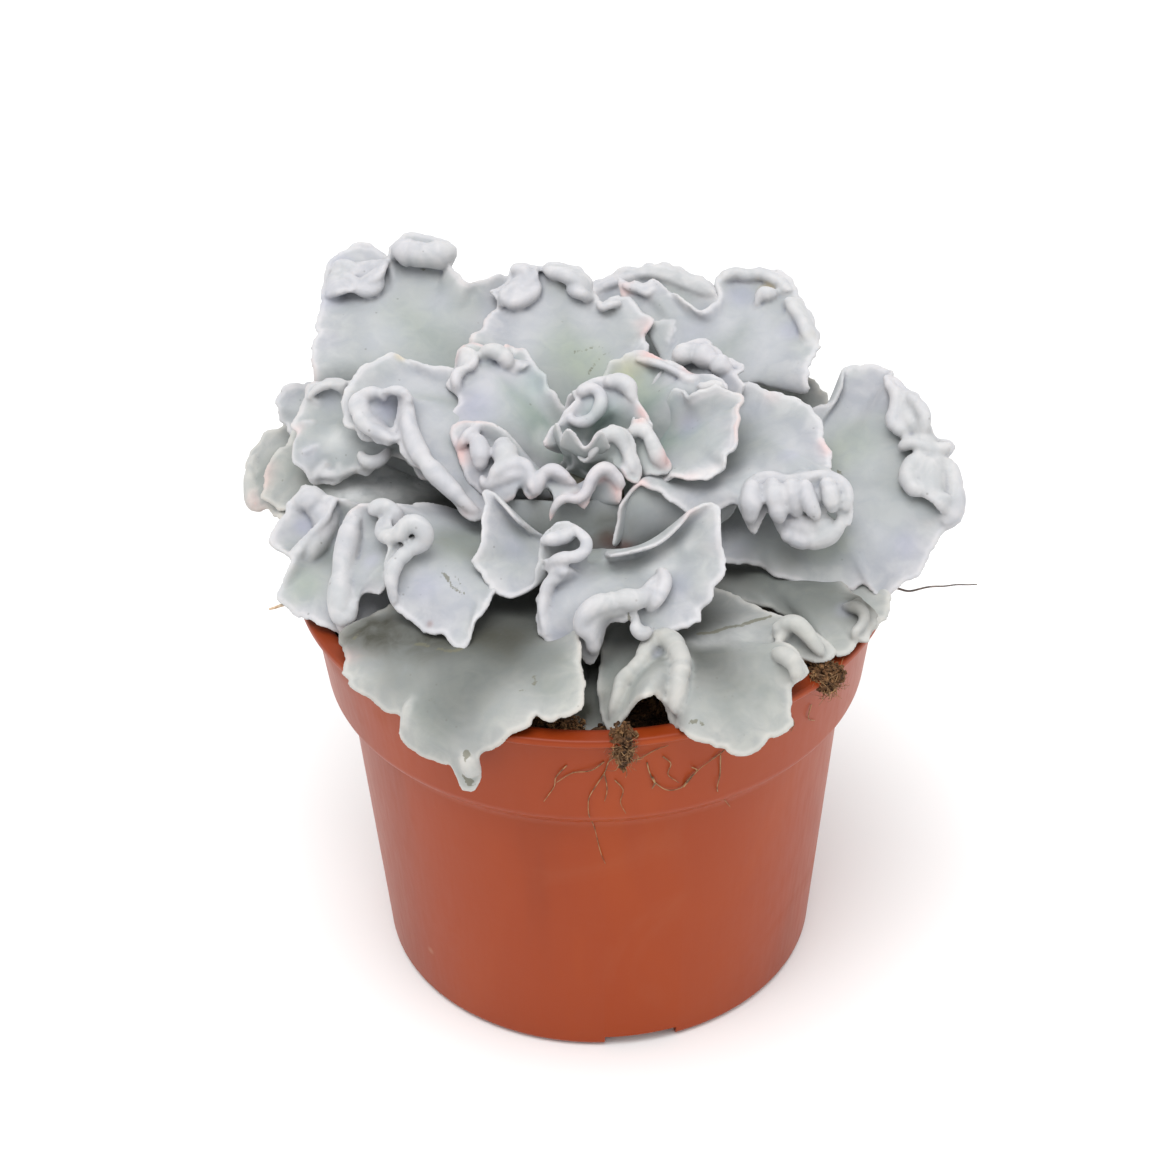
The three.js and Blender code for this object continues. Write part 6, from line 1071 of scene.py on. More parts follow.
# Patches of the leaf's own colour, of painted shade and of painted light: kind, x, y, z, radius and strength.
tintsAndShades = {
    "leaf_back": [
        ("pink", 10.7, 38.4, 123.1, 1.9, 0.6), ("green", 0, 31.3, 119, 6.6, 0.4),
        ("green", -6.1, 34.8, 121.1, 6.2, 0.25)],
    "leaf_back_right_heart": [
        ("pink", 12.4, 20.2, 125.9, 2.2, 0.75), ("straw", 7.5, 18.4, 124.1, 3.2, 0.35),
        ("green", 6.9, 16.5, 122.2, 6.8, 0.6), ("pink", 19.4, 14.1, 125.9, 1.6, 0.5)],
    "heart_leaf_back": [
        ("teal", 2.1, 4.3, 122.2, 5.1, 0.45), ("pink", 9.5, 3.1, 123.4, 1.4, 0.6),
        ("teal", -4.3, 1.6, 118.8, 3.9, 0.3), ("pale", -1.4, 4, 117.3, 3.2, 0.6)],
    "heart_leaf_right": [
        ("pink", 14.1, -6.9, 119.7, 1.6, 0.8), ("pink", 9.4, -1.6, 125.2, 1.2, 0.4)],
    "leaf_front_inner": [
        ("pink", 2.2, -9.4, 117.4, 1.5, 0.5), ("pink", 4, -11.9, 115.3, 1.5, 0.6),
        ("pink", -2.6, -13, 114.3, 1.5, 0.35), ("pink", -25.6, 0.4, 117.3, 2.2, 0.6),
        ("pink", -8.8, -14.5, 112, 1.2, 0.3)],
    "leaf_back_left_inner": [
        ("pink", -8.3, 10.6, 115.2, 1.8, 0.55), ("pink", -26.5, 24.9, 124.5, 1.4, 0.4),
        ("lavender", -22.6, 11.9, 120.3, 4.8, 0.45), ("teal", -10.2, 19.1, 122.2, 4.8, 0.35),
        ("lavender", -18.2, 23.9, 124.2, 3.2, 0.3), ("pale", -8.7, 8.9, 114.4, 3.6, 0.6)],
    "leaf_right_inner": [
        ("pink", 20.7, -10.9, 118.5, 2.3, 0.5), ("pink", 13.1, -6.2, 115.1, 2, 0.35),
        ("lavender", 19.4, 3.7, 119.8, 3.5, 0.5), ("teal", 12.6, 8, 116.8, 4.4, 0.5),
        ("teal", 15.2, 8.6, 123.3, 3.6, 0.3), ("pale", 21.4, -12.4, 118.5, 4.2, 0.75)],
    "leaf_left_inner": [
        ("pink", -33.1, -0.8, 115, 1.4, 0.25), ("straw", -38.4, 24.5, 125, 1.4, 0.4),
        ("lavender", -40.4, 10.9, 121.3, 3.6, 0.55), ("pink", -24.1, -9.6, 110.3, 1.6, 0.25),
        ("shade", -25.6, -4.9, 112.8, 2.4, 0.3), ("shade", -24.1, -1.2, 114.1, 3.1, 0.3)],
    "leaf_back_right": [
        ("straw", 36.8, 44, 127.4, 1.9, 0.95), ("straw", 44.6, 30.6, 124.1, 1.6, 0.4),
        ("pink", 7.7, 49.3, 125.4, 1.7, 0.4), ("lavender", 31.8, 44.1, 126.6, 3.7, 0.5),
        ("lavender", 41.1, 33.3, 124.5, 3.3, 0.35), ("lavender", 20.8, 38.5, 121.9, 4.6, 0.2)],
    "leaf_right_upper": [
        ("pink", 44.8, -4.1, 119.5, 1.8, 0.5), ("pink", 35.5, 10.6, 121.6, 1.6, 0.2),
        ("lavender", 32, 9.9, 119.9, 3.6, 0.25), ("lavender", 38.4, -5.9, 119.2, 2.7, 0.3),
        ("pink", 9.1, -10.8, 116.8, 1.5, 0.4), ("pale", 28.9, -10, 115.8, 4.3, 0.65)],
    "leaf_right_low": [
        ("pink", 64.8, 6.8, 116.4, 1.4, 0.5), ("green", 51.5, 7.2, 111.7, 8, 0.3),
        ("lavender", 60.8, -13.1, 102.4, 3.1, 0.35), ("pink", 65.2, -8.1, 104.9, 1.4, 0.2),
        ("green", 46, -13.8, 104.4, 5.9, 0.25), ("dusk", 30, -16.3, 100.3, 5.1, 0.45),
        ("dusk", 36.9, -16.7, 101.9, 4.7, 0.45), ("shade", 47, -11, 106.2, 4.3, 0.4)],
    "leaf_back_left": [
        ("lavender", -54.3, 50.2, 124.1, 4.6, 0.35), ("green", -36.8, 43.3, 122.8, 10.4, 0.14),
        ("lavender", -52.4, 59.2, 128.2, 3, 0.35), ("lavender", -31.1, 48.5, 124.5, 4.2, 0.2)],
    "leaf_left_upper": [
        ("pink", -59, 17.1, 112.8, 1.2, 0.2), ("lavender", -53, 22, 116.7, 2.8, 0.25),
        ("lavender", -56.7, 11.4, 110.3, 3.6, 0.25), ("pale", -51.1, 13.1, 112.7, 4.4, 0.45),
        ("shade", -48.7, 7.8, 107.7, 2.8, 0.3)],
    "leaf_left_middle": [
        ("pink", -66.6, 18.8, 101, 2.5, 0.35), ("pale", -43.1, 13, 103.4, 10.2, 0.95),
        ("pale", -33.5, 14.2, 101, 5.3, 0.8), ("shade", -33.7, 1.5, 100.6, 3.6, 0.5),
        ("pale", -49, 8.3, 103.3, 5.2, 0.7)],
    "leaf_left_low": [
        ("pink", -69.2, 19, 94.7, 2.1, 0.3)],
    "leaf_left_front_low": [
        ("lavender", -57.6, -3.6, 103.2, 2.4, 0.5), ("shade", -52.5, -9.3, 99.8, 4.3, 0.55),
        ("green", -56.7, -16.3, 97.9, 4.3, 0.35)],
    "leaf_left_front": [
        ("lavender", -32.4, -27.4, 105.1, 3.8, 0.35), ("rust", -31.5, -34.3, 100.9, 0.9, 0.4),
        ("shade", -48.5, -17.1, 103, 3.1, 0.3), ("lavender", -42.9, -19.9, 106, 2.7, 0.3),
        ("green", -26, -16.7, 106.9, 5.8, 0.3), ("shade", -27.5, -15.5, 107.3, 6.6, 0.55),
        ("shade", -22.5, -19.3, 106, 3.9, 0.4)],
    "leaf_front_upper": [
        ("lavender", -15.4, -20.6, 108.6, 3.5, 0.35), ("pink", 18.2, -23.9, 117.6, 1.5, 0.25),
        ("lavender", 16, -32.3, 107.4, 3, 0.35), ("lavender", -6.8, -38.3, 99.5, 2.6, 0.25),
        ("pale", 4.9, -23.9, 107.1, 3.8, 0.9), ("pale", 12.1, -25.7, 108.7, 4.6, 0.95),
        ("pale", 18.1, -26.6, 112.4, 2.3, 0.3)],
    "leaf_front_left_low": [
        ("pink", -46.3, -36.7, 95.7, 1.7, 0.35), ("dusk", -41.6, -31.7, 97.8, 8.4, 0.95),
        ("dusk", -47, -32.3, 97, 4.6, 0.5), ("dusk", -34.9, -36, 98, 7.2, 0.85),
        ("dusk", -28, -37.3, 98.8, 7.9, 0.9), ("dusk", -18.2, -37.6, 99.3, 7.9, 0.9),
        ("shade", -25.5, -47.5, 98.6, 10.4, 0.6), ("shade", -9.7, -42.6, 99.2, 5.3, 0.7),
        ("shade", -37, -42.5, 96.7, 6.8, 0.6)],
    "leaf_front_right_low": [
        ("dusk", -0.9, -37.7, 94.2, 3, 0.8), ("dusk", 0.1, -46.8, 91.6, 2.3, 0.4),
        ("pale", 27.7, -36.5, 98.3, 6.8, 0.4), ("pale", 20.3, -38.8, 99.2, 4.2, 0.35),
        ("lavender", 10.9, -43.3, 99.3, 1.9, 0.4)],
    "leaf_front_under": [
        ("dusk", -1.2, -31, 88, 3.9, 0.9), ("dusk", -3.7, -45.4, 87.8, 5.7, 0.9)],
    "leaf_right_front_low": [
        ("dusk", 51.2, -27.6, 99.3, 5.8, 0.9), ("shade", 36.2, -23.6, 96.8, 5.4, 0.5),
        ("dusk", 43.9, -22.9, 99, 5.4, 0.55), ("shade", 41.6, -22.9, 99, 9.7, 0.75),
        ("shade", 34.2, -18.4, 98.4, 5.8, 0.7), ("lavender", 47.9, -28.3, 97.9, 2.3, 0.3)],
    "leafBacks": [
        ("rust", 2.5, -14, 105.6, 2.6, 0.75), ("rust", -0.6, -14.1, 104.2, 3, 0.6),
        ("rust", 4.8, -14.8, 105, 2.4, 0.6), ("rust", 6.6, -15.2, 104, 2.6, 0.45),
        ("shade", 12.6, -11, 102.5, 7, 0.5), ("shade", -8, -12.5, 106, 10, 0.8),
        ("shade", 0, -13.5, 107.5, 6, 0.6), ("dusk", 5, -13.5, 109, 6, 0.5)],
}
# Old scars: points along each, half-width and strength.
scars = {
    "leaf_left_front": [
         ([(-29, -24.9, 106.3), (-27.9, -26.6, 105.8), (-27.3, -28.2, 105.3), (-25.9, -29.3, 104.9),
         (-25.2, -29.8, 104.6)], 0.32, 0.5),
         ([(-26.7, -25.9, 106), (-25.7, -27.7, 105.4)], 0.25, 0.35)],
    "leaf_front_left_low": [
         ([(-34.5, -37, 98), (-33.2, -37, 98.2), (-31.6, -37.9, 98.4)], 0.42, 0.6),
         ([(-29.9, -39.1, 98.5), (-28.1, -40.1, 98.8), (-26.4, -40.2, 99), (-25.3, -39.7, 99.1)], 0.41, 0.62),
         ([(-46.6, -33.2, 96.7), (-45.5, -32.5, 97.1)], 0.38, 0.4),
         ([(-24.5, -58.5, 88.4), (-23.9, -58.9, 87), (-23.6, -59.2, 85.1)], 0.67, 0.85),
         ([(-24.5, -59.2, 83.9), (-24, -59.3, 82.5)], 0.67, 0.8),
         ([(-31.2, -50.3, 95), (-30, -51.3, 95.1)], 0.37, 0.4),
         ([(-14.3, -51.5, 97.9), (-11.9, -50.2, 98.2), (-11.4, -48.2, 98.6)], 0.41, 0.35)],
    "leaf_front_right_low": [
         ([(19.3, -36.2, 98.8), (22.4, -35.4, 98.6), (25.2, -33.4, 98.2), (27.9, -32.8, 98.2),
         (30.8, -31.8, 98.5), (33.3, -31.2, 98.7)], 0.42, 0.7),
         ([(14.2, -41.5, 99.5), (14.3, -44.8, 100), (14, -47.6, 100.3)], 0.37, 0.7),
         ([(16.9, -58.9, 95.4), (18.3, -58.7, 95.6), (19.1, -59.2, 95.1)], 0.4, 0.5),
         ([(13.9, -49.8, 100.1), (13.6, -51.3, 99.4)], 0.33, 0.6)],
    "leaf_right_low": [
         ([(48.9, 3.1, 109.7), (49.5, 1.2, 109.5)], 0.36, 0.4)],
    "leaf_back": [
         ([(4.2, 33.5, 120), (2.1, 32.2, 119.3), (0.4, 30.1, 118.2), (-0.9, 27.7, 116.9)], 0.37, 0.35),
         ([(-3, 33.3, 120.2), (-0.3, 34.1, 120.4), (2.5, 34.6, 120.6)], 0.37, 0.3)],
    "leaf_front_upper": [
         ([(1.3, -38, 103.3), (1.5, -38.3, 101.6)], 0.3, 0.5),
         ([(6, -38.6, 105.9), (6.4, -39.3, 104.6)], 0.3, 0.5)],
    "leaf_back_left": [
         ([(-35.4, 56.6, 127.8), (-34.6, 56.3, 127.5)], 0.34, 0.4)],
    "leaf_right_upper": [
         ([(22.6, 7.9, 114.3), (23.3, 6.2, 114)], 0.32, 0.35)],
}


hiddenLeaves = {    # lower leaves under the rosette: even spoons with a gently waved margin
    "leaf_under_1": dict(facing=100, root=82.5, rise=17, length=52, width=38, droop=0.03, seed=31),
    "leaf_under_2": dict(facing=128, root=85, rise=20, length=56, width=36, droop=0.03, seed=32),
    "leaf_under_3": dict(facing=58, root=83.5, rise=20, length=50, width=36, droop=0.03, seed=33),
}
budLeaves = [
    dict(facing=100, root=112, rise=66, length=10, width=7.5, seed=31),
    dict(facing=225, root=112, rise=70, length=9, width=7, seed=32),
    dict(facing=345, root=112, rise=64, length=9, width=7, seed=33),
    dict(facing=262, root=112.5, rise=60, length=12, width=9, seed=34),
]
budShape, budRuffle = dict(droop=0, count=9), 0.2
underSheets = [    # backs of the inner leaves, from their rims down to the stem: upper and lower line
    dict(upper=[(-22, -4, 112), (-17, -7.5, 111.5), (-11, -9, 112), (-5, -10, 112), (1, -10, 112.5),
                (6, -11, 113)],
         lower=[(-8, -2.5, 97), (-6, -5.5, 96), (-4, -6.8, 95), (-1, -7.6, 94), (2, -8, 94), (4, -8, 94)],
         belly=4.5),
    dict(upper=[(4.5, -12.5, 111), (8.5, -9.5, 115), (12.5, -8.5, 114), (17, -10, 112.5),
                (22, -11.5, 111.5), (28, -11.5, 112)],
         lower=[(2.5, -8, 94), (4, -7.8, 94.5), (6, -6.5, 95), (8, -4.5, 96), (9.5, -2, 97), (10.5, 0, 98)],
         belly=5),
]
underSheet = dict(step=0.6, fewest=40, rows=26, thick=1.3, rim=0.6, reach=0.5)


def drawRow(seed):    # the same row of draws that the solids use
    state, whole = seed * 7919 + 17, 2147483648.0
    while True:
        state = math.fmod(float(state) * 1103515245.0 + 12345.0, whole)
        yield state / whole


def plainLeaf(facing, root, rise, length, width, droop, seed, count=13):    # a spoon, as in the solids
    draws, turn, climb = drawRow(seed), math.radians(facing), math.radians(rise)

    def place(along, side, lift):
        out = radiusAt(stemProfile, root) + along * length * math.cos(climb)
        sideways = side * width / 2
        return (stemCentre[0] + out * math.cos(turn) - sideways * math.sin(turn),
                stemCentre[1] + out * math.sin(turn) + sideways * math.cos(turn),
                root + length * (along * math.sin(climb) - droop * along ** 3) + lift)

    margin = []
    for k in range(count):
        angle = math.radians(-150 + 300 * k / (count - 1))
        along = 0.66 + 0.34 * math.cos(angle) * (1 + 0.1 * (next(draws) - 0.5))
        narrow = 0.9 if math.cos(angle) < 0 else 1
        side = math.sin(angle) * (1 + 0.14 * (next(draws) - 0.5)) * narrow
        wave = 1.6 if k % 2 else -1.2
        margin.append(place(along, side, 2.5 * abs(side) + wave * (0.6 + 0.6 * next(draws))))
    return dict(facing=facing, root=root, rise=rise, heart=place(0.68, 0, 0), margin=margin, seed=seed)


innerLeaves = {"heart_leaf_back", "heart_leaf_front", "heart_leaf_right", "leaf_back_right_heart",
               "leaf_back_left_inner", "leaf_right_inner", "leaf_front_inner", "leaf_back_right_inner"}
lowRoot = 88    # leaves that leave the stem below this height are the old, shaded ones


def sheetParts(upper, lower, belly):    # bellies out from the stem between two lines
    top, bottom = [evenRoute(line, underSheet['step'], underSheet['fewest'])[0] for line in (upper, lower)]
    count = min(len(top), len(bottom))
    top, bottom = [line[np.linspace(0, len(line) - 1, count).astype(int)] for line in (top, bottom)]
    out = unit((top + bottom) / 2 * np.array([1, 1, 0]) - stemCentre)
    grid = np.stack([top + (bottom - top) * v + belly * math.sin(math.pi * v) * out
                     for v in np.linspace(0, 1, underSheet['rows'])], 1)
    return thickSheet(grid, underSheet['thick'])


def innerPiece(name, parts, marks, material, voxel):    # several leaves or backs as one piece
    points, faces, marks = softSkin(*joinParts(parts), marks, voxel)
    return makePiece(name, points, faces, 'leaf', material, marks=tintedAndShaded(name, points, marks))


def makeLeaves():
    wax = {look: leafMaterial('leafWax_' + look, leafLooks[look]) for look in leafLooks}
    allLeaves = dict(leafTable)
    allLeaves.update({name: plainLeaf(**settings) for name, settings in hiddenLeaves.items()})
    for name, leaf in allLeaves.items():
        look = 'inner' if name in innerLeaves else 'low' if leaf['root'] < lowRoot else 'outer'
        points, faces, marks = rolledLeaf(name, leaf)
        piece = makePiece(name.replace('leaf', 'blade'), points, faces, 'leaf', wax[look], marks=marks)
        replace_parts(piece, name)
    parts = [leafMesh(dict(plainLeaf(**leaf, **budShape), ruffle=budRuffle)) for leaf in budLeaves]
    marks = {label: np.concatenate([part[2][label] for part in parts]) for label in parts[0][2]}
    bud = innerPiece('bud', [part[:2] for part in parts], marks, wax['inner'], skin['heartVoxel'])
    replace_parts(bud, 'heart_bud')
    parts = [sheetParts(**sheet) for sheet in underSheets]
    count = sum(len(points) for points, faces in parts)
    marks = dict(rim=np.full(count, underSheet['rim']), reach=np.full(count, underSheet['reach']),
                 under=np.ones(count))
    innerPiece('leafBacks', parts, marks, wax['inner'], skin['voxel'])
    print("leaves made:", len(allLeaves) + 1)


pot = dict(height=92, lip=60, lipDepth=1.8, collarTop=57.6, collarFoot=55, collarFootZ=69, shoulder=51,
           shoulderZ=66, foot=45.6, footChamfer=1.2, wall=1.5, floor=2, channel=2.8, channelInner=14,
           channelOuter=41, channelSlant=0.6, notches=3, notchWidth=15, notchDepth=12, notchTurn=-80,
           drains=6, drainRadius=3, drainRing=30, drainMiddle=3, drainCut=12, drainSides=32, sides=224,
           creaseAngle=40)
potLook = dict(face=(143, 54, 8), warm=(149, 59, 8), shade=(134, 50, 8), inside=(100, 34, 16),
               lipTopShade=(116, 42, 14), dustAndHighlight=(160, 104, 78), highlightSpot=(-0.036, -0.0305, 0.0135), roughness=0.4,
               smoothest=0.32, scuff=900, flow=26, fleck=160, fleckPatch=90, dusty=30, grit=240,
               collarSlope=0.1226, bumpStrength=0.12, bumpDepth=0.0003)
potSockets = {'Specular IOR Level': 0.22, 'Subsurface Weight': 0.02,
              'Subsurface Radius': (1.0, 0.35, 0.2), 'Subsurface Scale': 0.002}
# Where a layer begins and is full: the first four are places in metres.
potSpans = dict(inner=(-0.0011, -0.0005), high=(0.070, 0.074), lipTopShade=(0.0912, 0.0918),
                highlightSpot=(0.0005, 0.0014), fleck=(0.03, 0.11), fleckPatch=(0.66, 0.72), dusty=(0.56, 0.8))
potShares = dict(inside=1.0, lipTopShade=0.7, highlightSpot=0.6, fleck=0.45, dusty=0.16, scuffRough=0.14,
                 dustRough=0.16, scuffBump=0.2)


def roundedProfile(corners):    # corners: radius, height, rounding
    line = []
    for i, (r, z, bend) in enumerate(corners):
        here = np.array([r, z], float)
        if bend == 0 or i in (0, len(corners) - 1):
            line.append(here)
            continue
        before, after = np.array(corners[i - 1][:2]), np.array(corners[i + 1][:2])
        a, b = here + unit(before - here) * bend, here + unit(after - here) * bend
        for t in (0, 0.25, 0.5, 0.75, 1):
            line.append((1 - t) ** 2 * a + 2 * t * (1 - t) * here + t * t * b)
    return np.array(line)


def latheParts(line, sides):    # line starts and ends on the axis
    points, rings = [], []
    for r, z in line:
        if r < 1e-6:
            rings.append([len(points)] * sides)
            points.append((0, 0, z))
        else:
            rings.append(list(range(len(points), len(points) + sides)))
            points.extend([(r * math.cos(a), r * math.sin(a), z) for a in roundTurns(sides)])
    faces = []
    for lower, upper in zip(rings[:-1], rings[1:]):
        for k in range(sides):
            n = (k + 1) % sides
            corners = tuple(dict.fromkeys((lower[k], lower[n], upper[n], upper[k])))
            if len(corners) > 2:
                faces.append(corners)
    return points, faces


def potMaterial():
    look, share = potLook, potShares
    material, tree, shader = newMaterial('potPlastic', look['roughness'], potSockets)

    def span(value, label):
        return grade(tree, value, *potSpans[label])

    def vectorNode(operation, a, b=None):
        inputs = {0: a} if b is None else {0: a, 1: b}
        return plug(tree, 'ShaderNodeVectorMath', inputs, operation=operation).outputs

    flow = grain(tree, look['flow'], 3, 0.8, stretch=(1, 1, 0.35))
    colour = ramp(tree, flow, (0.3, rgb(*look['shade'])), (0.5, rgb(*look['face'])),
                  (0.72, rgb(*look['warm'])))
    place = objectPlace(tree)
    height = plug(tree, 'ShaderNodeSeparateXYZ', {'Vector': place}).outputs['Z']
    fromAxis = vectorNode('LENGTH', vectorNode('MULTIPLY', place, (1, 1, 0))[0])['Value']
    slant = times(tree, less(tree, height, pot['collarFootZ'] * mm), look['collarSlope'])
    depth = less(tree, less(tree, fromAxis, pot['collarFoot'] * mm), slant)
    # painted shade on the inner wall of the pot's upper part
    inner = less(tree, 1.0, span(depth, 'inner'))
    colour = lay(tree, colour, look['inside'], share['inside'], inner, span(height, 'high'))
    # painted shade on the flat top of the lip, which faces the bright sky
    colour = lay(tree, colour, look['lipTopShade'], share['lipTopShade'], span(height, 'lipTopShade'))
    # a painted highlight: a small pale spot low on the front, in the dust colour
    toHighlightSpot = vectorNode('DISTANCE', place, look['highlightSpot'])['Value']
    colour = lay(tree, colour, look['dustAndHighlight'], share['highlightSpot'], less(tree, 1.0, span(toHighlightSpot, 'highlightSpot')))
    colour = lay(tree, colour, look['dustAndHighlight'], share['fleck'],
                 cellDots(tree, place, look['fleck'], potSpans['fleck']),
                 span(grain(tree, look['fleckPatch'], 1), 'fleckPatch'))
    dusty = span(grain(tree, look['dusty'], 5, 1.2), 'dusty')
    colour = lay(tree, colour, look['dustAndHighlight'], share['dusty'], dusty)
    tree.links.new(colour, shader.inputs['Base Color'])
    scuff = grain(tree, look['scuff'], 3, 0, stretch=(1, 1, 0.12))
    worn = plus(tree, times(tree, scuff, share['scuffRough']), times(tree, dusty, share['dustRough']))
    tree.links.new(plus(tree, worn, look['smoothest']), shader.inputs['Roughness'])
    relief = plus(tree, times(tree, scuff, share['scuffBump']), grain(tree, look['grit'], 2))
    bump(tree, shader, relief, look['bumpStrength'], look['bumpDepth'])
    return material


def makePot():
    p = pot
    lipFoot, inFloor = p['height'] - p['lipDepth'], p['channel'] + p['floor']
    corners = [
        (0, 0, 0), (p['channelInner'], 0, 0.3),
        (p['channelInner'] + p['channelSlant'], p['channel'], 0.4), (p['channelOuter'], p['channel'], 0.4),
        (p['channelOuter'] + p['channelSlant'], 0, 0.3),
        (p['foot'] - p['footChamfer'], 0, 0.5), (p['foot'], p['footChamfer'], 0.6),
        (p['shoulder'], p['shoulderZ'] - 0.6, 1.8), (p['collarFoot'], p['collarFootZ'], 1.3),
        (p['collarTop'], lipFoot, 0.5), (p['lip'], lipFoot, 0.7),
        (p['lip'], p['height'], 0.7), (p['collarTop'] - p['wall'], p['height'], 0.6),
        (p['collarFoot'] - p['wall'], p['collarFootZ'], 1.0),
        (p['shoulder'] - p['wall'], p['shoulderZ'] - p['wall'], 1.0),
        (p['foot'] - p['wall'], inFloor, 1.0), (0, inFloor, 0),
    ]
    points, faces = latheParts(roundedProfile(corners), p['sides'])
    piece = makePiece('potShell', points, faces, 'pot_plastic', potMaterial())
    cutPot(piece)
    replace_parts(piece, 'pot')
    print("pot made")


def cutPot(piece):    # foot notches and drain holes
    cutters = []
    for k in range(pot['notches']):
        angle = math.radians(pot['notchTurn'] + k * 360 / pot['notches'])
        turn = Matrix.Rotation(angle, 4, 'Z') @ Matrix.Translation((pot['foot'] * mm, 0, 0))
        size = Matrix.Diagonal((pot['notchDepth'] * mm, pot['notchWidth'] * mm, 2 * pot['channel'] * mm, 1))
        bpy.ops.mesh.primitive_cube_add(size=1)
        cutters.append((bpy.context.object, turn @ size))
    for k in range(pot['drains']):
        angle = math.radians(pot['notchTurn'] + (k + 0.5) * 360 / pot['drains'])
        turn = Matrix.Translation((math.cos(angle) * pot['drainRing'] * mm,
                                   math.sin(angle) * pot['drainRing'] * mm, pot['drainMiddle'] * mm))
        bpy.ops.mesh.primitive_cylinder_add(radius=pot['drainRadius'] * mm, depth=pot['drainCut'] * mm,
                                            vertices=pot['drainSides'])
        cutters.append((bpy.context.object, turn))
    for cutter, place in cutters:
        cutter.data.transform(place)
        cutter.matrix_world = Matrix.Identity(4)
        cut = piece.modifiers.new('cut', 'BOOLEAN')
        cut.operation, cut.object, cut.solver = 'DIFFERENCE', cutter, 'EXACT'
        bpy.context.view_layer.objects.active = piece
        bpy.ops.object.modifier_apply(modifier=cut.name)
        bpy.data.objects.remove(cutter)
    piece.data.polygons.foreach_set('use_smooth', [True] * len(piece.data.polygons))
    piece.data.set_sharp_from_angle(angle=math.radians(pot['creaseAngle']))


bed = dict(top=84, gap=0.4, rings=84, spokes=300, sides=(78, 69, 64.5))
peatLook = dict(dark=(44, 31, 22), brown=(84, 60, 41), light=(140, 106, 72))
dryLook = dict(dark=(52, 37, 26), brown=(104, 75, 50), light=(160, 124, 85))
strandLooks = dict(peatFibre=((160, 124, 84), (92, 66, 42)), darkRoot=((110, 96, 88), (64, 54, 50)),
                   dryStalk=((206, 186, 160), (160, 128, 98)))    # light and dark
heaps = [(-52, -17, 5, 5.5), (-49, -25, 4, 4), (-8, -53, 6, 4.5), (8, -54, 5, 3.5), (46, -29, 6, 5),
         (40, -38, 5, 4.5)]    # x, y, spread and height
crumbs = dict(count=900, small=0.5, large=1.7, mostlySmall=2.2, lift=0.3, fromWall=1.5, inmost=0.02, seed=5)
fibres = dict(count=110, length=(4, 11), radius=0.12, fromWall=6, inmost=0.03, points=5, swerve=0.5,
              lift=0.4, uneven=(-0.3, 0.5))
clumps = {
    "peat_clump_left": dict(at=(-6, -52, 88.5), radii=(4, 3.6, 3.2), crumbs=170, fibres=70, seed=21,
                            point=0.3),
    "peat_clump_lip": dict(at=(4.5, -59, 90), radii=(3.3, 3, 5.2), crumbs=240, fibres=130, seed=22,
                           point=0.75),
    "peat_clump_right": dict(at=(43.5, -41, 91.5), radii=(4.3, 3.2, 3.4), crumbs=220, fibres=120,
                             seed=23, point=0.4),
}
# Least and most of each draw in a clump; outer draws are parts of its radii.
clumpRange = dict(crumb=(0.16, 0.62), outer=(0.62, 1.08), fibre=(0.05, 0.12), bend=(0.3, 1.4),
                  middle=(0.8, 2), end=(1.5, 3.6))
peatGrain = dict(roughness=0.95, patch=420, fine=1900, bumpStrength=0.8, bumpDepth=0.0008)
fibreGrain = dict(roughness=0.8, patch=700, fine=2600, bumpStrength=0.4, bumpDepth=0.0002)


def peatMaterial(name, look):
    material, tree, shader = newMaterial(name, peatGrain['roughness'], {'Specular IOR Level': 0.25})
    patch, fine = grain(tree, peatGrain['patch'], 4, 0.5), grain(tree, peatGrain['fine'], 3)
    colour = ramp(tree, patch, (0.32, rgb(*look['dark'])), (0.52, rgb(*look['brown'])),
                  (0.74, rgb(*look['light'])))
    speckle = ramp(tree, fine, (0.3, (0.6, 0.6, 0.6)), (0.7, (1.2, 1.15, 1.1)))
    tree.links.new(blend(tree, 1.0, colour, speckle, 'MULTIPLY'), shader.inputs['Base Color'])
    bump(tree, shader, plus(tree, fine, patch), peatGrain['bumpStrength'], peatGrain['bumpDepth'])
    return material


def fibreMaterial(name, light, dark):
    material, tree, shader = newMaterial(name, fibreGrain['roughness'])
    colour = ramp(tree, grain(tree, fibreGrain['patch'], 3), (0.35, rgb(*dark)), (0.65, rgb(*light)))
    tree.links.new(colour, shader.inputs['Base Color'])
    fine = grain(tree, fibreGrain['fine'], 2, stretch=(1, 1, 0.3))
    bump(tree, shader, fine, fibreGrain['bumpStrength'], fibreGrain['bumpDepth'])
    return material


def soilHeight(x, y):
    bumps = (0.8 * np.sin(0.31 * x + 1.2) * np.cos(0.27 * y) + 0.6 * np.sin(0.7 * x - 0.5 * y)
             + 0.4 * np.cos(0.9 * y + 0.4 * x))
    spot = np.stack([x, y, np.zeros_like(x)], -1)
    for heapX, heapY, spread, height in heaps:
        bumps = bumps + height * np.exp(-((x - heapX) ** 2 + (y - heapY) ** 2) / (2 * spread ** 2))
    return bed['top'] + bumps + 0.9 * crumbleNoise(spot, 4.2, 3) + 0.35 * crumbleNoise(spot, 1.3, 4)


def soilAt(x, y):
    return float(soilHeight(np.array([x]), np.array([y]))[0])


def wallRadius(z):    # inside of the pot at a height
    inner = [(pot['foot'], pot['channel'] + pot['floor']), (pot['shoulder'], pot['shoulderZ'] - pot['wall']),
             (pot['collarFoot'], pot['collarFootZ']), (pot['collarTop'], pot['height'])]
    return radiusAt(inner, z) - pot['wall']


def scatterSpot(draw, reach, least):    # an even spread of places round the middle
    radius, turn = reach * math.sqrt(draw.uniform(least, 1)), draw.uniform(0, fullTurn)
    return radius * math.cos(turn), radius * math.sin(turn)


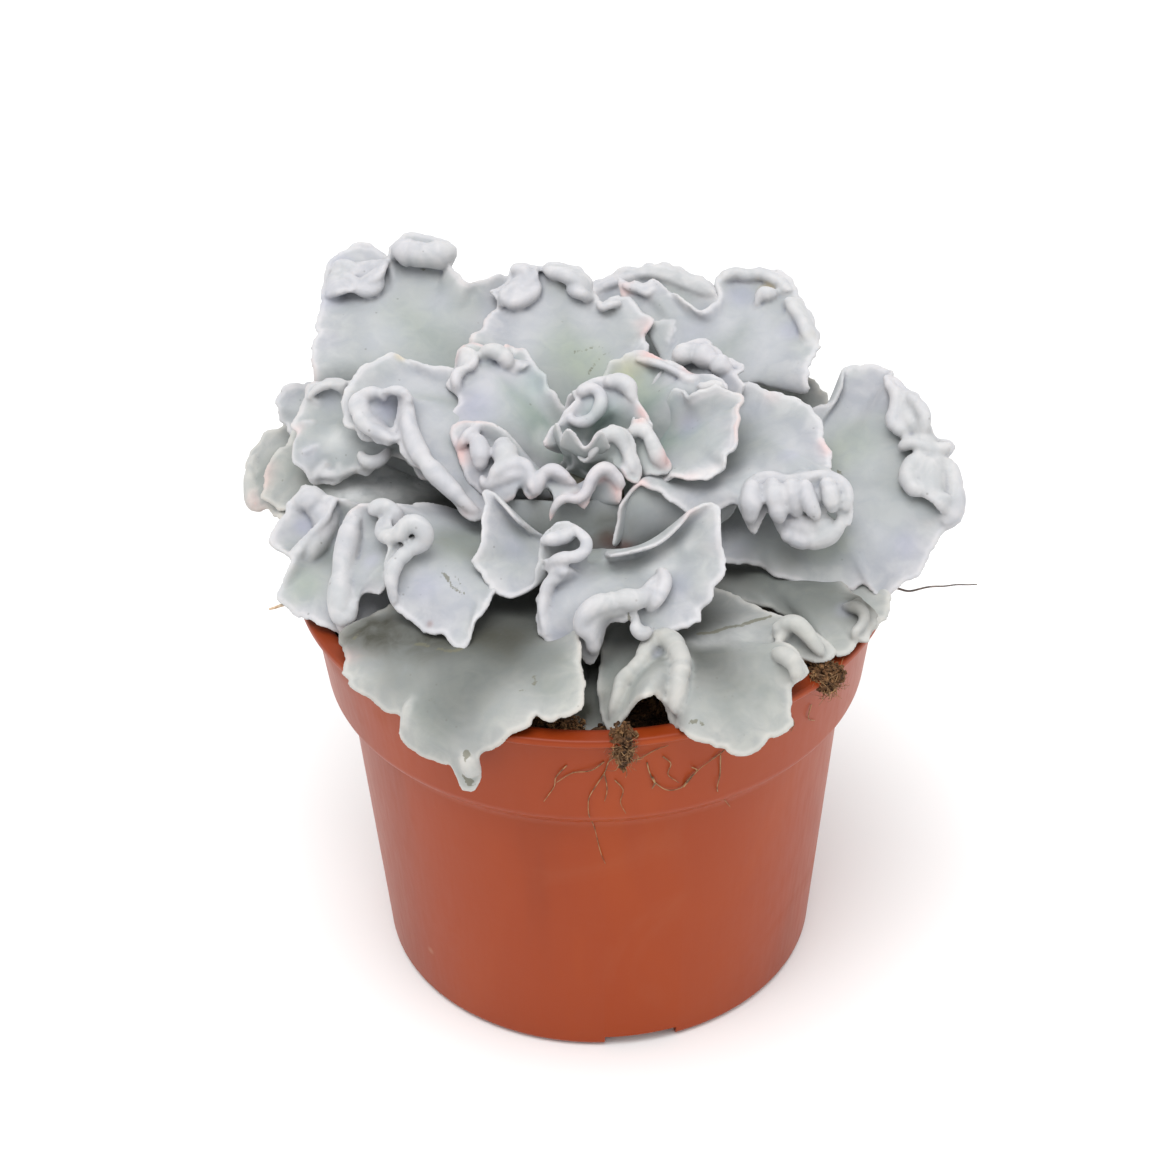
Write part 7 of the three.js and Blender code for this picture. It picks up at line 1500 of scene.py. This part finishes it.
def crumbPart(draw, ball, centre, size):    # a rough lump, squashed a little each way
    points, faces = ball
    squash = draw.uniform(0.6, 1.1, 3)
    rough = 1 + 0.45 * softNoise(points + draw.uniform(0, 90, 3), 0.55)
    return points * rough[:, None] * squash * size + centre, faces


def joinedPiece(name, parts, slot, material):    # crumbs keep their facets
    return makePiece(name, *joinParts(parts), slot, material, smooth=slot != 'peat')


def makePeat():
    peat, dry = peatMaterial('peatCrumb', peatLook), peatMaterial('dryPeat', dryLook)
    fibre = fibreMaterial('peatFibre', *strandLooks['peatFibre'])
    draw = np.random.default_rng(crumbs['seed'])
    rim = wallRadius(bed['top']) - bed['gap']
    rings, spokes = bed['rings'], bed['spokes']
    turns = roundTurns(spokes)
    points = [np.array([[0, 0, soilAt(0.0, 0.0)]])]
    for radius in np.linspace(0, rim, rings + 1)[1:]:
        x, y = radius * np.cos(turns), radius * np.sin(turns)
        points.append(np.stack([x, y, soilHeight(x, y)], 1))
    for z in (*bed['sides'], pot['channel'] + pot['floor'] + bed['gap']):
        radius = wallRadius(z) - bed['gap']
        points.append(np.stack([radius * np.cos(turns), radius * np.sin(turns), np.full(spokes, z)], 1))
    ring = [1 + k * spokes + np.arange(spokes) for k in range(len(points) - 1)]
    faces = [(0, int(ring[0][k]), int(ring[0][(k + 1) % spokes])) for k in range(spokes)]
    for a, b in zip(ring[:-1], ring[1:]):
        faces += np.stack([a, b, np.roll(b, -1), np.roll(a, -1)], -1).tolist()
    faces.append(tuple(int(i) for i in ring[-1][::-1]))
    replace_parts(makePiece('peatBed', np.concatenate(points), faces, 'peat', peat), 'soil')

    ball, parts, strands = icoBall(1), [], []
    for _ in range(crumbs['count']):
        x, y = scatterSpot(draw, rim - crumbs['fromWall'], crumbs['inmost'])
        share = draw.uniform() ** crumbs['mostlySmall']
        size = crumbs['small'] + (crumbs['large'] - crumbs['small']) * share
        centre = np.array([x, y, soilAt(x, y) + crumbs['lift'] * size])
        parts.append(crumbPart(draw, ball, centre, size))
    joinedPiece('peatCrumbs', parts, 'peat', peat)

    for k in range(fibres['count']):
        x, y = scatterSpot(draw, rim - fibres['fromWall'], fibres['inmost'])
        heading, length = draw.uniform(0, fullTurn), draw.uniform(*fibres['length'])
        route = []
        for _ in range(fibres['points']):
            heading += draw.normal(0, fibres['swerve'])
            route.append((x, y, soilAt(x, y) + fibres['lift'] + draw.uniform(*fibres['uneven'])))
            x, y = x + math.cos(heading) * length / 4, y + math.sin(heading) * length / 4
            if math.hypot(x, y) > rim - 1:
                break
        if len(route) > 2:
            strands.append(strandParts(route, fibres['radius'], sides=4, steps=12, seed=k))
    joinedPiece('peatFibres', strands, 'dry_fibre', fibre)

    for name, clump in clumps.items():
        makeClump(name, clump, dry, fibre)
    print("peat made")
    return fibre


def makeClump(name, clump, peat, fibre):    # a tuft of root and peat, drawn to a point below
    draw = np.random.default_rng(clump['seed'])
    centre, radii = np.array(clump['at']), np.array(clump['radii'])

    def narrowed(spots):
        low = np.clip(0.5 - spots[..., 2] / 2, 0, 1)
        narrow = 1 - clump['point'] * low
        return centre + spots * np.stack([narrow, narrow, np.ones_like(low)], -1) * radii

    core, faces = icoBall(4)
    rough = 0.66 + 0.5 * crumbleNoise(core * 4 + clump['seed'], 1.3, clump['seed'])
    parts, ball, strands = [(narrowed(core * rough[:, None]), faces)], icoBall(1), []
    for _ in range(clump['crumbs']):
        spot = unit(draw.normal(0, 1, 3)) * draw.uniform(*clumpRange['outer'])
        parts.append(crumbPart(draw, ball, narrowed(spot), draw.uniform(*clumpRange['crumb'])))
    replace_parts(joinedPiece(name + '_crumbs', parts, 'peat', peat), name)
    for k in range(clump['fibres']):
        way = unit(draw.normal(0, 1, 3))
        side = unit(np.cross(way, draw.normal(0, 1, 3)) - np.array([0, 0, 0.5]))
        start = narrowed(way * 0.7)
        bend = draw.uniform(*clumpRange['bend'], 3)
        route = [start, start + way * bend[0] + side * 0.6,
                 start + way * bend[1] + side * draw.uniform(*clumpRange['middle']),
                 start + way * bend[2] + side * draw.uniform(*clumpRange['end'])]
        radius = draw.uniform(*clumpRange['fibre'])
        strands.append(strandParts(route, radius, sides=4, steps=9, wobble=0.5, seed=k))
    joinedPiece(name + '_fibres', strands, 'dry_fibre', fibre)


stem = dict(bottom=66, foot=67, shrink=2, top=112.6, tip=113, rows=90, sides=64, rings=1.9,
            ringDepth=0.25, lumps=((4.0, 0.25, 6), (1.5, 0.12, 7)), bark=(104, 84, 70),
            green=(122, 124, 112), roughness=0.85, patch=300, fine=700, bumpStrength=0.5, bumpDepth=0.0005)


def makeStem():
    material, tree, shader = newMaterial('stemSkin', stem['roughness'])
    patch = grain(tree, stem['patch'], 4, 0.5)
    colour = ramp(tree, patch, (0.3, rgb(*stem['bark'])), (0.62, rgb(*stem['green'])))
    tree.links.new(colour, shader.inputs['Base Color'])
    bump(tree, shader, grain(tree, stem['fine'], 3), stem['bumpStrength'], stem['bumpDepth'])
    line = [(radiusAt(stemProfile, z) - (stem['shrink'] if z < stem['foot'] else 0)
             + stem['ringDepth'] * math.sin(z * stem['rings']), z)
            for z in np.linspace(stem['bottom'], stem['top'], stem['rows'])]
    points, faces = latheParts([(0, stem['bottom']), *line, (0, stem['tip'])], stem['sides'])
    points = np.array(points, float)
    rough = sum(depth * softNoise(points, size, seed) for size, depth, seed in stem['lumps'])
    outward = unit(points * np.array([1, 1, 0]) + 1e-9)
    points = points + outward * rough[:, None] + stemCentre
    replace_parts(makePiece('stemSkinned', points, faces, 'stem_skin', material), 'stem')
    print("stem made")


potRoots = [    # fine roots on the pot's face: radius, then x and height of each point
    (0.12, [(4, 86.5), (2, 85.5), (1, 82), (-1, 78), (-2, 75), (-2, 71), (-1, 64), (0, 58), (1, 54)]),
    (0.12, [(1, 82), (1.5, 78), (1, 74.5)]),
    (0.12, [(4.5, 84.5), (7.5, 85.5), (10.5, 87), (13, 88)]),
    (0.13, [(9, 84), (9.5, 81.5), (10.5, 78.5), (13, 76), (16, 76), (18.5, 79.5), (21.5, 81.5)]),
    (0.2, [(16, 76), (17, 78), (18.5, 79.5), (17.5, 81)]),
    (0.24, [(10, 80), (10.5, 78.5), (10, 77)]),
    (0.12, [(-6, 84), (-8, 81), (-8.5, 78), (-10.5, 74)]),
    (0.13, [(1, 85), (-1.5, 83), (-5, 82), (-8, 79.5)]),
    (0.12, [(12, 85), (13.5, 83), (13, 80), (15, 77.5)]),
    (0.13, [(21.5, 81.5), (24, 83.5), (26, 86)]),
    (0.1, [(3, 80), (4.5, 77.5), (4, 74), (5, 71)]),
    (0.12, [(36, 85), (37.5, 82.5), (37, 80)]),
    (0.12, [(41, 84), (40.5, 81), (42, 78.5)]),
    (0.13, [(23, 82), (23, 80), (23, 76.5), (22.5, 73), (24, 66.5), (25.5, 63)]),
]
lipStrands = {    # both start in the peat and stand out over the lip
    "strayRoot": dict(node="stray_root", look="darkRoot", strand=dict(
        radius=0.34, sides=6, steps=60, wobble=0.4, seed=3, route=[
            (50, -14, 84.3), (51, -14, 92), (53.5, -14.5, 94), (58, -15, 93.6), (62, -15.5, 93.2),
            (66, -15.6, 93.9), (70, -15.8, 94.3), (75, -16, 94.6)])),
    "dryStalk": dict(node="dry_stalk", look="dryStalk", strand=dict(
        radius=0.75, sides=8, steps=30, taper=0.3, wobble=0.2, seed=4, route=[
            (-50, -13, 84.3), (-53, -14.5, 91), (-57.5, -16, 93.5), (-61, -17.5, 94),
            (-64, -18.5, 93.8)])),
}


def makeRoots(fibre):
    outer = [(pot['foot'], 0), (pot['shoulder'], pot['shoulderZ']), (pot['collarFoot'], pot['collarFootZ']),
             (pot['collarTop'], pot['height'] - pot['lipDepth'])]
    strands = []
    for k, (radius, way) in enumerate(potRoots):
        route = []
        for i, (x, z) in enumerate(way):
            reach = radiusAt(outer, z) + radius + 0.1 + 0.25 * (i % 2)
            route.append((x, -math.sqrt(reach ** 2 - x ** 2), z))
        strands.append(strandParts(route, radius, sides=5, steps=40, taper=0.5, seed=k))
    joinedPiece('faceRoots', strands, 'dry_fibre', fibre)
    for name, row in lipStrands.items():
        material = fibreMaterial(row['look'], *strandLooks[row['look']])
        piece = makePiece(name, *strandParts(**row['strand']), 'dry_fibre', material)
        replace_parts(piece, row['node'])
    print("roots made")


photoView = dict(elevation=35.2, distance=560, lens=85, sensor=36, aim=(-2.1, 0, 85.3), roll=-1.1)
studio = dict(floor=(0.8, 0.8, 0.8), floorLift=1.02, floorHalf=6, sky=1.0, lampsAim=(0, 0, 0.08))
lamps = dict(key=dict(energy=30, size=1.3, at=(-0.2, -0.5, 1.85)),
             fill=dict(energy=3, size=1.6, at=(1.2, -0.8, 0.9)))


def makeCamera():
    tilt, turn = math.radians(photoView['elevation']), math.radians(photoView['roll'])
    ahead = Vector((0, math.cos(tilt), -math.sin(tilt)))
    right, above = Vector((1, 0, 0)), Vector((0, math.sin(tilt), math.cos(tilt)))
    level = math.cos(turn) * right + math.sin(turn) * above
    upright = math.cos(turn) * above - math.sin(turn) * right
    place = (Vector(photoView['aim']) - ahead * photoView['distance']) * mm
    camera = linked('camera', bpy.data.cameras.new('camera'))
    camera.data.lens, camera.data.sensor_width = photoView['lens'], photoView['sensor']
    camera.data.clip_start = 0.01
    camera.matrix_world = Matrix.Translation(place) @ Matrix(
        (level, upright, -ahead)).transposed().to_4x4()
    bpy.context.scene.camera = camera


def makeStudio():
    material, tree, shader = newMaterial('paleFloor', 0.9)
    lighter = tuple(v * studio['floorLift'] for v in studio['floor'])
    shade = ramp(tree, grain(tree, 6, 2), (0.3, studio['floor']), (0.7, lighter))
    tree.links.new(shade, shader.inputs['Base Color'])
    mesh, half = bpy.data.meshes.new('floor'), studio['floorHalf']
    mesh.from_pydata([(-half, -half, 0), (half, -half, 0), (half, half, 0), (-half, half, 0)], [],
                     [(0, 1, 2, 3)])
    mesh.materials.append(material)
    linked('floor', mesh)
    world = bpy.data.worlds.new('studioSky')
    bpy.context.scene.world = world
    world.use_nodes = True
    sky = world.node_tree.nodes['Background']
    sky.inputs['Color'].default_value = (1, 1, 1, 1)
    sky.inputs['Strength'].default_value = studio['sky']
    for name, settings in lamps.items():
        light = bpy.data.lights.new(name, 'AREA')
        light.energy, light.size = settings['energy'], settings['size']
        lamp = linked(name, light)
        lamp.location = settings['at']
        towards = Vector(studio['lampsAim']) - Vector(settings['at'])
        lamp.rotation_euler = towards.to_track_quat('-Z', 'Y').to_euler()
    bpy.context.scene.view_settings.view_transform = 'Standard'
    print("studio made")


makeCamera()
makeStudio()
makePot()
makeStem()
looseFibre = makePeat()
makeRoots(looseFibre)
makeLeaves()
